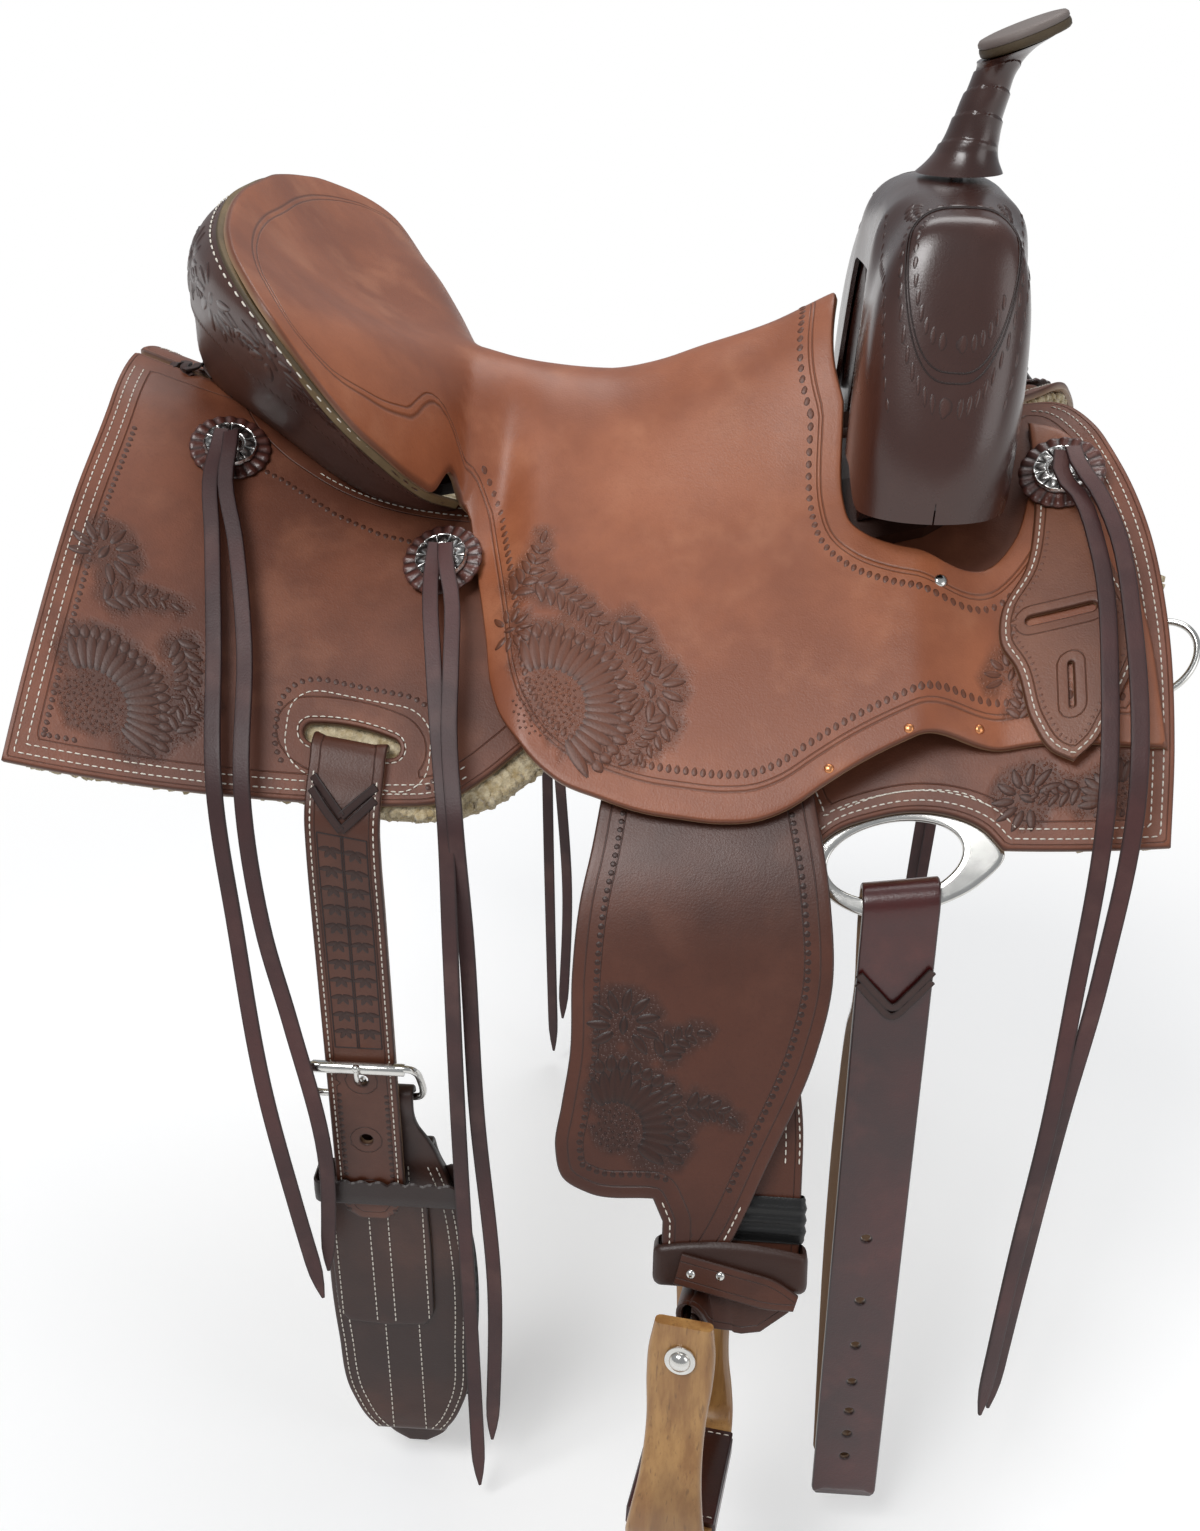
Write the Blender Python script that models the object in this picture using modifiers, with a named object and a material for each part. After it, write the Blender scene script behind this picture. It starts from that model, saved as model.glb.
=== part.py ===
# Barrel racing saddle on its tree, with fenders, stirrups, rigging, billets and flank cinch.
# Frame: metres, +X towards the horse's head, +Z up, -Y the off side.
# The origin is the top line of the horse's back under the lowest part of the seat.
import math

import bmesh
import bpy
from mathutils import Matrix, Vector

# Driving dimensions of the horse's back
RIDGE_RADIUS = 0.10
FLANK_RADIUS = 1.0
RISE_REAR = 0.055
RISE_FRONT = 0.050
RISE_SPAN = 0.30
WITHERS_ANGLE = 0.55
WITHERS_SPREAD = 0.106

# Layers, as offsets from the horse's back
FLEECE_TOP = 0.0128
PLATE = (0.0095, 0.0120)
SKIRT = (0.0135, 0.0185)
BAR = (0.0191, 0.0300)
JOCKEY_LOW = 0.0198
JOCKEY_HIGH = 0.0405
LEATHER = 0.0046

# Tree and seat
FORK_X = 0.203
FORK_HALF_WIDTH = 0.156
COVER_THICKNESS = 0.0032
HORN_LEAN = math.radians(21)
HORN_CAP_RADIUS = 0.0275
SEAT_FRONT = 0.143
RIM = [(0.0, -0.226, 0.195), (0.045, -0.2255, 0.192), (0.085, -0.221, 0.184), (0.120, -0.2125, 0.1745),
       (0.152, -0.198, 0.162), (0.181, -0.170, 0.134), (0.177, -0.142, 0.090), (0.154, -0.119, 0.054),
       (0.124, -0.102, 0.026), (0.088, -0.0885, 0.0010)]
BAND_FOOT = [(-0.272, 0.0), (-0.268, 0.008), (-0.255, 0.018), (-0.235, 0.029), (-0.212, 0.041),
             (-0.180, 0.058), (-0.152, 0.070), (-0.128, 0.074), (-0.110, 0.073), (-0.0970, 0.068)]
BAND_BULGE = [0.052, 0.050, 0.045, 0.038, 0.030, 0.016, 0.012, 0.010, 0.007, 0.004]

# Fender and stirrup
PIVOT_X = 0.075
PIVOT_S = 0.11
PIVOT_OFFSET = 0.0286
HANG_TOP = 0.733
HANG_SLOPE = 0.083
HANG_LOW = math.radians(68)
HANG_TURN = (0.165, 0.265)
FENDER = (0.0042, 0.0084)
STIRRUP_LEATHER = (0.0002, 0.0036)
LEATHER_SHIFT = -0.0060
LEATHER_WIDTH = 0.064
HOBBLE = (0.4185, 0.4375)
SLEEVE = (0.387, 0.4145)
BOLT_CENTRE = Vector((0.077, -0.359, -0.391))
BOLT_TURN = math.radians(8)
BOLT_ROLL = math.radians(10)
BOLT_RADIUS = 0.0045
STIRRUP_TILT = math.radians(1)
STIRRUP_DROP = 0.135
STIRRUP_TOP_HALF = 0.050
STIRRUP_LOW_HALF = 0.060

# Rigging plate and billets
PLATE_CENTRE = (0.183, 0.301)
PLATE_HOLE = (0.0385, 0.0225)
RIM_S = 0.3254
LOOP_RADIUS = 0.0112
BILLET_X = 0.186
BILLET_LEAN = 0.15
BILLET_WIDTH = 0.0445
BILLET_END = -0.655
SLOT = (-0.170, -0.112, 0.2335, 0.2465)
FLANK_X = -0.141
FLANK_WIDTH = 0.046
FLANK_HINGE = (0.2390, 0.0160)
BUCKLE_Z = -0.310
TONGUE_DROP = 0.014

# Conchos, at (x, distance down the back)
CONCHO_RADIUS = 0.0170
ROSETTE_RADIUS = 0.0255
CONCHO_REAR = (-0.242, 0.062)
CONCHO_MID = (-0.098, 0.114)
CONCHO_FRONT = (0.281, 0.083)
STRING_WIDTH = 0.0125
STRING_THICKNESS = 0.0024

SIDES = (("off", -1), ("near", 1))

for existing in list(bpy.data.objects):
    bpy.data.objects.remove(existing)

parts = bpy.data.collections.new("barrel_racing_saddle")
bpy.context.scene.collection.children.link(parts)
cutters = bpy.data.collections.new("cutters")
bpy.context.scene.collection.children.link(cutters)
cutters.hide_render = True


# Materials

def material(name, colour, roughness=0.5, metallic=0.0):
    found = bpy.data.materials.get(name)
    if found:
        return found
    made = bpy.data.materials.new(name)
    made.use_nodes = True
    shader = made.node_tree.nodes["Principled BSDF"]
    shader.inputs["Base Color"].default_value = (*colour, 1.0)
    shader.inputs["Roughness"].default_value = roughness
    shader.inputs["Metallic"].default_value = metallic
    made.diffuse_color = (*colour, 1.0)
    return made


LIGHT_LEATHER = material("light_leather", (0.33, 0.115, 0.045), 0.45)
SKIRT_LEATHER = material("skirt_leather", (0.28, 0.10, 0.045), 0.5)
DARK_LEATHER = material("dark_leather", (0.11, 0.032, 0.018), 0.4)
BURGUNDY = material("burgundy_leather", (0.07, 0.014, 0.012), 0.4)
FLEECE = material("fleece", (0.62, 0.50, 0.30), 0.95)
WOOD = material("tree_wood", (0.55, 0.40, 0.22), 0.7)
STIRRUP_WOOD = material("stirrup_wood", (0.45, 0.25, 0.08), 0.4)
STEEL = material("stainless_steel", (0.62, 0.61, 0.58), 0.25, 1.0)
SILVER = material("engraved_silver", (0.55, 0.54, 0.52), 0.3, 1.0)


# The horse's back, on which the soft layers lie

def top_line(x):
    rise = RISE_REAR if x < 0 else RISE_FRONT
    return rise * (x / RISE_SPAN) ** 2


def withers_angle(x):
    return WITHERS_ANGLE + WITHERS_SPREAD * (x + 0.33)


def on_back(x, s, offset, side=-1):
    """Point at x, s down the back from the centre line, offset above the hide."""
    bend = withers_angle(x)
    turn = RIDGE_RADIUS * bend
    down = abs(s)
    if down < turn:
        angle = down / RIDGE_RADIUS
        y = RIDGE_RADIUS * math.sin(angle)
        z = -RIDGE_RADIUS * (1 - math.cos(angle))
    else:
        angle = bend + (down - turn) / FLANK_RADIUS
        y = RIDGE_RADIUS * math.sin(bend) + FLANK_RADIUS * (math.sin(angle) - math.sin(bend))
        z = -RIDGE_RADIUS * (1 - math.cos(bend)) - FLANK_RADIUS * (math.cos(bend) - math.cos(angle))
    y += offset * math.sin(angle)
    z += offset * math.cos(angle) + top_line(x)
    return Vector((x, side * y, z))


def back_angle(x, s):
    bend = withers_angle(x)
    turn = RIDGE_RADIUS * bend
    return s / RIDGE_RADIUS if s < turn else bend + (s - turn) / FLANK_RADIUS


def down_at(x, y, offset):
    """Distance down the back whose offset point has this |y|."""
    low, high = 0.0, 0.7
    for _ in range(40):
        middle = (low + high) / 2
        if abs(on_back(x, middle, offset).y) < y:
            low = middle
        else:
            high = middle
    return low


def smooth(value, start, end):
    t = min(1.0, max(0.0, (value - start) / (end - start)))
    return t * t * (3 - 2 * t)


# Mesh helpers

def add_object(name, bm, finish, collection=None):
    mesh = bpy.data.meshes.new(name)
    bmesh.ops.recalc_face_normals(bm, faces=bm.faces)
    bm.to_mesh(mesh)
    bm.free()
    made = bpy.data.objects.new(name, mesh)
    (collection or parts).objects.link(made)
    if finish:
        mesh.materials.append(finish)
    return made


def round_shading(target, angle=35):
    target.data.shade_smooth()
    target.data.set_sharp_from_angle(angle=math.radians(angle))


def flat_outline(bm, outlines):
    """Fill flat outlines, holes among them, in the plane z = 0."""
    edges = []
    for outline in outlines:
        corners = [bm.verts.new((u, v, 0)) for u, v in outline]
        for i, corner in enumerate(corners):
            edges.append(bm.edges.new((corner, corners[(i + 1) % len(corners)])))
    bmesh.ops.triangle_fill(bm, use_beauty=True, use_dissolve=False, edges=edges)


def cut_into_cells(bm, u_lines, v_lines):
    """Cut the flat fill along regular lines, so that stacked layers share their facets."""
    for axis, lines in ((0, u_lines), (1, v_lines)):
        normal = (1, 0, 0) if axis == 0 else (0, 1, 0)
        for line in lines:
            at = (line, 0, 0) if axis == 0 else (0, line, 0)
            everything = list(bm.verts) + list(bm.edges) + list(bm.faces)
            bmesh.ops.bisect_plane(bm, geom=everything, dist=1e-6, plane_co=at, plane_no=normal)
    for edge in bm.edges:
        for axis, lines in ((0, u_lines), (1, v_lines)):
            a, b = edge.verts[0].co[axis], edge.verts[1].co[axis]
            if abs(a - b) < 2e-6 and any(abs(a - line) < 2e-6 for line in lines):
                edge.seam = True
    bmesh.ops.dissolve_limit(bm, angle_limit=0.01, use_dissolve_boundaries=False,
                             verts=bm.verts, edges=bm.edges, delimit={"SEAM"})


def panel(name, outlines, u_lines, v_lines, inner, outer, finish):
    """A leather piece: a flat pattern laid between two surfaces, inner(u, v) and outer(u, v)."""
    bm = bmesh.new()
    flat_outline(bm, outlines)
    cut_into_cells(bm, u_lines, v_lines)
    bottom = list(bm.verts)
    grown = bmesh.ops.extrude_face_region(bm, geom=list(bm.faces), use_keep_orig=True)
    top = [item for item in grown["geom"] if isinstance(item, bmesh.types.BMVert)]
    for vert in bottom:
        vert.co = inner(vert.co.x, vert.co.y)
    for vert in top:
        vert.co = outer(vert.co.x, vert.co.y)
    return add_object(name, bm, finish)


def span(start, end, step):
    count = max(1, round((end - start) / step))
    return [start + (end - start) * i / count for i in range(count + 1)]


BACK_X = span(-0.352, 0.352, 0.044)
BACK_S = [0.014, 0.028, 0.042, 0.056] + span(0.10, 0.34, 0.044)


def back_panel(name, outlines, side, inner, outer, finish):
    """A pattern in (x, s) laid on the horse's back between two offsets, numbers or functions."""
    def surface(offset):
        if callable(offset):
            return lambda u, v: on_back(u, v, offset(u, v), side)
        return lambda u, v: on_back(u, v, offset, side)
    return panel(name, outlines, BACK_X, BACK_S, surface(inner), surface(outer), finish)


def loft(name, rings, finish, closed=False, collection=None):
    """Skin a row of rings with equal counts; closed joins the last ring to the first."""
    bm = bmesh.new()
    rows = [[bm.verts.new(point) for point in ring] for ring in rings]
    count = len(rows[0])
    pairs = list(zip(rows, rows[1:]))
    if closed:
        pairs.append((rows[-1], rows[0]))
    for a, b in pairs:
        for i in range(count):
            j = (i + 1) % count
            bm.faces.new((a[i], a[j], b[j], b[i]))
    if not closed:
        bm.faces.new(rows[0])
        bm.faces.new(rows[-1])
    return add_object(name, bm, finish, collection)


def strap_ring(centre, across, normal, width, thickness):
    """Four corners of a strap's section."""
    a = across.normalized() * width / 2
    n = normal.normalized() * thickness / 2
    return [centre - a - n, centre + a - n, centre + a + n, centre - a + n]


def strap(name, stations, finish):
    """A strap lofted through stations of (centre, across, normal, width, thickness)."""
    return loft(name, [strap_ring(*station) for station in stations], finish)


def path_strap(name, points, across, width, thickness, finish):
    """A strap of one width along points; its normal follows the path."""
    stations = []
    for i, point in enumerate(points):
        before = points[max(0, i - 1)]
        after = points[min(len(points) - 1, i + 1)]
        along = (after - before).normalized()
        normal = along.cross(across)
        stations.append((point, across, normal, width, thickness))
    return strap(name, stations, finish)


def smooth_path(points, count):
    """Points at even steps on a Catmull-Rom curve through the given points."""
    dense = []
    for i in range(len(points) - 1):
        p0 = points[max(0, i - 1)]
        p1, p2 = points[i], points[i + 1]
        p3 = points[min(len(points) - 1, i + 2)]
        for k in range(12):
            t = k / 12
            dense.append(0.5 * (2 * p1 + (p2 - p0) * t + (2 * p0 - 5 * p1 + 4 * p2 - p3) * t * t
                                + (3 * p1 - 3 * p2 + p3 - p0) * t ** 3))
    dense.append(points[-1].copy())
    lengths = [0.0]
    for a, b in zip(dense, dense[1:]):
        lengths.append(lengths[-1] + (b - a).length)
    result = []
    k = 0
    for i in range(count):
        wanted = lengths[-1] * i / (count - 1)
        while k < len(dense) - 2 and lengths[k + 1] < wanted:
            k += 1
        step = lengths[k + 1] - lengths[k]
        t = (wanted - lengths[k]) / step if step > 0 else 0
        result.append(dense[k].lerp(dense[k + 1], min(1.0, t)))
    return result


def rod(name, start, end, radius, finish, sides=16, collection=None):
    """A round bar between two points."""
    along = end - start
    turn = along.to_track_quat("Z", "Y").to_matrix().to_4x4()
    bm = bmesh.new()
    bmesh.ops.create_cone(bm, cap_ends=True, segments=sides, radius1=radius, radius2=radius,
                          depth=along.length, matrix=Matrix.Translation((start + end) / 2) @ turn)
    return add_object(name, bm, finish, collection)


def cut(target, cutter):
    cutter.hide_render = True
    cutter.display_type = "WIRE"
    modifier = target.modifiers.new(cutter.name, "BOOLEAN")
    modifier.object = cutter
    modifier.operation = "DIFFERENCE"


def ellipse(centre, half, count):
    return [(centre[0] + half[0] * math.cos(2 * math.pi * i / count),
             centre[1] + half[1] * math.sin(2 * math.pi * i / count)) for i in range(count)]


def stadium(x0, x1, s0, s1, turns=4):
    """A slot outline with round ends, long along x."""
    r = (s1 - s0) / 2
    middle = (s0 + s1) / 2
    right = [(x1 - r + r * math.cos(a), middle + r * math.sin(a))
             for a in (math.pi * (k / turns - 0.5) for k in range(turns + 1))]
    left = [(x0 + r - r * math.cos(a), middle - r * math.sin(a))
            for a in (math.pi * (k / turns - 0.5) for k in range(turns + 1))]
    return right + left


# Skirts and fleece

SKIRT_OUTLINE = [(-0.320, 0.004), (-0.320, 0.061), (-0.325, 0.134), (-0.330, 0.234), (-0.334, 0.313),
                 (-0.264, 0.300), (-0.167, 0.283), (-0.115, 0.275), (-0.085, 0.268), (-0.060, 0.250),
                 (-0.043, 0.233), (-0.020, 0.210), (0.020, 0.195), (0.070, 0.195), (0.105, 0.215),
                 (0.125, 0.260), (0.137, 0.290), (0.150, 0.281), (0.170, 0.276), (0.191, 0.275),
                 (0.212, 0.280), (0.232, 0.292), (0.243, 0.306), (0.332, 0.325), (0.336, 0.266),
                 (0.336, 0.190), (0.329, 0.125), (0.318, 0.080), (0.305, 0.045), (0.285, 0.015),
                 (0.262, 0.004), (0.235, 0.030), (0.200, 0.050), (0.0, 0.055), (-0.180, 0.050),
                 (-0.215, 0.030), (-0.235, 0.004)]
FLEECE_OUTLINE = [(-0.317, 0.007), (-0.317, 0.061), (-0.322, 0.134), (-0.327, 0.234), (-0.330, 0.309),
                  (-0.264, 0.297), (-0.167, 0.280), (-0.115, 0.280), (-0.085, 0.275), (-0.055, 0.262),
                  (-0.035, 0.245), (-0.010, 0.222), (0.020, 0.210), (0.070, 0.210), (0.102, 0.225),
                  (0.122, 0.262), (0.200, 0.262), (0.252, 0.264), (0.258, 0.305), (0.328, 0.321),
                  (0.332, 0.266), (0.332, 0.246), (0.318, 0.244), (0.318, 0.180), (0.331, 0.178),
                  (0.325, 0.125), (0.314, 0.080), (0.301, 0.045), (0.281, 0.018), (0.262, 0.008),
                  (0.235, 0.034), (0.200, 0.054), (0.0, 0.059), (-0.180, 0.054), (-0.215, 0.034),
                  (-0.235, 0.008)]
BAR_OUTLINE = [(-0.238, 0.010), (-0.226, 0.020), (-0.200, 0.036), (-0.160, 0.054), (-0.110, 0.062),
               (-0.085, 0.052), (-0.060, 0.058), (-0.030, 0.080), (0.0, 0.098), (0.080, 0.104), (0.140, 0.103),
               (0.200, 0.100), (0.228, 0.088), (0.238, 0.060), (0.225, 0.038), (0.180, 0.026),
               (0.060, 0.022), (-0.100, 0.020), (-0.210, 0.006)]


def build_skirts(word, side):
    slot = stadium(*SLOT)
    back_panel("fleece_lining_" + word, [FLEECE_OUTLINE], side, 0.0, FLEECE_TOP, FLEECE)
    back_panel("skirt_" + word, [SKIRT_OUTLINE, slot], side, *SKIRT, SKIRT_LEATHER)
    back_panel("tree_bar_" + word, [BAR_OUTLINE], side, *BAR, WOOD)


# Rigging plate and breast collar dee

def build_rigging(word, side):
    outline = [(0.1360, 0.3020), (0.1375, 0.2890), (0.1520, 0.2750), (0.1710, 0.2690), (0.1920, 0.2690),
               (0.2200, 0.2790), (0.2380, 0.2950), (0.2450, 0.3080), (0.2310, 0.3225), (0.2080, 0.3312),
               (0.1830, 0.3350), (0.1580, 0.3280), (0.1430, 0.3160)]
    hole = ellipse(PLATE_CENTRE, PLATE_HOLE, 20)
    back_panel("rigging_plate_" + word, [outline, hole], side, *PLATE, STEEL)


def build_dee(word, side):
    """A dee whose straight leg is held between the skirt and its lining."""
    offset = 0.0106
    low, high, leg, reach = 0.190, 0.234, 0.3262, 0.0262
    middle = (low + high) / 2
    half = (high - low) / 2
    ring = [(leg, low), (leg, middle), (leg, high)]
    for k in range(9):
        angle = math.pi / 2 - math.pi * k / 8
        ring.append((leg + 0.004 + (reach - 0.004) * math.cos(angle), middle + half * math.sin(angle)))
    curve = bpy.data.curves.new("dee_wire_" + word, "CURVE")
    curve.dimensions = "3D"
    curve.bevel_depth = 0.0021
    curve.bevel_resolution = 2
    spline = curve.splines.new("POLY")
    spline.points.add(len(ring) - 1)
    for point, (x, s) in zip(spline.points, ring):
        point.co = (*on_back(x, s, offset, side), 1.0)
    spline.use_cyclic_u = True
    made = bpy.data.objects.new("breast_collar_dee_" + word, curve)
    curve.materials.append(STEEL)
    parts.objects.link(made)


# Tree: fork, horn, cantle board, ground seat

def fork_section(y):
    """Centre, half length, top and bottom heights of the swell's section at |y|."""
    end = min(1.0, y / FORK_HALF_WIDTH)
    half = 0.0440 + 0.006 * smooth(y, 0.0, 0.09)
    half *= math.sqrt(max(0.03, 1 - end ** 6))
    top = 0.1965 - 0.30 * y ** 1.5 - 0.075 * smooth(y, 0.10, FORK_HALF_WIDTH)
    centre = FORK_X + 0.0020 - 0.002 * end
    return centre, half, top


def swell_arc(y, low, shrink, count):
    """The swell's section over the top, from its rear foot to its front foot."""
    centre, half, top = fork_section(abs(y))
    half -= shrink
    top -= shrink
    rise = top - low
    points = []
    for k in range(count + 1):
        angle = math.pi * k / count
        c, s = math.cos(angle), math.sin(angle)
        x = centre - half * math.copysign(abs(c) ** 0.62, c)
        z = low + rise * abs(s) ** 0.62
        x += 0.05 * (z - 0.12)
        points.append(Vector((x, y, z)))
    return points


def cover_foot(y):
    distance = abs(y)
    foot = 0.140 - 0.096 * smooth(distance, 0.045, 0.078)
    foot -= 0.018 * smooth(distance, 0.105, 0.135)
    return foot + 0.055 * smooth(distance, 0.145, FORK_HALF_WIDTH)


def fork_foot(x, y):
    """Underside of the fork: the gullet arch between two legs that stand on the bars."""
    distance = abs(y)
    if distance > 0.112:
        return cover_foot(y)
    gullet = 0.128 - 0.008 * smooth(distance, 0.0, 0.05)
    leg = back_z(x, max(distance, 0.03), BAR[1] + 0.0012)
    return gullet + (leg - gullet) * smooth(distance, 0.042, 0.058)


def back_z(x, y, offset):
    return on_back(x, down_at(x, abs(y), offset), offset).z


SWELL_STATIONS = [0.156, 0.1535, 0.148, 0.137, 0.120, 0.098, 0.078, 0.060, 0.040, 0.020]


def build_fork():
    """The fork follows the cover's shape a little further out, so that it stays inside the cover."""
    half = SWELL_STATIONS[3:]
    stations = [-y for y in half] + [0.0] + list(reversed(half))
    rings = []
    for y in stations:
        further = math.copysign(abs(y) + 0.010 * smooth(abs(y), 0.02, 0.09), y)
        arc = swell_arc(further, cover_foot(y) + 0.001, COVER_THICKNESS + 0.0022, 12)
        arc = [Vector((point.x, y, point.z)) for point in arc]
        ends = [Vector((x, y, min(fork_foot(x, y), cover_foot(y) - 0.0005)))
                for x in (arc[-1].x - 0.001, arc[0].x + 0.001)]
        rings.append(arc + ends)
    loft("fork", rings, WOOD)


def build_swell_cover():
    stations = [-y for y in SWELL_STATIONS] + [0.0] + list(reversed(SWELL_STATIONS))
    bm = bmesh.new()
    rows = []
    for y in stations:
        rows.append([bm.verts.new(p) for p in swell_arc(y, cover_foot(y), 0.0, 12)])
    for a, b in zip(rows, rows[1:]):
        for i in range(len(a) - 1):
            bm.faces.new((a[i], a[i + 1], b[i + 1], b[i]))
    for row in (rows[0], rows[-1]):
        bm.faces.new(row)
    cover = add_object("swell_cover", bm, DARK_LEATHER)
    thickness = cover.modifiers.new("leather", "SOLIDIFY")
    thickness.thickness = COVER_THICKNESS
    thickness.offset = -1
    thickness.use_even_offset = True
    foot = Vector((0.2150, 0, 0.180))
    cut(cover, rod("horn_socket", foot, foot + Vector((0, 0, 0.04)), 0.0125, None, 20, collection=cutters))
    round_shading(cover, 60)


def tilted_ring(centre, tilt, rx, ry, count=18):
    """A ring round the horn, its plane leaning back by tilt."""
    fore = Vector((math.cos(tilt), 0, math.sin(tilt)))
    return [centre + fore * rx * math.cos(2 * math.pi * k / count)
            + Vector((0, ry * math.sin(2 * math.pi * k / count), 0)) for k in range(count)]


HORN_STATIONS = [(0.2140, 0.1985, 0.0, 0.0270, 0.0290), (0.2150, 0.2040, 0.04, 0.0230, 0.0250),
                 (0.2185, 0.2160, 0.10, 0.0180, 0.0195), (0.2250, 0.2400, 0.16, 0.0145, 0.0160),
                 (0.2295, 0.2540, 0.24, 0.0138, 0.0152), (0.2350, 0.2630, 0.34, 0.0175, 0.0190),
                 (0.2415, 0.2690, HORN_LEAN, 0.0250, 0.0252)]


def build_horn():
    rings = []
    core = []
    for x, z, tilt, rx, ry in HORN_STATIONS:
        rings.append(tilted_ring(Vector((x, 0, z)), tilt, rx, ry))
    up = Vector((-math.sin(HORN_LEAN), 0, math.cos(HORN_LEAN)))
    cap = Vector((0.2465, 0, 0.2712))
    for rise, radius in ((0.0008, HORN_CAP_RADIUS), (0.0085, HORN_CAP_RADIUS), (0.0105, HORN_CAP_RADIUS - 0.0025)):
        rings.append(tilted_ring(cap + up * rise, HORN_LEAN, radius, radius))
    wrap = loft("horn_wrap", rings, DARK_LEATHER)
    for x, z, tilt, rx, ry in HORN_STATIONS[:6]:
        core.append(tilted_ring(Vector((x, 0, z)), tilt, 0.0066, 0.0066, 14))
    core[0] = tilted_ring(Vector((0.2145, 0, 0.1945)), 0.0, 0.0066, 0.0066, 14)
    core.append(tilted_ring(cap - up * 0.0002, HORN_LEAN, 0.0066, 0.0066, 14))
    core.append(tilted_ring(cap + up * 0.0004, HORN_LEAN, 0.0190, 0.0190, 14))
    core.append(tilted_ring(cap + up * 0.0055, HORN_LEAN, 0.0190, 0.0190, 14))
    loft("horn_core", core, STEEL)
    space = []
    for ring in core:
        middle = sum(ring, Vector()) / len(ring)
        space.append([middle + (p - middle) * (1 + 0.0004 / (p - middle).length) for p in ring])
    space[0] = [p - Vector((0, 0, 0.004)) for p in space[0]]
    space[-1] = [p + up * 0.0004 for p in space[-1]]
    space[-2] = [p - up * 0.0004 for p in space[-2]]
    cut(wrap, loft("horn_hollow", space, None, collection=cutters))
    round_shading(wrap, 50)


def band_point(k, v, side):
    """Point on the cantle's outer face at rim station k, v from rim to foot."""
    y, x, z = RIM[k]
    rim = seat_point(x, y, LEATHER + 0.0014)
    foot_x, foot_s = BAND_FOOT[k]
    foot = on_back(foot_x, foot_s, SKIRT[1] + 0.0008, 1)
    y0, x0, _ = RIM[max(0, k - 1)]
    y1, x1, _ = RIM[min(len(RIM) - 1, k + 1)]
    along = Vector((x1 - x0, y1 - y0, 0)).normalized()
    out = Vector((-along.y, along.x, 0))
    if k == 0:
        out = Vector((-1, 0, 0))
    bulge = rim + out * BAND_BULGE[k] + Vector((0, 0, -0.35 * BAND_BULGE[k]))
    point = rim * (1 - v) ** 2 + bulge * 2 * v * (1 - v) + foot * v * v
    return Vector((point.x, side * point.y, point.z))


def band_surface(v_values, depth):
    """The band as rows from the off tip round to the near tip, moved inwards by depth."""
    last = len(RIM) - 1
    columns = [(k, -1) for k in range(last, 0, -1)] + [(k, 1) for k in range(last + 1)]
    rows = [[band_point(k, v, side) for v in v_values] for k, side in columns]
    moved = []
    for i, row in enumerate(rows):
        before, after = rows[max(0, i - 1)], rows[min(len(rows) - 1, i + 1)]
        line = []
        for j, point in enumerate(row):
            along = after[j] - before[j]
            down = row[min(len(row) - 1, j + 1)] - row[max(0, j - 1)]
            normal = down.cross(along).normalized()
            line.append(point + normal * depth)
        moved.append(line)
    return moved


def build_cantle():
    for name, v_values, depth, thickness, finish in (
            ("cantle_back", [0.0, 0.10, 0.22, 0.36, 0.52, 0.70, 0.86, 1.0], 0.0, 0.0036, DARK_LEATHER),
            ("cantle_board", [0.36, 0.50, 0.64, 0.78, 0.92], 0.0058, 0.009, WOOD)):
        outer = band_surface(v_values, depth)
        inner = band_surface(v_values, depth + thickness)
        if name == "cantle_board":
            outer, inner = outer[4:-4], inner[4:-4]
        rings = [a + list(reversed(b)) for a, b in zip(outer, inner)]
        made = loft(name, rings, finish)
        round_shading(made, 40)


# Seat with its jockeys, one leather sheet over the tree

SEAT_STATIONS = [(-0.226, 0.190, 0.190, 0.186, 0.0), (-0.2165, 0.177, 0.185, 0.181, 0.0),
                 (-0.203, 0.160, 0.183, 0.170, 0.05), (-0.189, 0.145, 0.182, 0.156, 0.0),
                 (-0.170, 0.127, 0.181, 0.134, -0.2), (-0.142, 0.108, 0.177, 0.090, -0.8),
                 (-0.119, 0.097, 0.154, 0.054, -1.1), (-0.102, 0.090, 0.124, 0.026, -1.3),
                 (-0.0885, 0.086, 0.090, 0.0035, -1.5)]
CENTRE_LINE = [(-0.0885, 0.086), (-0.060, 0.079), (-0.030, 0.0745), (0.0, 0.073), (0.030, 0.079),
               (0.058, 0.089), (0.103, 0.105), (0.143, 0.125), (0.160, 0.130), (0.40, 0.130)]
SHOULDER = [(-0.0885, 0.090), (-0.070, 0.095), (-0.040, 0.108), (0.0, 0.116), (0.070, 0.118),
            (0.110, 0.112), (0.143, 0.106), (0.20, 0.100), (0.25, 0.045), (0.40, 0.040)]


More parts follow.
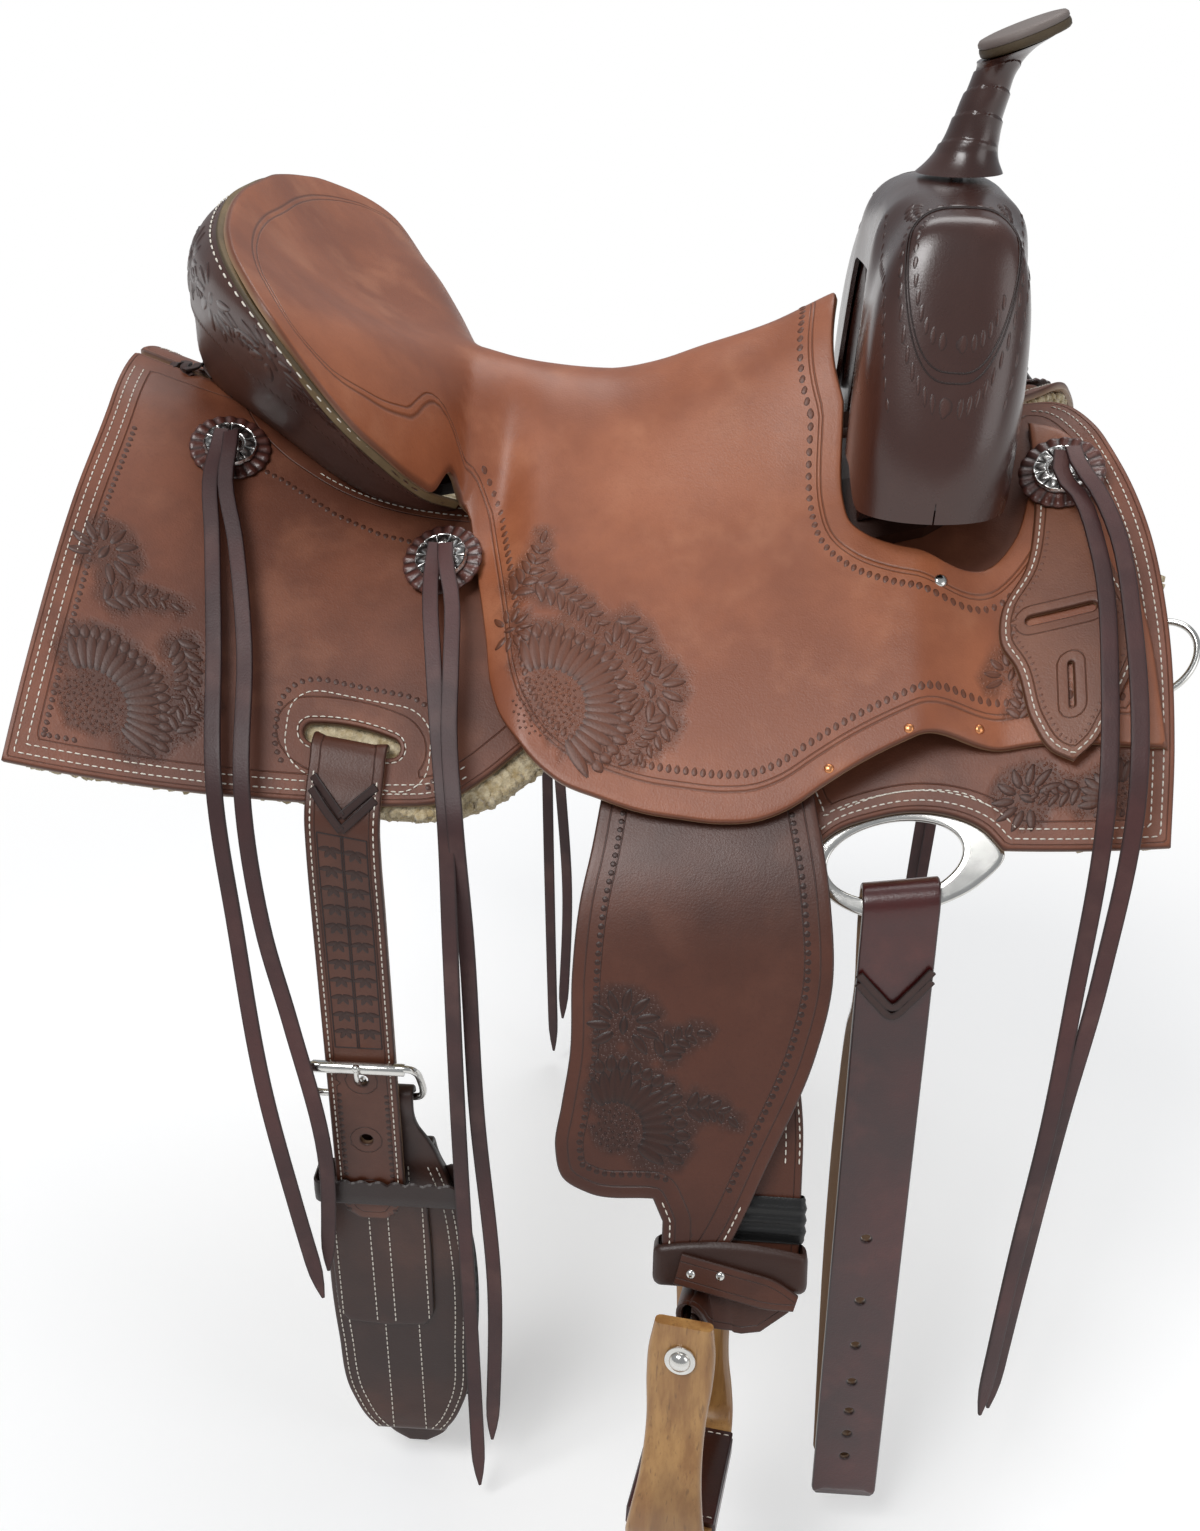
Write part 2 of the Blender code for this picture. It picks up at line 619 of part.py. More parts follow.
def along_table(table, x, column=1):
    """Monotone cubic reading of a table, by its first column."""
    if x <= table[0][0]:
        return table[0][column]
    for i in range(len(table) - 1):
        x0, x1 = table[i][0], table[i + 1][0]
        if x <= x1:
            t = (x - x0) / (x1 - x0)
            y0, y1 = table[i][column], table[i + 1][column]
            slope = (y1 - y0) / (x1 - x0)
            first = table[max(0, i - 1)]
            last = table[min(len(table) - 1, i + 2)]
            m0 = slope if i == 0 else (y1 - first[column]) / (x1 - first[0])
            m1 = slope if last is table[i + 1] else (last[column] - y0) / (last[0] - x0)
            if slope * m0 <= 0:
                m0 = 0.0
            if slope * m1 <= 0:
                m1 = 0.0
            m0 = math.copysign(min(abs(m0), 3 * abs(slope)), slope) if m0 else 0.0
            m1 = math.copysign(min(abs(m1), 3 * abs(slope)), slope) if m1 else 0.0
            width = x1 - x0
            return (y0 * (2 * t ** 3 - 3 * t ** 2 + 1) + m0 * width * (t ** 3 - 2 * t ** 2 + t)
                    + y1 * (-2 * t ** 3 + 3 * t ** 2) + m1 * width * (t ** 3 - t ** 2))
    return table[-1][column]


def jockey_offset(x):
    """Outer face of the jockey above the back: it stands off over the fender."""
    over = smooth(x, -0.082, -0.034) * (1 - smooth(x, 0.190, 0.245))
    return LEATHER + JOCKEY_LOW + (JOCKEY_HIGH - JOCKEY_LOW) * over


def seat_height(x, y):
    y = abs(y)
    if x < SEAT_STATIONS[-1][0]:
        centre, shoulder, height, slope = (along_table(SEAT_STATIONS, x, c) for c in (1, 2, 3, 4))
    else:
        centre = along_table(CENTRE_LINE, x)
        shoulder = along_table(SHOULDER, x)
        offset = jockey_offset(x)
        height = back_z(x, shoulder, offset)
        step = 0.004
        slope = (back_z(x, shoulder + step, offset) - height) / step
        blend = smooth(x, SEAT_STATIONS[-1][0], -0.060)
        slope = -1.5 + (slope + 1.5) * blend
        height = SEAT_STATIONS[-1][3] + (height - SEAT_STATIONS[-1][3]) * blend
        if y >= shoulder:
            fade = max(0.0, 1 - (y - shoulder) / 0.03)
            return back_z(x, y, offset) + (height - back_z(x, shoulder, offset)) * fade
    t = min(1.15, y / shoulder)
    return (centre * (2 * t ** 3 - 3 * t ** 2 + 1) + height * (-2 * t ** 3 + 3 * t ** 2)
            + slope * shoulder * (t ** 3 - t ** 2))


def seat_point(x, y, depth):
    """Point depth under the seat's top surface, along its normal."""
    step = 0.002
    inside = 1 if abs(y) > step else 0
    rise_x = (seat_height(x + step, y) - seat_height(x - step, y)) / (2 * step)
    if x < RIM[0][1] + 0.006:
        rise_x = (seat_height(x + 0.006, y) - seat_height(x, y)) / 0.006
    rise_y = (seat_height(x, y + step) - seat_height(x, y - step)) / (2 * step) * inside
    normal = Vector((-rise_x, -rise_y, 1)).normalized()
    return Vector((x, y, seat_height(x, y))) - normal * depth


JOCKEY_EDGE = [(-0.083, 0.090), (-0.066, 0.167), (-0.060, 0.198), (-0.052, 0.218), (-0.032, 0.242),
               (-0.014, 0.256), (0.011, 0.265), (0.034, 0.272), (0.058, 0.276), (0.081, 0.279),
               (0.104, 0.278), (0.121, 0.272), (0.139, 0.261), (0.155, 0.252), (0.184, 0.240),
               (0.217, 0.241), (0.262, 0.250), (0.330, 0.269), (0.328, 0.241), (0.325, 0.205),
               (0.316, 0.153), (0.301, 0.085), (0.284, 0.048), (0.266, 0.036)]
SWELL_CUT = [(0.266, 0.078), (0.261, 0.098), (0.254, 0.116), (0.238, 0.131), (0.215, 0.1375),
             (0.195, 0.1345), (0.178, 0.129), (0.164, 0.122), (0.154, 0.113), (0.150, 0.100),
             (0.149, 0.060), (SEAT_FRONT, 0.045)]


def seat_outline():
    half = [(x, y) for y, x, _ in RIM[1:]]
    for x, s in JOCKEY_EDGE:
        half.append((x, on_back(x, s, jockey_offset(x), 1).y))
    half += SWELL_CUT
    other = [(x, -y) for x, y in reversed(half)]
    return [(RIM[0][1], 0.0)] + half + [(SEAT_FRONT, 0.0)] + other


def build_seat():
    x_lines = span(-0.21, 0.33, 0.030)
    y_lines = span(-0.27, 0.27, 0.030)
    panel("seat", [seat_outline()], x_lines, y_lines,
          lambda x, y: seat_point(x, y, LEATHER), lambda x, y: seat_point(x, y, 0.0), LIGHT_LEATHER)
    round_shading(bpy.data.objects["seat"], 40)
    half = [(-0.088, 0.040), (-0.060, 0.050), (0.0, 0.062), (0.070, 0.070), (0.130, 0.060)]
    outline = half + [(x, -y) for x, y in reversed(half)]
    panel("ground_seat", [outline], x_lines, y_lines,
          lambda x, y: seat_point(x, y, 0.0125), lambda x, y: seat_point(x, y, 0.0095), STEEL)


# Fenders, stirrup leathers, hobbles and stirrups

def hang_profile(t):
    """Y and Z of the stirrup leather's inner face at distance t from its pivot, off side."""
    start = on_back(PIVOT_X, PIVOT_S, PIVOT_OFFSET)
    y, z = start.y, start.z
    steps = 60
    for i in range(steps):
        angle = hang_angle(t * (i + 0.5) / steps)
        y -= math.cos(angle) * t / steps
        z -= math.sin(angle) * t / steps
    return y, z, hang_angle(t)


def hang_angle(t):
    return HANG_TOP + (HANG_LOW - HANG_TOP) * smooth(t, *HANG_TURN)


def hang_point(x, t, rise, side):
    """Point on the hanging leathers, whose upper part leans with the back's own slope."""
    y, z, angle = hang_profile(t)
    y -= rise * math.sin(angle)
    z += rise * math.cos(angle)
    lean = HANG_SLOPE * math.cos(angle) * (x - PIVOT_X)
    return Vector((x, -side * (y - lean * math.sin(angle)), z + lean * math.cos(angle)))


def hang_across(t):
    low, high = hang_point(PIVOT_X, t, 0.0, -1), hang_point(PIVOT_X + 0.01, t, 0.0, -1)
    return (high - low).normalized()


def leather_rise(t):
    return LEATHER_SHIFT * smooth(t, 0.22, 0.32)


def leather_x(t):
    return PIVOT_X + 0.029 * smooth(t, 0.19, 0.36)


def mirrored(point, side):
    return Vector((point.x, -side * point.y, point.z))


BOLT_AXIS = Vector((math.sin(BOLT_TURN), math.cos(BOLT_TURN) * math.cos(BOLT_ROLL),
                    -math.cos(BOLT_TURN) * math.sin(BOLT_ROLL))).normalized()
FENDER_OUTLINE = [(0.030, 0.062), (0.018, 0.110), (0.012, 0.150), (0.007, 0.190), (0.002, 0.219),
                  (-0.001, 0.260), (-0.001, 0.308), (-0.005, 0.338), (-0.008, 0.363), (-0.003, 0.381),
                  (0.012, 0.389), (0.050, 0.390), (0.056, 0.403), (0.056, 0.4365), (0.083, 0.4365),
                  (0.093, 0.419), (0.117, 0.362), (0.140, 0.301), (0.148, 0.259), (0.145, 0.213),
                  (0.137, 0.166), (0.128, 0.120), (0.112, 0.062)]


def build_fender(word, side):
    lines = [0.10, 0.15, 0.175, 0.20, 0.22, 0.24, 0.27, 0.32, 0.38]
    panel("fender_" + word, [FENDER_OUTLINE], [0.04, 0.09], lines,
          lambda u, v: hang_point(u, v, FENDER[0], side), lambda u, v: hang_point(u, v, FENDER[1], side),
          LIGHT_LEATHER)


def build_stirrup_leather(word, side):
    thickness = STIRRUP_LEATHER[1] - STIRRUP_LEATHER[0]
    middle = (STIRRUP_LEATHER[0] + STIRRUP_LEATHER[1]) / 2
    stations = []
    for t in (0.003, 0.05, 0.10, 0.15, 0.175, 0.20, 0.22, 0.24, 0.27, 0.30, 0.34, 0.38, 0.41, 0.440):
        centre = hang_point(leather_x(t), t, middle + leather_rise(t), -1)
        along = hang_point(PIVOT_X, t + 0.01, 0.0, -1) - hang_point(PIVOT_X, t - 0.01, 0.0, -1)
        normal = hang_across(t).cross(along).normalized()
        normal = normal if normal.z > 0 else -normal
        stations.append((centre, hang_across(t), normal, LEATHER_WIDTH, thickness))
    start, _, start_normal, _, _ = stations[-1]
    radius = BOLT_RADIUS + 0.0008 + thickness / 2
    down = Vector((0, 0, -1))
    fore = BOLT_AXIS.cross(down).normalized()
    under = fore.cross(BOLT_AXIS).normalized()
    loop_start = BOLT_CENTRE + fore * radius
    for k in range(1, 4):
        t = k / 4
        centre = start.lerp(loop_start - under * 0.010, t)
        across = Vector((1, 0, 0)).lerp(-BOLT_AXIS, smooth(t, 0, 1)).normalized()
        normal = start_normal.lerp(fore, smooth(t, 0, 1)).normalized()
        stations.append((centre, across, normal, LEATHER_WIDTH * (1 - t) + 0.040 * t, thickness))
    stations.append((loop_start - under * 0.006, -BOLT_AXIS, fore, 0.038, thickness))
    for k in range(0, 10):
        angle = math.radians(30 * k)
        outward = fore * math.cos(angle) + under * math.sin(angle)
        stations.append((BOLT_CENTRE + outward * radius, -BOLT_AXIS, outward, 0.038, thickness))
    turned = []
    for centre, across, normal, width, thick in stations:
        turned.append((mirrored(centre, side), mirrored(across, side), mirrored(normal, side), width, thick))
    strap("stirrup_leather_" + word, turned, DARK_LEATHER)


def band_round(name, t_range, x_range, rise_range, thickness, finish, side):
    """A closed band round the leather: its section at t is a rectangle in x and rise."""
    x0, x1 = x_range
    r0, r1 = rise_range
    corner = 0.0010
    loop = [(x0 + corner, r0), (x1 - corner, r0), (x1, r0 + corner), (x1, r1 - corner),
            (x1 - corner, r1), (x0 + corner, r1), (x0, r1 - corner), (x0, r0 + corner)]
    middle_x, middle_r = (x0 + x1) / 2, (r0 + r1) / 2
    rings = []
    for x, rise in loop:
        dx = math.copysign(min(thickness, abs(x - middle_x)), x - middle_x)
        dr = math.copysign(min(thickness, abs(rise - middle_r)), rise - middle_r)
        outer_x = x + (dx if x in (x0, x1) else dx * 0.42)
        outer_r = rise + (dr if rise in (r0, r1) else dr * 0.42)
        ring = []
        for t, inside in ((t_range[0], True), (t_range[1], True), (t_range[1], False), (t_range[0], False)):
            px, pr = (x, rise) if inside else (outer_x, outer_r)
            ring.append(hang_point(px, t, pr, side))
        rings.append(ring)
    return loft(name, rings, finish, closed=True)


def build_hobble(word, side):
    low = STIRRUP_LEATHER[0] + LEATHER_SHIFT
    x_middle = leather_x(0.43)
    reach = LEATHER_WIDTH / 2 + 0.0018
    band_round("hobble_strap_" + word, HOBBLE, (0.0540, x_middle + reach), (low - 0.0012, FENDER[1] + 0.0010),
               0.0028, DARK_LEATHER, side)
    band_round("leather_buckle_" + word, SLEEVE, (x_middle - reach, x_middle + reach),
               (low - 0.0012, STIRRUP_LEATHER[1] + LEATHER_SHIFT + 0.0012), 0.0014, STEEL, side)


def stirrup_frame_axes():
    """Down and fore directions of the stirrup, swung a little about its bolt."""
    plumb = Vector((0, 0, -1))
    fore = BOLT_AXIS.cross(plumb).normalized()
    down = fore.cross(BOLT_AXIS).normalized()
    swung = down * math.cos(STIRRUP_TILT) + fore * math.sin(STIRRUP_TILT)
    return swung, (fore * math.cos(STIRRUP_TILT) - down * math.sin(STIRRUP_TILT))


def build_stirrup(word, side):
    down, fore = stirrup_frame_axes()
    if fore.x < 0:
        fore = -fore
    top, low = STIRRUP_TOP_HALF, STIRRUP_LOW_HALF
    thickness = 0.0085
    drop = STIRRUP_DROP
    shape = [(-top, -0.014, 0.040), (-top, 0.0, 0.045), (-top, 0.014, 0.044), (-top - 0.001, 0.045, 0.040),
             (-low + 0.004, 0.080, 0.042), (-low, 0.110, 0.049), (-low + 0.001, 0.132, 0.053),
             (-low + 0.010, drop - 0.002, 0.055), (-low + 0.024, drop, 0.055), (0.0, drop, 0.055)]
    full = shape + [(-b, d, w) for b, d, w in reversed(shape[:-1])]
    stations = []
    for i, (b, d, width) in enumerate(full):
        b0, d0, _ = full[max(0, i - 1)]
        b1, d1, _ = full[min(len(full) - 1, i + 1)]
        along = (BOLT_AXIS * (b1 - b0) + down * (d1 - d0)).normalized()
        normal = along.cross(fore)
        centre = BOLT_CENTRE + BOLT_AXIS * b + down * d
        stations.append((mirrored(centre, side), mirrored(fore, side), mirrored(normal, side), width, thickness))
    frame = strap("stirrup_" + word, stations, STIRRUP_WOOD)
    reach = BOLT_AXIS * (top + 0.03)
    hole = rod("stirrup_bore_" + word, mirrored(BOLT_CENTRE - reach, side), mirrored(BOLT_CENTRE + reach, side),
               BOLT_RADIUS + 0.0006, None, 16, collection=cutters)
    cut(frame, hole)
    tread = []
    for b in (-0.040, 0.0, 0.040):
        centre = BOLT_CENTRE + BOLT_AXIS * b + down * (drop - thickness / 2 - 0.0022)
        tread.append((mirrored(centre, side), mirrored(fore, side), mirrored(down, side), 0.056, 0.003))
    strap("tread_cover_" + word, tread, BURGUNDY)
    build_bolt(word, side)


def build_bolt(word, side):
    """A turned bolt with a domed head at each end, outside the branches."""
    face = STIRRUP_TOP_HALF + 0.0085 / 2 + 0.0004
    profile = [(0.0045, -face - 0.0058), (0.0075, -face - 0.0032), (0.0085, -face), (BOLT_RADIUS, -face),
               (BOLT_RADIUS, face), (0.0085, face), (0.0075, face + 0.0032), (0.0045, face + 0.0058)]
    rings = []
    side_axis = Vector((1, 0, 0)).cross(BOLT_AXIS).normalized()
    other = BOLT_AXIS.cross(side_axis)
    for radius, along in profile:
        ring = []
        for k in range(14):
            a = 2 * math.pi * k / 14
            point = BOLT_CENTRE + BOLT_AXIS * along + side_axis * radius * math.cos(a) + other * radius * math.sin(a)
            ring.append(mirrored(point, side))
        rings.append(ring)
    round_shading(loft("stirrup_bolt_" + word, rings, STEEL), 30)


# Front billets, looped through the rigging plates

def build_front_billet(name, side, finish):
    """One long strap, doubled through the plate, both plies hanging."""
    offset = (PLATE[0] + PLATE[1]) / 2
    pivot = on_back(BILLET_X, RIM_S, offset)
    thickness = 0.0032
    outer_y = pivot.y - LOOP_RADIUS
    inner_y = pivot.y + LOOP_RADIUS
    tie_z = pivot.z - 0.050
    close = outer_y + thickness + 0.0008
    outer = [(outer_y, BILLET_END), (outer_y, -0.50), (outer_y, -0.35), (outer_y, tie_z), (outer_y, pivot.z - 0.012)]
    arc = [(pivot.y - LOOP_RADIUS * math.cos(a), pivot.z + LOOP_RADIUS * math.sin(a))
           for a in (math.pi * k / 8 for k in range(9))]
    inner = [(inner_y - 0.0005, pivot.z - 0.014), (inner_y - 0.0075, pivot.z - 0.034), (close + 0.0030, tie_z),
             (close + 0.006, tie_z - 0.020),
             (outer_y + 0.030, -0.270), (outer_y + 0.050, -0.340), (outer_y + 0.058, -0.420),
             (outer_y + 0.050, -0.500), (outer_y + 0.030, -0.570), (outer_y + 0.014, -0.620),
             (close + 0.003, BILLET_END + 0.003)]
    points = [Vector((BILLET_X, -side * y, z)) for y, z in outer + arc + inner]
    stations = []
    for i, point in enumerate(points):
        along = points[min(len(points) - 1, i + 1)] - points[max(0, i - 1)]
        lean = BILLET_LEAN * (1 - smooth(pivot.z - point.z, 0.02, 0.09))
        across = Vector((1, 0, lean)).normalized()
        stations.append((point, across, along.cross(across), BILLET_WIDTH, thickness))
    strap(name, stations, finish)


# Flank billets and the flank cinch hung in the off one

def flank_slope():
    return 2 * RISE_REAR * FLANK_X / RISE_SPAN ** 2


def flank_path(side):
    middle = (SLOT[2] + SLOT[3]) / 2
    top = SKIRT[1] + 0.0040
    lead = [(middle, SKIRT[0] + 0.0010), (middle + 0.0008, SKIRT[1] + 0.0006), (middle + 0.0050, top),
            (middle + 0.020, top + 0.0002), (middle + 0.040, top + 0.0006)]
    points = [on_back(FLANK_X, s, offset, side) for s, offset in lead]
    last = points[-1]
    angle = back_angle(FLANK_X, middle + 0.040)
    for k in range(1, 4):
        bend = angle + (math.pi / 2 - angle) * k / 3.5
        last = last + Vector((0, side * math.cos(bend), -math.sin(bend))) * 0.008
        points.append(last)
    return points


def flank_plumb_y(side):
    return flank_path(side)[-1].y


def build_flank_billet(word, side, end_z):
    points = flank_path(side)
    y = flank_plumb_y(side)
    top = points[-1].z - 0.012
    count = 6
    for k in range(count + 1):
        points.append(Vector((FLANK_X, y + side * 0.0008, top + (end_z - top) * k / count)))
    stations = []
    for i, point in enumerate(points):
        along = points[min(len(points) - 1, i + 1)] - points[max(0, i - 1)]
        lean = flank_slope() * (1 - smooth(points[0].z - point.z, 0.045, 0.12))
        across = Vector((1, 0, lean)).normalized()
        width = 0.026 if i == len(points) - 1 else FLANK_WIDTH
        stations.append((point, across, along.cross(across), width, 0.0044))
    billet = strap("flank_billet_" + word, stations, LIGHT_LEATHER)
    start = Vector((FLANK_X, y - 0.01, BUCKLE_Z - TONGUE_DROP))
    cut(billet, rod("tongue_hole", start, start + Vector((0, 0.02, 0)), 0.0045, None, 12, collection=cutters))


def build_buckle():
    y = flank_plumb_y(-1) - 0.0008
    half_width = 0.0345
    tube_y = y - 0.0022 - 0.0042 - 0.0006
    bar_z = BUCKLE_Z - 0.034
    bar_y = y + 0.0022 + 0.0085
    wire = bpy.data.curves.new("buckle_wire", "CURVE")
    wire.dimensions = "3D"
    wire.bevel_depth = 0.0024
    wire.bevel_resolution = 2
    loop = [(-half_width, tube_y, BUCKLE_Z), (-half_width / 3, tube_y, BUCKLE_Z),
            (half_width / 3, tube_y, BUCKLE_Z), (half_width, tube_y, BUCKLE_Z),
            (half_width + 0.003, (tube_y + bar_y) / 2, BUCKLE_Z - 0.015),
            (half_width, bar_y, bar_z), (half_width / 3, bar_y, bar_z),
            (-half_width / 3, bar_y, bar_z), (-half_width, bar_y, bar_z),
            (-half_width - 0.003, (tube_y + bar_y) / 2, BUCKLE_Z - 0.015)]
    spline = wire.splines.new("POLY")
    spline.points.add(len(loop) - 1)
    for point, (x, py, pz) in zip(spline.points, loop):
        point.co = (FLANK_X + x, py, pz, 1.0)
    spline.use_cyclic_u = True
    wire.materials.append(STEEL)
    frame = bpy.data.objects.new("buckle_frame", wire)
    parts.objects.link(frame)
    left = Vector((FLANK_X - half_width + 0.005, tube_y, BUCKLE_Z))
    right = Vector((FLANK_X + half_width - 0.005, tube_y, BUCKLE_Z))
    roller = rod("buckle_roller", left, right, 0.0040, STEEL, 16)
    bore = rod("roller_bore", left - Vector((0.01, 0, 0)), right + Vector((0.01, 0, 0)), 0.0028, None, 12,
               collection=cutters)
    cut(roller, bore)


def buckle_bar():
    """Y and Z of the buckle's rear bar, which carries the tongue and the cinch."""
    return flank_plumb_y(-1) - 0.0008 + 0.0107, BUCKLE_Z - 0.034


def build_tongue():
    """A pin hinged on the rear bar, through the billet's hole, its tip on the roller."""
    bar_y, bar_z = buckle_bar()
    front = flank_plumb_y(-1) - 0.0008 - 0.0022
    x = FLANK_X
    eye = Vector((x, bar_y, bar_z + 0.0048))
    points = [eye, Vector((x, bar_y - 0.004, bar_z + 0.012)), Vector((x, front + 0.003, BUCKLE_Z - TONGUE_DROP)),
              Vector((x, front - 0.0045, BUCKLE_Z - TONGUE_DROP + 0.0025)),
              Vector((x, front - 0.0105, BUCKLE_Z - 0.004)), Vector((x, front - 0.0112, BUCKLE_Z + 0.004))]
    path_strap("buckle_tongue", points, Vector((1, 0, 0)), 0.0032, 0.0028, STEEL)


def build_flank_cinch():
    """The folded cinch: one strap, hung over the buckle's rear bar and laid in three flat folds."""
    bar_y, bar_z = buckle_bar()
    x = FLANK_X + 0.012
    thin, thick, ply = 0.0040, 0.0068, 0.0112
    bend = 0.0024 + 0.0008 + thin / 2
    front = bar_y - 0.0008
    stations = []

    def add(y, z, width, thickness, along, shift=0.0):
        across = Vector((1, 0, 0))
        stations.append((Vector((x + shift, y, z)), across, along.cross(across), width, thickness))

    for k in range(7):
        angle = math.pi * k / 6
        tangent = Vector((0, -math.sin(angle), math.cos(angle)))
        add(bar_y + bend * math.cos(angle), bar_z + bend * math.sin(angle), 0.026, thin, tangent, 0.0060)
    down, up = Vector((0, 0, -1)), Vector((0, 0, 1))
    first = [(-0.370, 0.046), (-0.395, 0.066), (-0.425, 0.084), (-0.480, 0.096), (-0.560, 0.094), (-0.620, 0.082),
             (-0.645, 0.060)]
    for z, width in first:
        thickness = thin if z > -0.38 else thick
        add(front + 0.0010 * (z < -0.38), z, width, thickness, down)
    turn(stations, x, front + 0.001, -0.648, ply, 0.052, thick, -1)
    for z, width in ((-0.640, 0.056), (-0.600, 0.080), (-0.500, 0.096), (-0.430, 0.084), (-0.405, 0.060)):
        add(front + 0.001 + ply, z, width, thick, up)
    turn(stations, x, front + 0.001 + ply, -0.402, ply, 0.052, thick, 1)
    for z, width in ((-0.410, 0.056), (-0.440, 0.080), (-0.520, 0.090), (-0.610, 0.070), (-0.660, 0.050),
                     (-0.682, 0.040), (-0.690, 0.022)):
        add(front + 0.001 + 2 * ply, z, width, thick, down)
    strap("flank_cinch", stations, DARK_LEATHER)
    build_cinch_sleeve(x, front)


def turn(stations, x, y, z, ply, width, thickness, direction):
    """A fold of the cinch: half a turn, downwards or upwards, from y to y + ply."""
    for k in range(1, 6):
        angle = math.pi * k / 6
        centre = Vector((x, y + ply / 2 - ply / 2 * math.cos(angle), z + direction * ply / 2 * math.sin(angle)))
        tangent = Vector((0, math.sin(angle), direction * math.cos(angle)))
        stations.append((centre, Vector((1, 0, 0)), tangent.cross(Vector((1, 0, 0))), width, thickness))


def build_cinch_sleeve(x, front):
    """A leather sleeve round the billet's tip and the cinch's front fold."""
    rings = []
    top, low = -0.408, -0.425
    half = 0.048
    y0 = flank_plumb_y(-1) - 0.0008 - 0.0022 - 0.0012
    y1 = front + 0.001 + 0.0034 + 0.0010
    thickness = 0.0022
    for cx, cy in ((-1, -1), (1, -1), (1, 1), (-1, 1)):
        px, py = x + cx * half, y0 if cy < 0 else y1
        ox, oy = px + cx * thickness, py + cy * thickness
        rings.append([Vector((px, py, top)), Vector((px, py, low)), Vector((ox, oy, low)), Vector((ox, oy, top))])
    loft("cinch_keeper", rings, DARK_LEATHER, closed=True)


# Conchos, rosettes and saddle strings

def disc_frame(place, base, side):
    """Centre, directions and normal of a flat disc laid on the surface base(x) above the back."""
    x, s = place
    reach, step = ROSETTE_RADIUS, 0.002
    fore = on_back(x + reach, s, base(x + reach), side)
    rear = on_back(x - reach, s, base(x - reach), side)
    across = (fore - rear).normalized()
    up = (on_back(x, s - step, base(x), side) - on_back(x, s + step, base(x), side)).normalized()
    normal = across.cross(up).normalized() * (1 if side < 0 else -1)
    return (fore + rear) / 2, across, normal.cross(across) * (1 if side < 0 else -1), normal


def disc_rings(frame, profile, count, wave=0.0):
    """Rings of (radius, rise) about the disc's normal; wave scallops the edge."""
    centre, across, up, normal = frame
    rings = []
    for radius, rise in profile:
        ring = []
        for k in range(count):
            a = 2 * math.pi * k / count
            r = radius * (1 + (wave if k % 2 else -wave))
            ring.append(centre + normal * rise + (across * math.cos(a) + up * math.sin(a)) * r)
        rings.append(ring)
    return rings


def build_concho(word, place, base, side):
    """A scalloped leather rosette under a domed concho."""
    frame = disc_frame(place, base, side)
    rosette = disc_rings(frame, [(ROSETTE_RADIUS, 0.0), (ROSETTE_RADIUS, 0.0030)], 30, 0.028)
    loft("rosette_" + word, rosette, DARK_LEATHER)
    profile = [(CONCHO_RADIUS, 0.0034), (CONCHO_RADIUS, 0.0048), (0.0135, 0.0062), (0.0090, 0.0066),
               (0.0070, 0.0084), (0.0035, 0.0096)]
    round_shading(loft("concho_" + word, disc_rings(frame, profile, 18), SILVER), 30)


def over_jockey_edge(x):
    """Offset of the rosette that lies half on the skirt and half on the jockey's rear edge."""
    return SKIRT[1] + 0.0008 + 0.242 * (x - CONCHO_MID[0] + ROSETTE_RADIUS)


KEEPER_OUTLINE = [(0.266, 0.074), (0.264, 0.110), (0.258, 0.140), (0.243, 0.166), (0.242, 0.186),
                  (0.250, 0.203), (0.258, 0.237), (0.268, 0.256), (0.280, 0.265), (0.292, 0.256),
                  (0.300, 0.243), (0.312, 0.222), (0.319, 0.205), (0.317, 0.186), (0.305, 0.150),
                  (0.299, 0.115), (0.297, 0.074)]


def build_keeper(word, side):
    base = jockey_offset(0.28) + 0.0008
    slot = stadium(0.256, 0.296, 0.1725, 0.1785, 3)
    slit = [(0.2785, 0.206), (0.2815, 0.206), (0.2815, 0.234), (0.2785, 0.234)]
    back_panel("latigo_keeper_" + word, [KEEPER_OUTLINE, slot, slit], side, base, base + 0.0034, SKIRT_LEATHER)


def build_trim(word, side):
    build_concho("rear_" + word, CONCHO_REAR, lambda x: SKIRT[1] + 0.0008, side)
    build_concho("mid_" + word, CONCHO_MID, over_jockey_edge, side)
    build_concho("front_" + word, CONCHO_FRONT, lambda x: jockey_offset(x) + 0.0052, side)


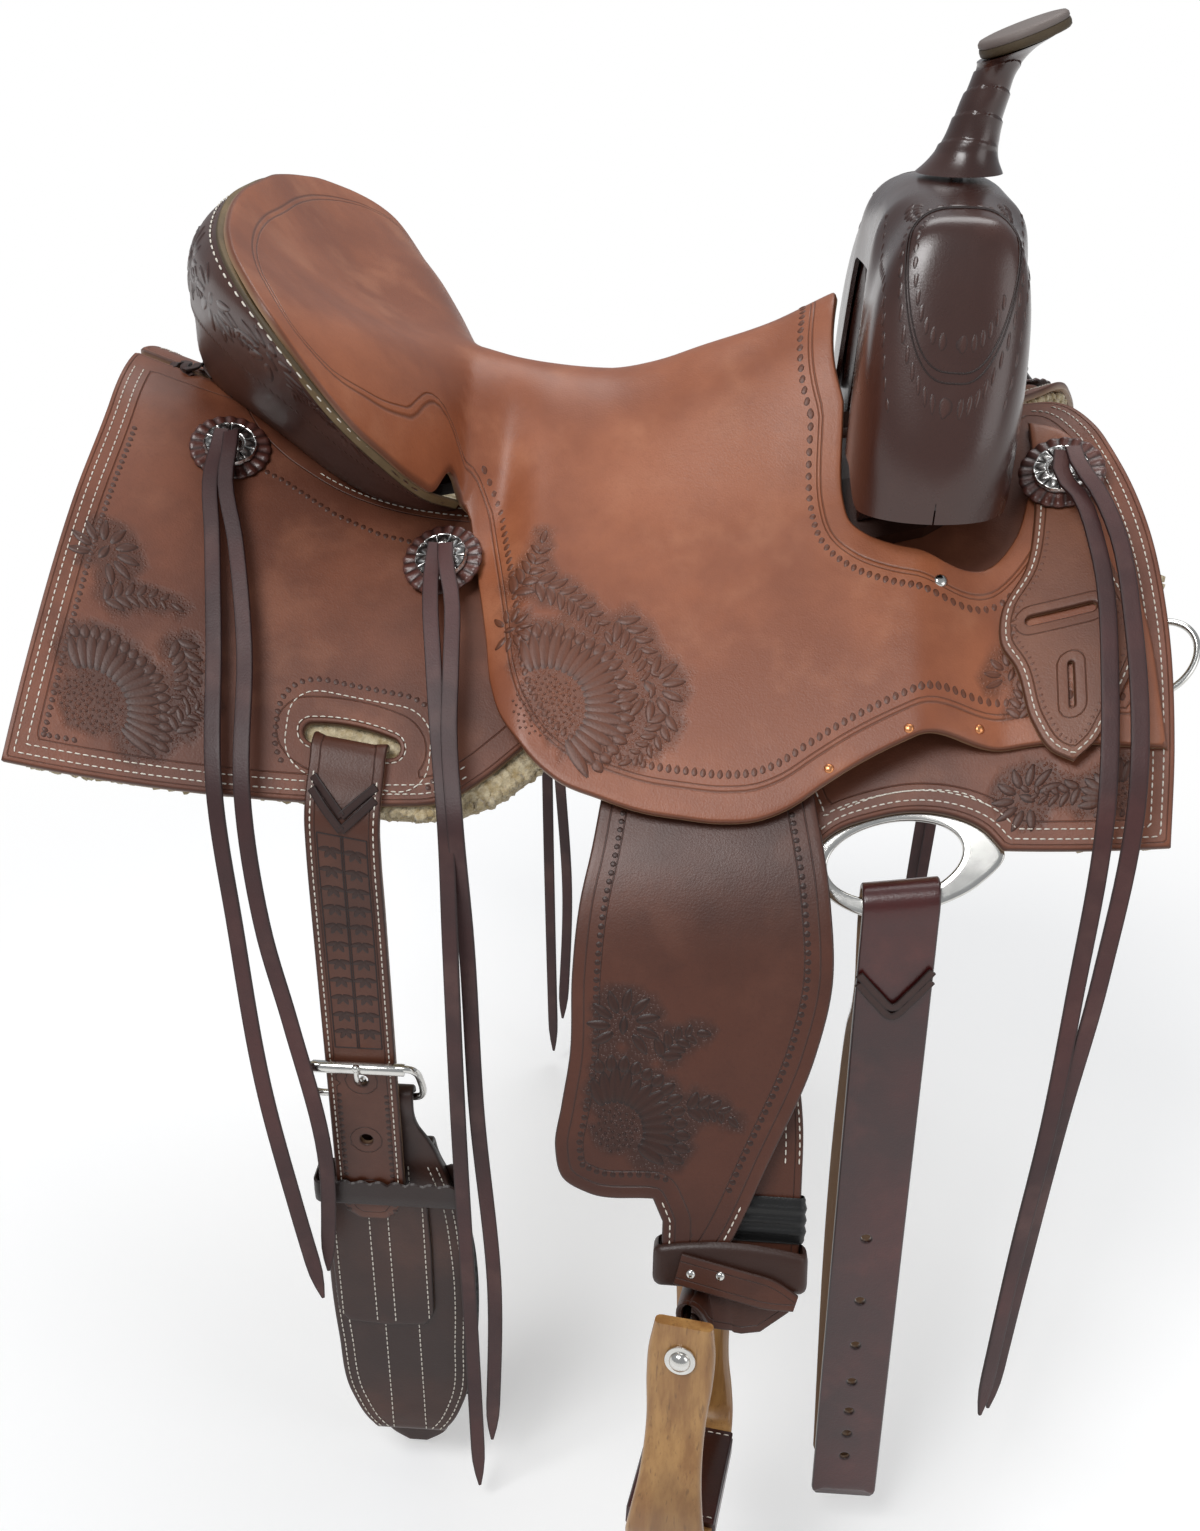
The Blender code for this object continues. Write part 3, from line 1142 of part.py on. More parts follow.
# Each string: its concho, the offset at the concho, points down the back, then hanging points (x, y, z)
STRINGS = {
    "rear": (CONCHO_REAR, [((-0.246, 0.090), (-0.237, 0.137), (-0.225, 0.205), (-0.213, 0.290)),
                           ((-0.236, 0.092), (-0.222, 0.137), (-0.206, 0.205), (-0.196, 0.290))],
             [[(-0.205, -0.272, -0.20), (-0.198, -0.276, -0.314), (-0.186, -0.276, -0.41), (-0.174, -0.276, -0.491)],
              [(-0.189, -0.270, -0.20), (-0.179, -0.268, -0.27), (-0.166, -0.266, -0.377), (-0.172, -0.264, -0.478)]]),
    "mid": (CONCHO_MID, [((-0.101, 0.142), (-0.094, 0.190), (-0.087, 0.233), (-0.078, 0.285)),
                         ((-0.088, 0.142), (-0.083, 0.190), (-0.080, 0.233), (-0.072, 0.285))],
            [[(-0.077, -0.265, -0.203), (-0.078, -0.263, -0.338), (-0.077, -0.2593, -0.542), (-0.076, -0.261, -0.684)],
             [(-0.069, -0.256, -0.208), (-0.067, -0.257, -0.338), (-0.060, -0.257, -0.495), (-0.066, -0.257, -0.640)]]),
    "front": (CONCHO_FRONT, [((0.286, 0.112), (0.294, 0.150), (0.296, 0.234), (0.293, 0.290)),
                             ((0.294, 0.110), (0.303, 0.140), (0.309, 0.201), (0.308, 0.290))],
              [[(0.287, -0.284, -0.22), (0.283, -0.290, -0.30), (0.276, -0.290, -0.40), (0.268, -0.290, -0.547)],
               [(0.300, -0.284, -0.20), (0.291, -0.284, -0.30), (0.283, -0.282, -0.42), (0.275, -0.280, -0.551)]]),
}


def string_points(word):
    """One thong through the concho: up the first end, over the concho, down the second."""
    place, on_skin, hanging = STRINGS[word]
    lift = {"rear": 0.0305, "mid": 0.0370, "front": 0.0465}[word]
    ends = []
    for number in (0, 1):
        down = [on_back(x, s, lift + 0.0032 * number) for x, s in on_skin[number]]
        down += [Vector(p) for p in hanging[number]]
        ends.append(down)
    top_s = place[1]
    first = [on_back(place[0] - 0.004, top_s + 0.010, lift - 0.001),
             on_back(place[0] - 0.003, top_s - 0.004, lift + 0.0012)]
    over = [on_back(place[0] + 0.003, top_s - 0.004, lift + 0.0022),
            on_back(place[0] + 0.005, top_s + 0.010, lift + 0.0040)]
    return list(reversed(ends[0])), list(reversed(first)), over, ends[1]


def build_string(word, side_word, side):
    first, rise, over, second = string_points(word)
    route = smooth_path(first + rise, 20)[:-1] + smooth_path(over + second, 20)
    stations = []
    for i, point in enumerate(route):
        before, after = route[max(0, i - 1)], route[min(len(route) - 1, i + 1)]
        along = (after - before).normalized()
        across = Vector((1, 0, 0))
        if abs(along.x) > 0.7:
            across = Vector((0, -0.5, 0.85)).cross(along)
        normal = along.cross(across).normalized()
        across = normal.cross(along).normalized()
        stations.append((mirrored(point, side), mirrored(across, side), mirrored(normal, side),
                         STRING_WIDTH * 0.8, STRING_THICKNESS))
    strap("string_%s_%s" % (word, side_word), stations, BURGUNDY)


for side_word, side_sign in SIDES:
    build_skirts(side_word, side_sign)
    build_rigging(side_word, side_sign)
    build_dee(side_word, side_sign)
    build_fender(side_word, side_sign)
    build_stirrup_leather(side_word, side_sign)
    build_hobble(side_word, side_sign)
    build_stirrup(side_word, side_sign)
    build_keeper(side_word, side_sign)
    build_trim(side_word, side_sign)
    for string_word in STRINGS:
        build_string(string_word, side_word, side_sign)
build_fork()
build_swell_cover()
build_horn()
build_cantle()
build_seat()
build_front_billet("off_billet", -1, BURGUNDY)
build_flank_billet("off", -1, -0.440)
build_buckle()
build_tongue()
build_flank_cinch()


# Pivots of the moving pieces

def set_pivot(name, where, nodes):
    """An empty on a joint's axis, with the pieces that move about it parented to it."""
    empty = bpy.data.objects.new(name, None)
    empty.location = where
    empty.empty_display_size = 0.02
    bpy.context.scene.collection.objects.link(empty)
    for node in nodes:
        child = bpy.data.objects[node]
        child.parent = empty
        child.matrix_parent_inverse = Matrix.Translation(-Vector(where))
    return empty


for side_word, side_sign in SIDES:
    hip = set_pivot("fender_pivot_" + side_word, on_back(PIVOT_X, PIVOT_S, PIVOT_OFFSET, side_sign),
                    [piece + side_word for piece in ("fender_", "stirrup_leather_", "hobble_strap_")])
    sleeve = set_pivot("leather_buckle_pivot_" + side_word,
                       hang_point(leather_x(SLEEVE[0]), SLEEVE[0], 0.0, side_sign), ["leather_buckle_" + side_word])
    bolt = set_pivot("stirrup_pivot_" + side_word, mirrored(BOLT_CENTRE, side_sign),
                     [piece + side_word for piece in ("stirrup_", "tread_cover_", "stirrup_bolt_")])
    for inner_pivot in (sleeve, bolt):
        inner_pivot.parent = hip
        inner_pivot.matrix_parent_inverse = Matrix.Translation(-hip.location)
BILLET_PIVOT = on_back(BILLET_X, RIM_S, (PLATE[0] + PLATE[1]) / 2)
FLANK_PIVOT = on_back(FLANK_X, *FLANK_HINGE)
ROLLER_PIVOT = Vector((FLANK_X, flank_plumb_y(-1) - 0.0078, BUCKLE_Z))
set_pivot("off_billet_pivot", BILLET_PIVOT, ["off_billet"])
flank = set_pivot("flank_billet_pivot", FLANK_PIVOT,
                  ["flank_billet_off", "buckle_frame", "buckle_tongue", "flank_cinch", "cinch_keeper"])
roller_pivot = set_pivot("buckle_roller_pivot", ROLLER_PIVOT, ["buckle_roller"])
roller_pivot.parent = flank
roller_pivot.matrix_parent_inverse = Matrix.Translation(-flank.location)
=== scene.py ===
import math

import bmesh
import bpy
import numpy as np
from mathutils import Matrix, Vector
from mathutils.geometry import delaunay_2d_cdt


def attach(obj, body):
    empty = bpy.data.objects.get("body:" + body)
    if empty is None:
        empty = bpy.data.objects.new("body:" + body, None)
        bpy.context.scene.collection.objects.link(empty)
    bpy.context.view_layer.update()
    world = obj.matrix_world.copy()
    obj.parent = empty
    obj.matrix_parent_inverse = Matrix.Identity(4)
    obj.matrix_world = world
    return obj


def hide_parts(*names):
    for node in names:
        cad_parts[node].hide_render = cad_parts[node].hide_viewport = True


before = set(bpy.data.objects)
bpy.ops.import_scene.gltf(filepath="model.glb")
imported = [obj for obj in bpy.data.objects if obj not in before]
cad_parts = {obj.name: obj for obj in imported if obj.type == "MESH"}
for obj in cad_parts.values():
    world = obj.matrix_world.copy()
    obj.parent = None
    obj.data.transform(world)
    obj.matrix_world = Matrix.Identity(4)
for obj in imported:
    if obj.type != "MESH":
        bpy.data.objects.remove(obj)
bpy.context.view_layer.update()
ROOT = "saddle"
SIDES = (("off", -1), ("near", 1))
rng = np.random.default_rng(7)

# Camera at the photograph's angle
AZ, EL = math.radians(4.5), math.radians(27.0)
EYE = Vector((0.0754, -1.0596, 0.3203))
LOOK = Vector((-math.sin(AZ) * math.cos(EL), math.cos(AZ) * math.cos(EL), -math.sin(EL)))
RIGHT = Vector((math.cos(AZ), math.sin(AZ), 0))
UP = Vector((-math.sin(AZ) * math.sin(EL), math.cos(AZ) * math.sin(EL), math.cos(EL)))
lens = bpy.data.cameras.new("camera")
lens.lens = 37.62
lens.sensor_width = 36
lens.clip_start = 0.02
camera = bpy.data.objects.new("camera", lens)
bpy.context.scene.collection.objects.link(camera)
turn = Matrix((RIGHT, UP, -LOOK)).transposed().to_4x4()
camera.matrix_world = Matrix.Translation(EYE) @ turn
bpy.context.scene.camera = camera
bpy.context.scene.view_settings.view_transform = "Standard"

# The same named values as the part
SKIRT_TOP = 0.0185
LEATHER = 0.0046
JOCKEY_LOW, JOCKEY_HIGH = 0.0198, 0.0405
PIVOT_X, PIVOT_S, PIVOT_OFFSET = 0.075, 0.11, 0.0286
HANG_TOP, HANG_LOW, HANG_SLOPE = 0.733, math.radians(68), 0.083
FENDER = (0.0042, 0.0084)
STIRRUP_LEATHER = (0.0002, 0.0036)
LEATHER_SHIFT, LEATHER_WIDTH = -0.0060, 0.064
BOLT = np.array([0.077, -0.359, -0.391])
BOLT_RADIUS = 0.0045
PLATE_CENTRE = (0.183, 0.301)
SLOT = (-0.170, -0.112, 0.2335, 0.2465)
CONCHOS = {"rear": (-0.242, 0.062), "mid": (-0.098, 0.114), "front": (0.281, 0.083)}
FLANK_X, BUCKLE_Z = -0.141, -0.310


# Surfaces, each taking arrays: x along the horse, s down the back, off outwards from it
def arrays(*values):
    """The values as arrays of one shape."""
    return np.broadcast_arrays(*(np.asarray(value, float) for value in values))


def full_turn(count):
    return np.linspace(0, 2 * np.pi, count, endpoint=False)


def smooth(value, start, end):
    """0 before the start, 1 after the end, and a smooth step between."""
    t = np.clip((np.asarray(value, float) - start) / (end - start), 0, 1)
    return t * t * (3 - 2 * t)


def top_line(x):
    return np.where(x < 0, 0.055, 0.050) * (x / 0.30) ** 2


def on_back(x, s, off, side=-1):
    x, s, off = arrays(x, s, off)
    bend = 0.55 + 0.106 * (x + 0.33)
    down = np.abs(s)
    a = np.where(down < 0.1 * bend, down / 0.1, bend + down - 0.1 * bend)
    ridge = down < 0.1 * bend
    y = np.where(ridge, 0.1 * np.sin(a), 0.1 * np.sin(bend) + np.sin(a) - np.sin(bend))
    z = np.where(ridge, -0.1 * (1 - np.cos(a)), -0.1 * (1 - np.cos(bend)) - np.cos(bend) + np.cos(a))
    return np.stack([x, side * (y + off * np.sin(a)), z + off * np.cos(a) + top_line(x)], -1)


def way_down(x, y, off, far, halvings):
    """The distance down the back at which its skin stands y from the middle."""
    low, high = np.zeros(x.shape), np.full(x.shape, far)
    for _ in range(halvings):
        middle = (low + high) / 2
        less = np.abs(on_back(x, middle, off)[..., 1]) < y
        low, high = np.where(less, middle, low), np.where(less, high, middle)
    return low


def back_z(x, y, off):
    x, y, off = arrays(x, np.abs(y), off)
    return on_back(x, way_down(x, y, off, 0.7, 26), off)[..., 2]


def cubic(table, x, column):
    if x <= table[0][0]:
        return table[0][column]
    for i in range(len(table) - 1):
        x0, x1 = table[i][0], table[i + 1][0]
        if x <= x1:
            t = (x - x0) / (x1 - x0)
            y0, y1 = table[i][column], table[i + 1][column]
            slope = (y1 - y0) / (x1 - x0)
            first, last = table[max(0, i - 1)], table[min(len(table) - 1, i + 2)]
            m0 = slope if i == 0 else (y1 - first[column]) / (x1 - first[0])
            m1 = slope if last is table[i + 1] else (last[column] - y0) / (last[0] - x0)
            m0 = 0.0 if slope * m0 <= 0 else math.copysign(min(abs(m0), 3 * abs(slope)), slope)
            m1 = 0.0 if slope * m1 <= 0 else math.copysign(min(abs(m1), 3 * abs(slope)), slope)
            w = x1 - x0
            return (y0 * (2 * t ** 3 - 3 * t ** 2 + 1) + m0 * w * (t ** 3 - 2 * t ** 2 + t)
                    + y1 * (-2 * t ** 3 + 3 * t ** 2) + m1 * w * (t ** 3 - t ** 2))
    return table[-1][column]


def back_skin(side):
    """The back's own skin on one side, as x and distance down."""
    def surface(u, v, off):
        return on_back(u, v, off, side)
    return surface


SEAT_STATIONS = [(-0.226, 0.190, 0.190, 0.186, 0.0), (-0.2165, 0.177, 0.185, 0.181, 0.0),
                 (-0.203, 0.160, 0.183, 0.170, 0.05), (-0.189, 0.145, 0.182, 0.156, 0.0),
                 (-0.170, 0.127, 0.181, 0.134, -0.2), (-0.142, 0.108, 0.177, 0.090, -0.8),
                 (-0.119, 0.097, 0.154, 0.054, -1.1), (-0.102, 0.090, 0.124, 0.026, -1.3),
                 (-0.0885, 0.086, 0.090, 0.0035, -1.5)]
CENTRE_LINE = [(-0.0885, 0.086), (-0.060, 0.079), (-0.030, 0.0745), (0.0, 0.073), (0.030, 0.079),
               (0.058, 0.089), (0.103, 0.105), (0.143, 0.125), (0.160, 0.130), (0.40, 0.130)]
SHOULDER = [(-0.0885, 0.090), (-0.070, 0.095), (-0.040, 0.108), (0.0, 0.116), (0.070, 0.118),
            (0.110, 0.112), (0.143, 0.106), (0.20, 0.100), (0.25, 0.045), (0.40, 0.040)]
RIM = [(0.0, -0.226, 0.195), (0.045, -0.2255, 0.192), (0.085, -0.221, 0.184), (0.120, -0.2125, 0.1745),
       (0.152, -0.198, 0.162), (0.181, -0.170, 0.134), (0.177, -0.142, 0.090), (0.154, -0.119, 0.054),
       (0.124, -0.102, 0.026), (0.088, -0.0885, 0.0010)]
BAND_FOOT = [(-0.272, 0.0), (-0.268, 0.008), (-0.255, 0.018), (-0.235, 0.029), (-0.212, 0.041),
             (-0.180, 0.058), (-0.152, 0.070), (-0.128, 0.074), (-0.110, 0.073), (-0.0970, 0.068)]
BAND_BULGE = [0.052, 0.050, 0.045, 0.038, 0.030, 0.016, 0.012, 0.010, 0.007, 0.004]


def jockey_offset(x):
    over = smooth(x, -0.082, -0.034) * (1 - smooth(x, 0.190, 0.245))
    return LEATHER + JOCKEY_LOW + (JOCKEY_HIGH - JOCKEY_LOW) * over


SEAT_X = np.linspace(-0.234, 0.400, 635)
rear = SEAT_X < -0.0885
centre_z = np.where(rear, [cubic(SEAT_STATIONS, x, 1) for x in SEAT_X],
                    [cubic(CENTRE_LINE, x, 1) for x in SEAT_X])
shoulder_y = np.where(rear, [cubic(SEAT_STATIONS, x, 2) for x in SEAT_X],
                      [cubic(SHOULDER, x, 1) for x in SEAT_X])
side_z = back_z(SEAT_X, shoulder_y, jockey_offset(SEAT_X))
side_slope = (back_z(SEAT_X, shoulder_y + 0.004, jockey_offset(SEAT_X)) - side_z) / 0.004
mixed = smooth(SEAT_X, -0.0885, -0.060)
shoulder_z = np.where(rear, [cubic(SEAT_STATIONS, x, 3) for x in SEAT_X], 0.0035 + (side_z - 0.0035) * mixed)
shoulder_slope = np.where(rear, [cubic(SEAT_STATIONS, x, 4) for x in SEAT_X],
                          -1.5 + (side_slope + 1.5) * mixed)


def seat_height(x, y):
    y = np.abs(y)
    centre, shoulder = np.interp(x, SEAT_X, centre_z), np.interp(x, SEAT_X, shoulder_y)
    height, slope = np.interp(x, SEAT_X, shoulder_z), np.interp(x, SEAT_X, shoulder_slope)
    t = np.minimum(1.15, y / shoulder)
    inner = (centre * (2 * t ** 3 - 3 * t ** 2 + 1) + height * (-2 * t ** 3 + 3 * t ** 2)
             + slope * shoulder * (t ** 3 - t ** 2))
    off = jockey_offset(x)
    fade = np.maximum(0, 1 - (y - shoulder) / 0.03)
    outer = back_z(x, y, off) + (height - back_z(x, shoulder, off)) * fade
    return np.where((x >= -0.0885) & (y >= shoulder), outer, inner)


def seat_point(x, y, depth):
    x, y, depth = arrays(x, y, depth)
    here = seat_height(x, y)
    step = 0.002
    rise_x = (seat_height(x + step, y) - seat_height(x - step, y)) / (2 * step)
    rise_x = np.where(x < RIM[0][1] + 0.006, (seat_height(x + 0.006, y) - here) / 0.006, rise_x)
    rise_y = (seat_height(x, y + step) - seat_height(x, y - step)) / (2 * step)
    normal = np.stack([-rise_x, -rise_y, np.ones(x.shape)], -1)
    normal /= np.linalg.norm(normal, axis=-1, keepdims=True)
    return np.stack([x, y, here], -1) - normal * depth[..., None]


# The plane in which fender and stirrup leather hang, t down along it
HANG_T = np.linspace(0, 0.47, 471)
hang_turn = HANG_TOP + (HANG_LOW - HANG_TOP) * smooth(HANG_T, 0.165, 0.265)
hang_start = on_back(PIVOT_X, PIVOT_S, PIVOT_OFFSET)
step_t = HANG_T[1]
mid_turn = HANG_TOP + (HANG_LOW - HANG_TOP) * smooth(HANG_T[:-1] + step_t / 2, 0.165, 0.265)
hang_y = hang_start[1] - np.concatenate([[0], np.cumsum(np.cos(mid_turn))]) * step_t
hang_z = hang_start[2] - np.concatenate([[0], np.cumsum(np.sin(mid_turn))]) * step_t


def hang_point(x, t, rise, side=-1):
    x, t, rise = arrays(x, t, rise)
    angle = np.interp(t, HANG_T, hang_turn)
    lean = HANG_SLOPE * np.cos(angle) * (x - PIVOT_X)
    y = np.interp(t, HANG_T, hang_y) - rise * np.sin(angle) - lean * np.sin(angle)
    z = np.interp(t, HANG_T, hang_z) + rise * np.cos(angle) + lean * np.cos(angle)
    return np.stack([x, -side * y, z], -1)


def leather_x(t):
    return PIVOT_X + 0.029 * smooth(t, 0.19, 0.36)


def leather_rise(t):
    return LEATHER_SHIFT * smooth(t, 0.22, 0.32)


def unit(v):
    return v / np.maximum(1e-12, np.linalg.norm(v, axis=-1, keepdims=True))


# Curves, outlines and flat patterns
def distances(points):
    """How far along the line each point lies."""
    return np.concatenate([[0], np.cumsum(np.linalg.norm(np.diff(points, axis=0), axis=1))])


def tangents(p0, p1, p2, p3):
    """Tangents at the two middle points of four, and the distance between those two."""
    d0, d1, d2 = (max(1e-9, np.linalg.norm((b - a)[:3])) for a, b in ((p0, p1), (p1, p2), (p2, p3)))
    m1 = ((p1 - p0) / d0 * d1 + (p2 - p1) / d1 * d0) / (d0 + d1) * d1
    m2 = ((p2 - p1) / d1 * d2 + (p3 - p2) / d2 * d1) / (d1 + d2) * d1
    return m1, m2, d1


def hermite(p1, p2, m1, m2, t):
    return (p1 * (2 * t ** 3 - 3 * t ** 2 + 1) + m1 * (t ** 3 - 2 * t ** 2 + t)
            + p2 * (-2 * t ** 3 + 3 * t ** 2) + m2 * (t ** 3 - t ** 2))


def spline(points, count, closed=False):
    """Even points on a smooth curve through the given ones, of any number of columns."""
    p = np.asarray(points, float)
    n = len(p)
    last = n if closed else n - 1
    dense = []
    for i in range(last):
        p1, p2 = p[i], p[(i + 1) % n]
        p0 = p[i - 1] if (i > 0 or closed) else p1 * 2 - p2
        p3 = p[(i + 2) % n] if (i + 2 < n or closed) else p2 * 2 - p1
        m1, m2, _ = tangents(p0, p1, p2, p3)
        dense.append(hermite(p1, p2, m1, m2, np.linspace(0, 1, 16, endpoint=False)[:, None]))
    dense = np.concatenate(dense + [p[:1] if closed else p[-1:]])
    reach = distances(dense[:, :3])
    wanted = np.linspace(0, reach[-1], count, endpoint=not closed)
    return np.stack([np.interp(wanted, reach, dense[:, k]) for k in range(p.shape[1])], -1)


def round_outline(points, sharp=(), step=0.003):
    """A closed outline as a smooth curve, with corners kept where listed in sharp."""
    p = np.asarray(points, float)
    n = len(p)
    out = []
    for i in range(n):
        p1, p2 = p[i], p[(i + 1) % n]
        p0, p3 = p[i - 1], p[(i + 2) % n]
        m1, m2, gap = tangents(p0, p1, p2, p3)
        if i in sharp:
            m1 = p2 - p1
        if (i + 1) % n in sharp:
            m2 = p2 - p1
        t = np.linspace(0, 1, max(1, math.ceil(gap / step)), endpoint=False)[:, None]
        out.append(hermite(p1, p2, m1, m2, t))
    out = np.concatenate(out)
    area = np.sum(out[:, 0] * np.roll(out[:, 1], -1) - np.roll(out[:, 0], -1) * out[:, 1])
    return out if area > 0 else out[::-1].copy()


def edge_distance(points, loops):
    """Distance to the nearest edge of the loops, and the place along it."""
    starts = np.concatenate(loops)
    ends = np.concatenate([np.roll(loop, -1, axis=0) for loop in loops])
    along0 = np.concatenate([np.concatenate([[0], np.cumsum(np.linalg.norm(
        np.roll(loop, -1, axis=0) - loop, axis=1))[:-1]]) for loop in loops])
    d = ends - starts
    size = np.maximum(1e-12, (d ** 2).sum(1))
    dist, along = np.empty(len(points)), np.empty(len(points))
    for k in range(0, len(points), 1500):
        q = points[k:k + 1500, None, :] - starts[None]
        t = np.clip((q * d).sum(2) / size, 0, 1)
        gap = np.linalg.norm(q - t[..., None] * d, axis=2)
        j = gap.argmin(1)
        rows = np.arange(len(j))
        dist[k:k + 1500] = gap[rows, j]
        along[k:k + 1500] = along0[j] + t[rows, j] * np.sqrt(size[j])
    return dist, along


def inside(points, loops):
    hit = np.zeros(len(points), int)
    for loop in loops:
        a, b = loop, np.roll(loop, -1, axis=0)
        for k in range(0, len(points), 4000):
            q = points[k:k + 4000]
            crosses = (a[None, :, 1] > q[:, None, 1]) != (b[None, :, 1] > q[:, None, 1])
            rise = np.where(np.abs(b[:, 1] - a[:, 1]) < 1e-12, 1e-12, b[:, 1] - a[:, 1])
            x = a[None, :, 0] + (q[:, None, 1] - a[None, :, 1]) / rise[None] * (b[None, :, 0] - a[None, :, 0])
            hit[k:k + 4000] += (crosses & (q[:, None, 0] < x)).sum(1)
    return hit % 2 == 1


def inset(loop, distance):
    """The loop moved inwards, without the knots that tight corners make."""
    tangent = np.roll(loop, -1, axis=0) - np.roll(loop, 1, axis=0)
    normal = unit(np.stack([-tangent[:, 1], tangent[:, 0]], -1))
    moved = loop + normal * distance
    dist, _ = edge_distance(moved, [loop])
    return moved[dist > abs(distance) * 0.96]


def fill(loops, spacing, offsets):
    """Triangles that fill the first loop less the others, with rings of points near the edges."""
    border = np.concatenate(loops)
    edges = []
    base = 0
    for loop in loops:
        n = len(loop)
        edges += [(base + i, base + (i + 1) % n) for i in range(n)]
        base += n
    extra = []
    for distance in offsets:
        for i, loop in enumerate(loops):
            moved = inset(loop, distance if i == 0 else -distance)
            dist, _ = edge_distance(moved, loops)
            extra.append(moved[(dist > distance * 0.96) & inside(moved, loops)])
    low, high = border.min(0), border.max(0)
    rows = []
    for j, v in enumerate(np.arange(low[1], high[1], spacing * 0.87)):
        u = np.arange(low[0], high[0], spacing) + (j % 2) * spacing / 2
        rows.append(np.stack([u, np.full(len(u), v)], -1))
    grid = np.concatenate(rows)
    grid = grid[inside(grid, loops)]
    dist, _ = edge_distance(grid, loops)
    grid = grid[dist > offsets[-1] + 0.6 * spacing]
    points = np.concatenate([border] + extra + [grid])
    result = delaunay_2d_cdt([Vector(p) for p in points], edges, [], 0, 1e-7)
    verts = np.array([tuple(v) for v in result[0]])
    faces = np.array(result[2])
    faces = faces[inside(verts[faces].mean(1), loops)]
    index = {}
    for i, origins in enumerate(result[3]):
        for origin in origins:
            index[origin] = i
    rims = []
    base = 0
    for loop in loops:
        rims.append([index[base + i] for i in range(len(loop))])
        base += len(loop)
    return verts, faces, rims


# Meshes and sheets
def make_mesh(name, verts, faces, material, values=None, flat=False):
    mesh = bpy.data.meshes.new(name)
    mesh.from_pydata(np.asarray(verts, float).reshape(-1, 3).tolist(), [], faces if isinstance(faces, list)
                     else faces.tolist())
    mesh.update()
    if not flat:
        mesh.shade_smooth()
    for key, data in (values or {}).items():
        layer = mesh.attributes.new(key, "FLOAT", "POINT")
        layer.data.foreach_set("value", np.asarray(data, np.float32).ravel())
    mesh.materials.append(material)
    made = bpy.data.objects.new(name, mesh)
    bpy.context.scene.collection.objects.link(made)
    return made


def creased(made, angle):
    """The piece with its faces turned outwards and edges bent more than the angle left sharp."""
    work = bmesh.new()
    work.from_mesh(made.data)
    bmesh.ops.recalc_face_normals(work, faces=work.faces)
    for crease in work.edges:
        if len(crease.link_faces) == 2 and crease.calc_face_angle(0) > angle:
            crease.smooth = False
    work.to_mesh(made.data)
    work.free()
    return made


def place(piece, body, *nodes, slot="light_leather"):
    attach(piece, body)
    if nodes:
        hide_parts(*nodes)
    return piece


def panel(name, loops, surface, low, high, material, spacing=0.005, edge=0.0014,
          offsets=(0.0006, 0.0014, 0.004), lift=None, values=None):
    """A leather sheet with rounded edges: surface(u, v, offset) lays the flat pattern in space."""
    verts, faces, rims = fill(loops, spacing, offsets)
    dist, along = edge_distance(verts, loops)
    u, v = verts[:, 0], verts[:, 1]
    drop = edge - np.sqrt(np.maximum(0, edge ** 2 - np.maximum(0, edge - dist) ** 2))
    raised = lift(u, v, dist) if lift else 0.0
    top = surface(u, v, high - drop + raised)
    bottom = surface(u, v, np.broadcast_to(low, u.shape))
    side = np.cross(top[faces[:, 1]] - top[faces[:, 0]], top[faces[:, 2]] - top[faces[:, 0]])
    if np.sum(side * (top - bottom)[faces[:, 0]]) < 0:
        faces = faces[:, ::-1]
    n = len(verts)
    quads = []
    for rim in rims:
        quads += [[rim[i], rim[(i + 1) % len(rim)], rim[(i + 1) % len(rim)] + n, rim[i] + n]
                  for i in range(len(rim))]
    every = faces.tolist() + (faces[:, ::-1] + n).tolist() + quads
    data = {"dist": np.concatenate([dist, dist]), "along": np.concatenate([along, along]),
            "flesh": np.concatenate([np.zeros(n), np.ones(n)])}
    for key, function in (values or {}).items():
        data[key] = np.tile(function(u, v, dist), 2)
    made = make_mesh(name, np.concatenate([top, bottom]), every, material, data)
    return creased(made, 1.0)


# Carved relief: strokes of (u, v, direction, length, half width, bend, height, flutes)
def carve(name, strokes, surface, off, material):
    rows, cols = 8, 5
    s = np.asarray(strokes, float)
    a = np.linspace(0, 1, rows)[None, :, None]
    b = np.linspace(-1, 1, cols)[None, None, :]
    u0, v0, way, length, width, bend, height, flutes = (s[:, k][:, None, None] for k in range(8))
    heading = way + bend * a * 0.5
    wide = width * np.sin(np.pi * np.clip(a, 0.02, 0.98) ** 0.85) ** 0.7 * b
    u = u0 + length * a * np.cos(heading) - wide * np.sin(way + bend * a)
    v = v0 + length * a * np.sin(heading) + wide * np.cos(way + bend * a)
    dome = (1 - b ** 2) ** 0.6 * np.sin(np.pi * np.clip(a, 0, 1)) ** 0.35
    vein = np.where(flutes > 0, 0.62 + 0.38 * np.cos(flutes * np.pi * b), 1 - 0.45 * np.exp(-(b / 0.22) ** 2))
    level = dome * vein * np.ones_like(u)
    points = surface(u, v, off - 0.00015 + height * level)
    count = len(s)
    i, r, c = np.meshgrid(np.arange(count), np.arange(rows - 1), np.arange(cols - 1), indexing="ij")
    k = (i * rows * cols + r * cols + c).ravel()
    faces = np.stack([k, k + 1, k + cols + 1, k + cols], -1)
    p = points.reshape(-1, 3)
    centre = surface(u, v, off + 0.01).reshape(-1, 3)
    normal = np.cross(p[faces[:, 1]] - p[faces[:, 0]], p[faces[:, 3]] - p[faces[:, 0]])
    if np.sum(normal * (centre - p)[faces[:, 0]]) < 0:
        faces = faces[:, ::-1]
    return make_mesh(name, p, faces, material, {"level": level.ravel()})


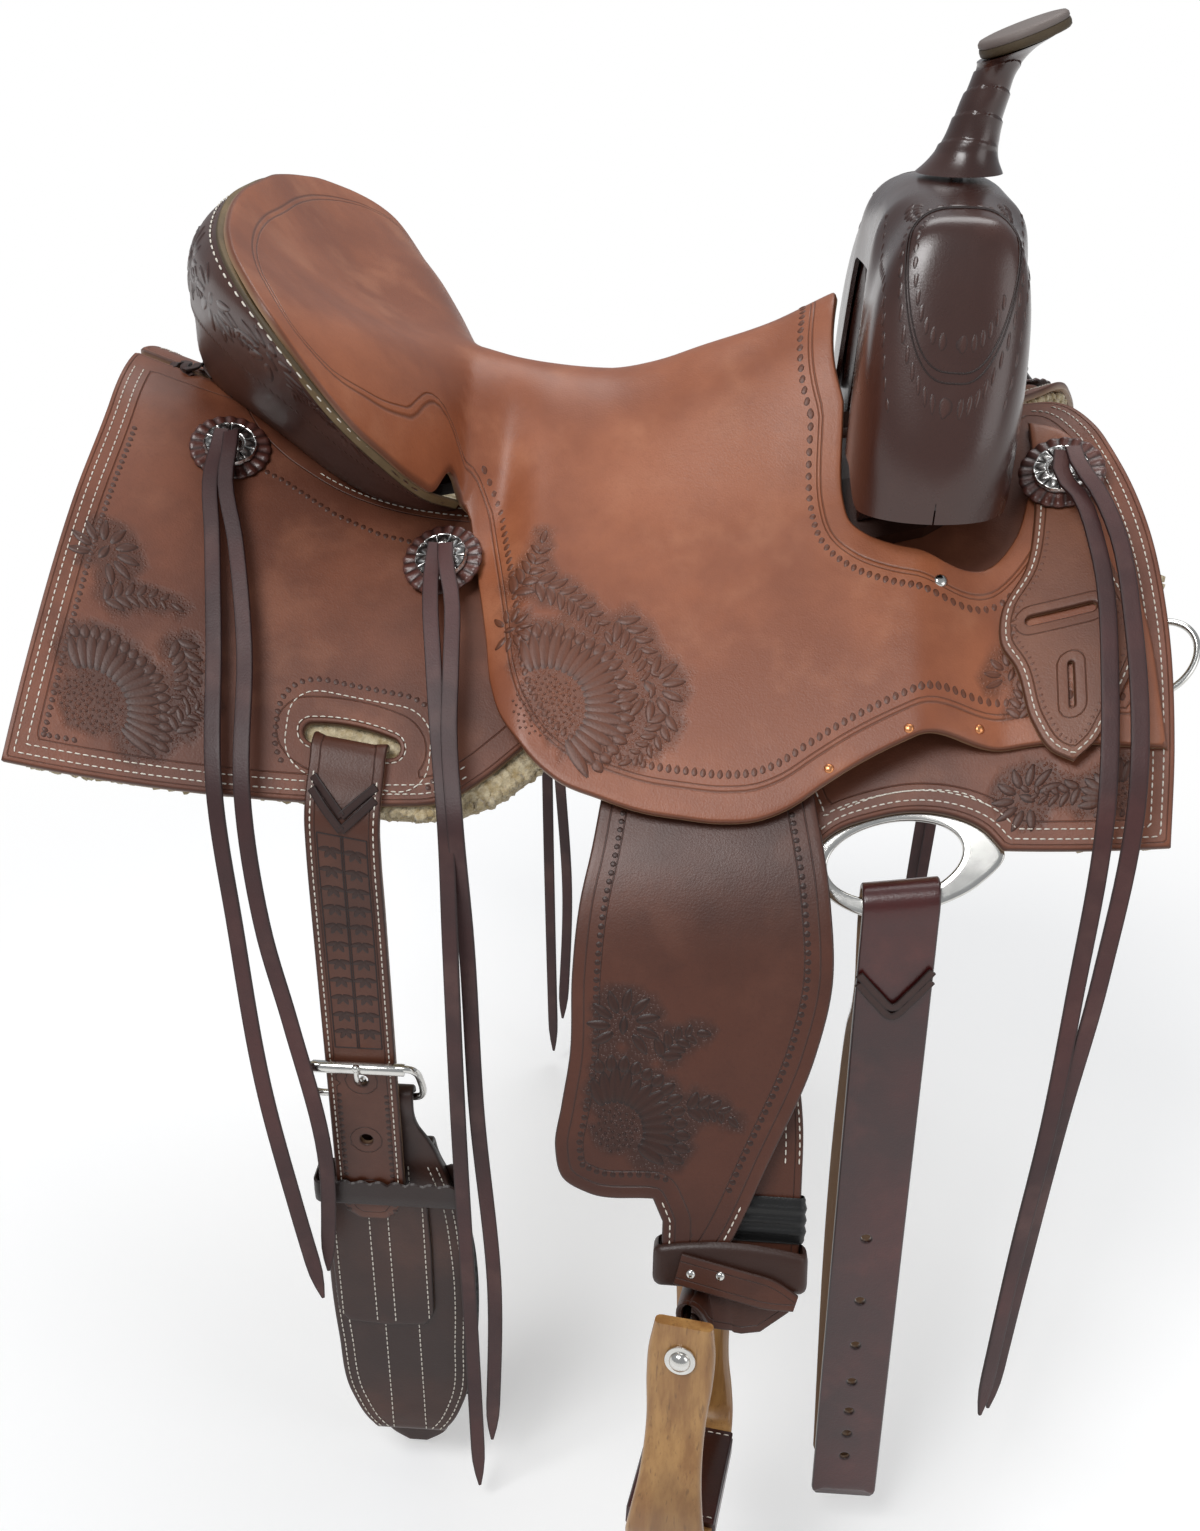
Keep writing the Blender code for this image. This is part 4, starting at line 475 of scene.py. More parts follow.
def stitches(name, paths, material, pitch=0.0046, length=0.0034, radius=0.00045, lift=0.0002):
    """Short rounded threads along 3-D paths, each path a pair of points and normals."""
    verts, quads = [], []
    total = 0
    ring = full_turn(6)
    for points, normals in paths:
        reach = distances(points)
        count = int(reach[-1] / pitch)
        if count < 1:
            continue
        at = (np.arange(count) + 0.5) * reach[-1] / count
        centre, ahead, back = (np.stack([np.interp(at + shift, reach, points[:, k]) for k in range(3)], -1)
                               for shift in (0, 0.0008, -0.0008))
        normal = unit(np.stack([np.interp(at, reach, normals[:, k]) for k in range(3)], -1))
        along = unit(ahead - back)
        across = np.cross(normal, along)
        rows = []
        for a, r, h in ((-0.5, 0.3, -0.8), (-0.30, 1.0, 0.3), (0.30, 1.0, 0.3), (0.5, 0.3, -0.8)):
            for angle in ring:
                side = across * math.cos(angle) * r + normal * (math.sin(angle) * r * 0.8 + h * 0.6)
                rows.append(centre + along * a * length + side * radius + normal * lift)
        verts.append(np.stack(rows, 1).reshape(-1, 3))
        k = (total + np.arange(count) * 24)[:, None, None]
        r = np.arange(3)[None, :, None] * 6
        c = np.arange(6)[None, None, :]
        n = (c + 1) % 6
        quads.append(np.stack([k + r + c, k + r + n, k + r + 6 + n, k + r + 6 + c], -1).reshape(-1, 4))
        total += count * 24
    return make_mesh(name, np.concatenate(verts), np.concatenate(quads), material)


# Rows along a line
def run_on(surface, path, off):
    """A pattern path laid on a surface: points and normals."""
    low = surface(path[:, 0], path[:, 1], np.full(len(path), off))
    high = surface(path[:, 0], path[:, 1], np.full(len(path), off + 0.004))
    return low, unit(high - low)


def even(path, step, closed=False):
    p = np.concatenate([path, path[:1]]) if closed else path
    reach = distances(p)
    at = np.linspace(0, reach[-1], max(2, int(round(reach[-1] / step))), endpoint=not closed)
    return np.stack([np.interp(at, reach, p[:, k]) for k in range(p.shape[1])], -1)


def pieces_of(path, keep):
    """Runs of the closed path where keep is true, opened at its first gap."""
    n = len(path)
    ok = np.asarray(keep)
    if ok.all():
        return [np.concatenate([path, path[:1]])]
    first = int(np.argmin(ok))
    order = np.roll(np.arange(n), -first)
    runs, run = [], []
    for k in order:
        if ok[k] and (not run or np.linalg.norm(path[k] - path[run[-1]]) < 0.02):
            run.append(k)
        else:
            if len(run) > 3:
                runs.append(path[run])
            run = [k] if ok[k] else []
    if len(run) > 3:
        runs.append(path[run])
    return runs


def border_stamps(path, pitch, size, width, inward, flutes=3, height=0.0006):
    """Shell stamps in a row along an open path; inward is +1 or -1 for the side they open to."""
    p = even(path, pitch)
    tangent = np.gradient(p, axis=0)
    way = np.arctan2(tangent[:, 1], tangent[:, 0]) + inward * np.pi / 2
    return [(q[0], q[1], w, size, width, 0.0, height, flutes) for q, w in zip(p, way)]


# Lofts, straps and tubes
def lofted(name, rings, material, closed=False, values=None):
    rings = np.asarray(rings, float)
    m, n = rings.shape[:2]
    faces = []
    for i in range(m if closed else m - 1):
        for j in range(n):
            a, b = i * n + j, i * n + (j + 1) % n
            c, d = ((i + 1) % m) * n + (j + 1) % n, ((i + 1) % m) * n + j
            faces.append([a, b, c, d])
    if not closed:
        faces.append(list(range(n))[::-1])
        faces.append([(m - 1) * n + j for j in range(n)])
    made = make_mesh(name, rings.reshape(-1, 3), faces, material, values)
    return creased(made, 0.8)


def framed_strap(name, centres, across, width, thickness, material, normals=None, rounding=0.0012,
                 count=None):
    """A flat strap with rounded edges through the given stations, and the frame it was laid on."""
    c = np.asarray(centres, float)
    n = len(c)
    across = np.broadcast_to(np.asarray(across, float), (n, 3))
    width = np.broadcast_to(np.asarray(width, float), (n,))
    thickness = np.broadcast_to(np.asarray(thickness, float), (n,))
    packed = np.concatenate([c, across, width[:, None], thickness[:, None]], 1)
    if normals is not None:
        packed = np.concatenate([packed, np.asarray(normals, float)], 1)
    if count:
        packed = spline(packed, count)
    c, across, width, thickness = packed[:, :3], unit(packed[:, 3:6]), packed[:, 6], packed[:, 7]
    along = unit(np.gradient(c, axis=0))
    normal = unit(packed[:, 8:11]) if normals is not None else unit(np.cross(along, across))
    across = unit(np.cross(normal, along))
    r = np.minimum(rounding, thickness * 0.5)
    shape = []
    for cx, cy, a0 in ((1, 1, 0), (-1, 1, 1), (-1, -1, 2), (1, -1, 3)):
        for k in range(4):
            angle = (a0 + k / 3) * np.pi / 2
            shape.append((cx, cy, math.cos(angle), math.sin(angle)))
    middles = (0.5, 0.0, -0.5)
    order = shape[:4] + [("middle", f, 1) for f in middles]
    order += shape[4:12] + [("middle", -f, -1) for f in middles] + shape[12:]
    rings, edge = [], []
    for item in order:
        if item[0] == "middle":
            _, f, sign = item
            offset_a = width * 0.5 * f
            offset_n = sign * thickness * 0.5
            edge.append(width * 0.5 * (1 - abs(f)))
        else:
            cx, cy, ca, sa = item
            offset_a = cx * (width * 0.5 - r) + r * ca
            offset_n = cy * (thickness * 0.5 - r) + r * sa
            edge.append(r * (1 - abs(ca)))
        rings.append(c + across * np.broadcast_to(offset_a, (len(c),))[:, None]
                     + normal * np.broadcast_to(offset_n, (len(c),))[:, None])
    rings = np.stack(rings, 1)
    reach = distances(c)
    data = {"dist": np.stack([np.broadcast_to(e, (len(c),)) for e in edge], 1).ravel(),
            "along": np.repeat(reach, len(edge)), "flesh": np.zeros(rings.shape[0] * rings.shape[1])}
    made = lofted(name, rings, material, values=data)
    return made, c, across, normal, width, thickness


def strap(*stations, **settings):
    return framed_strap(*stations, **settings)[0]


def tube(name, points, radius, material, closed=False, sides=12, count=None):
    p = spline(points, count or len(points) * 6, closed)
    along = unit((np.roll(p, -1, axis=0) - np.roll(p, 1, axis=0)) if closed else np.gradient(p, axis=0))
    side = unit(np.cross(along[0], [0.3, 0.5, 0.8]))
    rings = []
    for q, t in zip(p, along):
        side = unit(side - t * side.dot(t))
        other = np.cross(t, side)
        angle = full_turn(sides)[:, None]
        rings.append(q + (side * np.cos(angle) + other * np.sin(angle)) * radius)
    return lofted(name, np.array(rings), material, closed=closed)


# Materials
class Graph:
    def __init__(self, name, roughness=0.5, metallic=0.0):
        self.material = bpy.data.materials.new(name)
        self.material.use_nodes = True
        self.tree = self.material.node_tree
        self.shader = self.tree.nodes["Principled BSDF"]
        self.shader.inputs["Roughness"].default_value = roughness
        self.shader.inputs["Metallic"].default_value = metallic
        self.place = self.add("ShaderNodeTexCoord").outputs["Object"]

    def add(self, kind, **settings):
        node = self.tree.nodes.new(kind)
        for key, value in settings.items():
            setattr(node, key, value)
        return node

    def put(self, socket, value):
        if isinstance(value, bpy.types.NodeSocket):
            self.tree.links.new(value, socket)
        elif isinstance(value, (tuple, list)):
            opaque = len(value) == 3 and len(socket.default_value) == 4
            socket.default_value = (*value, 1.0) if opaque else value
        else:
            socket.default_value = value

    def math(self, operation, a, b=0.0):
        node = self.add("ShaderNodeMath", operation=operation)
        self.put(node.inputs[0], a)
        self.put(node.inputs[1], b)
        return node.outputs[0]

    def mix(self, factor, a, b):
        node = self.add("ShaderNodeMix", data_type="RGBA")
        self.put(node.inputs[0], factor)
        self.put(node.inputs[6], a)
        self.put(node.inputs[7], b)
        return node.outputs[2]

    def ramp(self, value, low, high):
        node = self.add("ShaderNodeMapRange", clamp=True, interpolation_type="SMOOTHSTEP")
        self.put(node.inputs[0], value)
        node.inputs[1].default_value = low
        node.inputs[2].default_value = high
        return node.outputs[0]

    def noise(self, scale, detail=4.0, rough=0.55, stretch=None):
        place = self.place
        if stretch:
            mapping = self.add("ShaderNodeMapping")
            mapping.inputs["Scale"].default_value = stretch
            self.tree.links.new(place, mapping.inputs[0])
            place = mapping.outputs[0]
        node = self.add("ShaderNodeTexNoise")
        self.tree.links.new(place, node.inputs["Vector"])
        node.inputs["Scale"].default_value = scale
        node.inputs["Detail"].default_value = detail
        node.inputs["Roughness"].default_value = rough
        return node.outputs[0]

    def cells(self, scale):
        node = self.add("ShaderNodeTexVoronoi")
        self.tree.links.new(self.place, node.inputs["Vector"])
        node.inputs["Scale"].default_value = scale
        return node.outputs["Distance"]

    def attribute(self, name):
        return self.add("ShaderNodeAttribute", attribute_name=name).outputs["Fac"]

    def bump(self, height, distance, strength):
        node = self.add("ShaderNodeBump")
        node.inputs["Strength"].default_value = strength
        node.inputs["Distance"].default_value = distance
        self.put(node.inputs["Height"], height)
        return node.outputs[0]

    def finish(self, colour, normal=None, roughness=None):
        self.put(self.shader.inputs["Base Color"], colour)
        if normal:
            self.put(self.shader.inputs["Normal"], normal)
        if roughness is not None:
            self.put(self.shader.inputs["Roughness"], roughness)
        return self.material


def leather(name, base, dark, pale, roughness=0.42, grooves=(), carved=False, coat=0.0, grain=1.0):
    """Vegetable-tanned leather: mottled, grained, darker at its edges and in its grooves."""
    g = Graph(name, roughness)
    broad = g.ramp(g.noise(7.0, 5.0, 0.6), 0.36, 0.66)
    colour = g.mix(broad, dark, base)
    patch = g.ramp(g.noise(22.0, 3.0), 0.50, 0.75)
    colour = g.mix(g.math("MULTIPLY", patch, 0.45), colour, pale)
    fine = g.noise(420.0, 3.0, 0.6)
    colour = g.mix(g.math("MULTIPLY", g.ramp(fine, 0.45, 0.75), 0.22), colour, dark)
    dist = g.attribute("dist")
    height = g.math("ADD", g.math("MULTIPLY", g.cells(820.0), 0.5 * grain),
                    g.math("MULTIPLY", fine, 0.6 * grain))
    height = g.math("ADD", height, g.math("MULTIPLY", g.noise(60.0, 3.0), 0.8))
    for where, width in grooves:
        line = g.math("SUBTRACT", 1.0,
                      g.ramp(g.math("ABSOLUTE", g.math("SUBTRACT", dist, where)), 0.0, width))
        height = g.math("SUBTRACT", height, g.math("MULTIPLY", line, 3.2))
        colour = g.mix(g.math("MULTIPLY", line, 0.62), colour, tuple(0.30 * c for c in dark))
    rim = g.math("SUBTRACT", 1.0, g.ramp(dist, 0.0002, 0.0016))
    colour = g.mix(g.math("MULTIPLY", rim, 0.75), colour, tuple(0.42 * c for c in dark))
    if carved:
        level = g.attribute("level")
        colour = g.mix(g.ramp(level, 0.15, 0.80), tuple(0.30 * c for c in dark), colour)
    else:
        matted = g.attribute("matte")
        spots = g.ramp(g.cells(560.0), 0.15, 0.5)
        shade = g.math("MULTIPLY", matted, g.math("ADD", 0.34, g.math("MULTIPLY", spots, 0.22)))
        colour = g.mix(shade, colour, tuple(0.26 * c for c in dark))
        height = g.math("SUBTRACT", height, g.math("MULTIPLY", g.math("MULTIPLY", matted, spots), 2.5))
        colour = g.mix(g.math("MULTIPLY", g.attribute("flesh"), 0.7), colour, (0.34, 0.22, 0.13))
    g.shader.inputs["Coat Weight"].default_value = coat
    g.shader.inputs["Coat Roughness"].default_value = 0.25
    rough = g.math("ADD", roughness - 0.06, g.math("MULTIPLY", g.noise(30.0, 4.0), 0.16))
    return g.finish(colour, g.bump(height, 0.00016, 0.8), rough)


def metal(name, colour, roughness, tarnish=0.0):
    g = Graph(name, roughness, 1.0)
    streak = g.noise(40.0, 5.0, 0.6)
    rough = g.math("ADD", roughness - 0.05, g.math("MULTIPLY", streak, 0.16))
    shade = g.mix(g.math("MULTIPLY", g.ramp(g.noise(90.0, 4.0), 0.45, 0.7), 0.35), colour,
                  tuple(0.72 * c for c in colour))
    if tarnish:
        level = g.attribute("level")
        shade = g.mix(g.math("MULTIPLY", g.math("SUBTRACT", 1.0, g.ramp(level, 0.25, 0.6)), tarnish), shade,
                      (0.03, 0.028, 0.026))
    return g.finish(shade, g.bump(streak, 0.00004, 0.5), rough)


def wood(name, light, dark, axis):
    g = Graph(name, 0.34)
    stretch = [90.0, 90.0, 90.0]
    stretch[axis] = 6.0
    grain = g.noise(1.0, 6.0, 0.65, tuple(stretch))
    pores = g.noise(1.0, 3.0, 0.5, tuple(6.0 * s if i != axis else 3.0 * s for i, s in enumerate(stretch)))
    rings = g.noise(1.0, 2.0, 0.5, tuple(0.35 * s if i != axis else 0.5 * s for i, s in enumerate(stretch)))
    colour = g.mix(g.ramp(grain, 0.32, 0.68), dark, light)
    colour = g.mix(g.math("MULTIPLY", g.ramp(rings, 0.48, 0.62), 0.45), colour, tuple(0.6 * c for c in dark))
    colour = g.mix(g.math("MULTIPLY", g.ramp(pores, 0.58, 0.72), 0.5), colour, tuple(0.45 * c for c in dark))
    g.shader.inputs["Coat Weight"].default_value = 0.35
    g.shader.inputs["Coat Roughness"].default_value = 0.2
    return g.finish(colour, g.bump(grain, 0.0002, 0.4))


RUSSET, RUSSET_DARK, RUSSET_PALE = (0.335, 0.106, 0.044), (0.215, 0.061, 0.024), (0.42, 0.165, 0.082)
CHESTNUT, CHESTNUT_DARK, CHESTNUT_PALE = (0.205, 0.064, 0.030), (0.115, 0.033, 0.015), (0.28, 0.105, 0.055)
OXBLOOD, OXBLOOD_DARK, OXBLOOD_PALE = (0.115, 0.037, 0.024), (0.058, 0.017, 0.011), (0.19, 0.078, 0.058)
seat_leather = leather("seat_leather", RUSSET, RUSSET_DARK, RUSSET_PALE, 0.40,
                       ((0.0125, 0.0009), (0.0148, 0.0006)), coat=0.06)
skirt_leather = leather("skirt_leather_detail", CHESTNUT, CHESTNUT_DARK, CHESTNUT_PALE, 0.46,
                        ((0.0030, 0.0005), (0.0160, 0.0007)))
# Fender leather: its colour is darkened well below the seat's as painted shade, standing in for the shade the
# hanging fender sits in.
fender_leather = leather("fender_leather", (0.088, 0.025, 0.012), (0.050, 0.013, 0.006),
                         (0.135, 0.046, 0.025), 0.42, ((0.0075, 0.0008), (0.0165, 0.0007)), coat=0.1)
swell_leather = leather("swell_leather", OXBLOOD, OXBLOOD_DARK, OXBLOOD_PALE, 0.26, coat=0.45, grain=0.6)
band_leather = leather("band_leather", (0.14, 0.047, 0.030), (0.075, 0.023, 0.014), (0.20, 0.082, 0.055),
                       0.40, coat=0.15)
carved_russet = leather("carved_russet", (0.30, 0.094, 0.040), RUSSET_DARK, RUSSET_PALE, 0.42, carved=True)
carved_chestnut = leather("carved_chestnut", (0.20, 0.062, 0.030), CHESTNUT_DARK, CHESTNUT_PALE, 0.44,
                          carved=True)
# The fender's carving takes the same darkened colour, painted shade as on the fender; the flank billet's
# stamps use it too.
carved_fender_painted_shade = leather("carved_fender_painted_shade", (0.095, 0.027, 0.013), (0.050, 0.013, 0.006), (0.14, 0.048, 0.026),
                        0.42, carved=True)
carved_dark = leather("carved_dark", (0.15, 0.050, 0.033), (0.070, 0.021, 0.013), (0.21, 0.085, 0.06), 0.34,
                      carved=True, coat=0.3)
strap_leather = leather("strap_leather", (0.085, 0.025, 0.012), (0.046, 0.013, 0.006), (0.13, 0.045, 0.024),
                        0.42, ((0.0045, 0.0005),))
cinch_leather = leather("cinch_leather", (0.050, 0.016, 0.009), (0.025, 0.008, 0.005),
                        (0.085, 0.031, 0.018), 0.42)
latigo_leather = leather("latigo_leather", (0.062, 0.007, 0.006), (0.026, 0.003, 0.003),
                         (0.12, 0.022, 0.016), 0.30, coat=0.35)
thong_leather = leather("thong_leather", (0.075, 0.022, 0.020), (0.035, 0.010, 0.010), (0.13, 0.06, 0.05),
                        0.5)
lace_leather = leather("lace_leather", (0.05, 0.018, 0.013), (0.025, 0.009, 0.007), (0.09, 0.04, 0.03), 0.5)
raw_edge = leather("raw_edge", (0.16, 0.105, 0.045), (0.085, 0.055, 0.022), (0.25, 0.17, 0.085), 0.6)
black_leather = leather("black_leather", (0.012, 0.011, 0.011), (0.006, 0.006, 0.006), (0.03, 0.028, 0.027),
                        0.38)
steel = metal("polished_steel", (0.66, 0.65, 0.62), 0.14)
silver = metal("engraved_silver_detail", (0.72, 0.71, 0.69), 0.20, tarnish=0.70)
copper = metal("copper", (0.70, 0.30, 0.13), 0.28)
horn_steel = metal("horn_steel", (0.5, 0.5, 0.5), 0.35)
oak = wood("stirrup_oak", (0.44, 0.235, 0.075), (0.26, 0.115, 0.030), 2)
pine = wood("tree_pine", (0.60, 0.44, 0.26), (0.46, 0.30, 0.16), 0)

g = Graph("thread", 0.7)
thread = g.finish(g.mix(g.ramp(g.noise(900.0, 2.0), 0.4, 0.6), (0.62, 0.56, 0.47), (0.80, 0.76, 0.68)))
g = Graph("felt", 0.95)
felt = g.finish(g.mix(g.ramp(g.noise(300.0, 4.0), 0.35, 0.65), (0.035, 0.036, 0.036), (0.10, 0.10, 0.10)),
                g.bump(g.noise(700.0, 4.0), 0.0006, 0.8))
g = Graph("fleece_wool", 0.95)
curl = g.noise(170.0, 5.0, 0.7)
fleece = g.finish(g.mix(g.ramp(curl, 0.30, 0.70), (0.42, 0.31, 0.15), (0.74, 0.64, 0.44)),
                  g.bump(g.math("ADD", curl, g.cells(260.0)), 0.0022, 1.0))
g.shader.inputs["Sheen Weight"].default_value = 0.35
g.shader.inputs["Sheen Roughness"].default_value = 0.5


# Free thongs first: each saddle string has two hanging ends
STRINGS = {
    "rear": (CONCHOS["rear"],
             [((-0.246, 0.090), (-0.237, 0.137), (-0.225, 0.205), (-0.213, 0.290)),
              ((-0.236, 0.092), (-0.222, 0.137), (-0.206, 0.205), (-0.196, 0.290))],
             [[(-0.205, -0.272, -0.20), (-0.198, -0.276, -0.314), (-0.186, -0.276, -0.41),
               (-0.174, -0.276, -0.491)],
              [(-0.189, -0.270, -0.20), (-0.179, -0.268, -0.27), (-0.166, -0.266, -0.377),
               (-0.172, -0.264, -0.478)]], 0.0305),
    "mid": (CONCHOS["mid"],
            [((-0.101, 0.142), (-0.094, 0.190), (-0.087, 0.233), (-0.078, 0.285)),
             ((-0.088, 0.142), (-0.083, 0.190), (-0.080, 0.233), (-0.072, 0.285))],
            [[(-0.077, -0.265, -0.203), (-0.078, -0.263, -0.338), (-0.077, -0.2593, -0.542),
              (-0.076, -0.261, -0.684)],
             [(-0.069, -0.256, -0.208), (-0.067, -0.257, -0.338), (-0.060, -0.257, -0.495),
              (-0.066, -0.257, -0.640)]], 0.0370),
    "front": (CONCHOS["front"],
              [((0.286, 0.112), (0.294, 0.150), (0.296, 0.234), (0.293, 0.290)),
               ((0.294, 0.110), (0.303, 0.140), (0.309, 0.201), (0.308, 0.290))],
              [[(0.287, -0.284, -0.22), (0.283, -0.290, -0.30), (0.276, -0.290, -0.40),
                (0.268, -0.290, -0.547)],
               [(0.300, -0.284, -0.20), (0.291, -0.284, -0.30), (0.283, -0.282, -0.42),
                (0.275, -0.280, -0.551)]], 0.0465)}


def string_path(word, number):
    """Points of one hanging end, from the concho to its tip, on the off side."""
    spot, on_skin, hanging, lift = STRINGS[word]
    if number == 0:
        near = [(spot[0] - 0.003, spot[1] - 0.004, lift + 0.0012),
                (spot[0] - 0.004, spot[1] + 0.010, lift - 0.001)]
    else:
        near = [(spot[0] + 0.003, spot[1] - 0.004, lift + 0.0022),
                (spot[0] + 0.005, spot[1] + 0.010, lift + 0.0040)]
    points = [on_back(x, s, off) for x, s, off in near]
    points += [on_back(x, s, lift + 0.0032 * number) for x, s in on_skin[number]]
    return spline(np.array(points + [np.array(p) for p in hanging[number]]), 60)


for side_word, side in SIDES:
    for word in STRINGS:
        for number in (0, 1):
            path = string_path(word, number)
            along = unit(np.gradient(path, axis=0))
            twist = 0.35 * np.sin(np.linspace(0.4, 5.0 + number, len(path))) * np.linspace(0, 1, len(path))
            across = unit(np.array([1.0, 0, 0]) - along * along[:, :1])
            normal = np.cross(along, across)
            across = across * np.cos(twist)[:, None] + normal * np.sin(twist)[:, None]
            normal = np.cross(along, across)
            width = np.full(len(path), 0.0100)
            width[-3:] = (0.0092, 0.0065, 0.0022)
            flip = np.array([1, -side, 1])
            piece = strap("thong_%s_%d_%s" % (word, number, side_word), path * flip, across * flip, width,
                          0.0023, thong_leather, normals=normal * flip, rounding=0.0006)
            place(piece, ROOT, "string_%s_%s" % (word, side_word), slot="burgundy_leather")
            reach = float(np.linalg.norm(np.diff(path, axis=0), axis=1).sum())
            spine = [tuple(p) for p in (path * flip)]
            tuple(spine[0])


# Skirts, with their fleece
SKIRT_OUTLINE = [(-0.320, 0.004), (-0.320, 0.061), (-0.325, 0.134), (-0.330, 0.234), (-0.334, 0.313),
                 (-0.264, 0.300), (-0.167, 0.283), (-0.115, 0.275), (-0.085, 0.268), (-0.060, 0.250),
                 (-0.043, 0.233), (-0.020, 0.210), (0.020, 0.195), (0.070, 0.195), (0.105, 0.215),
                 (0.125, 0.260), (0.137, 0.290), (0.150, 0.281), (0.170, 0.276), (0.191, 0.275),
                 (0.212, 0.280), (0.232, 0.292), (0.243, 0.306), (0.332, 0.325), (0.336, 0.266),
                 (0.336, 0.190), (0.329, 0.125), (0.318, 0.080), (0.305, 0.045), (0.285, 0.015),
                 (0.262, 0.004), (0.235, 0.030), (0.200, 0.050), (0.0, 0.055), (-0.180, 0.050),
                 (-0.215, 0.030), (-0.235, 0.004)]
FLEECE_OUTLINE = [(-0.317, 0.007), (-0.317, 0.061), (-0.322, 0.134), (-0.327, 0.234), (-0.330, 0.309),
                  (-0.264, 0.297), (-0.167, 0.280), (-0.115, 0.280), (-0.085, 0.275), (-0.055, 0.262),
                  (-0.035, 0.245), (-0.010, 0.222), (0.020, 0.210), (0.070, 0.210), (0.102, 0.225),
                  (0.122, 0.262), (0.200, 0.262), (0.252, 0.264), (0.258, 0.305), (0.328, 0.321),
                  (0.332, 0.266), (0.332, 0.246), (0.318, 0.244), (0.318, 0.180), (0.331, 0.178),
                  (0.325, 0.125), (0.314, 0.080), (0.301, 0.045), (0.281, 0.018), (0.262, 0.008),
                  (0.235, 0.034), (0.200, 0.054), (0.0, 0.059), (-0.180, 0.054), (-0.215, 0.034),
                  (-0.235, 0.008)]


# Tooling, as strokes for carve
def petals(u, v, radius, length, start, end, count, width):
    """Petals round a flower's seed head, from the start to the end direction."""
    out = []
    for a in np.linspace(start, end, count):
        long = length * (0.92 + 0.12 * math.sin(7 * a))
        out.append((u + radius * math.cos(a), v + radius * math.sin(a), a, long, 1.3 * width, 0.10, 0.0011,
                    0))
    return out


def seeds(u, v, radius, step=0.0021):
    out = []
    for k in range(1, int((radius / step) ** 2 * 0.95)):
        r, a = step * math.sqrt(k) * 0.98, k * 2.399963
        if r < radius:
            out.append((u + r * math.cos(a) - step * 0.42, v + r * math.sin(a), 0.0, step * 0.84,
                        step * 0.42, 0, 0.0009, 0))
    return out


def spray(u, v, way, count, length, width, bend=0.9):
    """A curled leaf: pairs of lobes along a bent stem."""
    out = []
    x, y, heading = u, v, way
    for k in range(count):
        size = 1.0 - 0.5 * k / count
        for lobe in (-1, 1):
            out.append((x, y, heading + lobe * 0.55, length * size, width * size, lobe * 0.7, 0.0010, 0))
        x += length * 0.52 * math.cos(heading)
        y += length * 0.52 * math.sin(heading)
        heading += bend / count
    out.append((x, y, heading, length * 0.7, width * 0.7, 0.3, 0.0011, 0))
    return out


def pod(u, v, way, size):
    """A round ridged pod: lobes turned round an open middle."""
    out = []
    for k in range(9):
        a = way - 2.3 + 4.6 * k / 8
        out.append((u + size * 0.30 * math.cos(a), v + size * 0.30 * math.sin(a), a, size * 0.62,
                    size * 0.13, 0.25, 0.0012, 0))
    out.append((u - size * 0.25 * math.cos(way), v - size * 0.25 * math.sin(way), way, size * 0.5,
                size * 0.16, 0, 0.0012, 2))
    return out


def matting(strokes):
    """A mask that is 1 on the ground round the strokes and fades outside them."""
    s = np.asarray(strokes)
    centre = np.stack([s[:, 0] + 0.5 * s[:, 3] * np.cos(s[:, 2]),
                       s[:, 1] + 0.5 * s[:, 3] * np.sin(s[:, 2])], -1)
    reach = s[:, 3] * 0.5 + 0.0022

    def mask(u, v, dist):
        q = np.stack([u, v], -1)
        best = np.full(len(q), 9.0)
        for k in range(0, len(q), 2000):
            gap = np.linalg.norm(q[k:k + 2000, None] - centre[None], axis=2) / reach[None]
            best[k:k + 2000] = gap.min(1)
        fade = np.clip(1.18 - best, 0, 1) / 0.26 * np.clip((dist - 0.012) / 0.001, 0, 1)
        return np.clip(fade, 0, 1)
    return mask


SKIRT_CARVING = (petals(-0.2915, 0.2620, 0.0200, 0.0265, -2.05, 0.40, 16, 0.0030)
                 + seeds(-0.2915, 0.2620, 0.0185)
                 + petals(-0.2915, 0.2620, 0.0390, 0.0100, -1.95, 0.25, 17, 0.0026)
                 + pod(-0.3005, 0.1650, -1.2, 0.024) + spray(-0.2945, 0.1960, -0.7, 6, 0.0130, 0.0030)
                 + spray(-0.2500, 0.2050, 0.9, 6, 0.0140, 0.0031, bend=1.2)
                 + spray(-0.2420, 0.2620, -1.3, 4, 0.0120, 0.0028))
FRONT_CARVING = (petals(0.3050, 0.2910, 0.0090, 0.0150, -3.1, -1.3, 9, 0.0024) + seeds(0.3050, 0.2910, 0.0080)
                 + pod(0.2560, 0.2790, -2.6, 0.022) + spray(0.2850, 0.2790, 2.9, 5, 0.0110, 0.0026)
                 + spray(0.2900, 0.2560, -1.9, 4, 0.0100, 0.0024))
skirt_loop = round_outline(SKIRT_OUTLINE, (0, 4, 16, 22, 23, 30, 36))
SLOT_ROUND = 0.0065
slot_ends = []
for x, start in ((SLOT[0] + SLOT_ROUND, -np.pi / 2), (SLOT[1] - SLOT_ROUND, np.pi / 2)):
    for a in np.linspace(start, start + np.pi, 7):
        slot_ends.append((x - SLOT_ROUND * math.cos(a), 0.240 - SLOT_ROUND * math.sin(a)))
slot_loop = round_outline(slot_ends, (), 0.002)


def oblong(x0, x1, s0, s1, radius, step=0.003):
    corners = []
    for cx, cy, start in ((x1 - radius, s1 - radius, 0), (x0 + radius, s1 - radius, 1),
                          (x0 + radius, s0 + radius, 2), (x1 - radius, s0 + radius, 3)):
        for a in np.linspace(start * np.pi / 2, (start + 1) * np.pi / 2, 7):
            corners.append((cx + radius * math.cos(a), cy + radius * math.sin(a)))
    return even(np.array(corners), step, True)


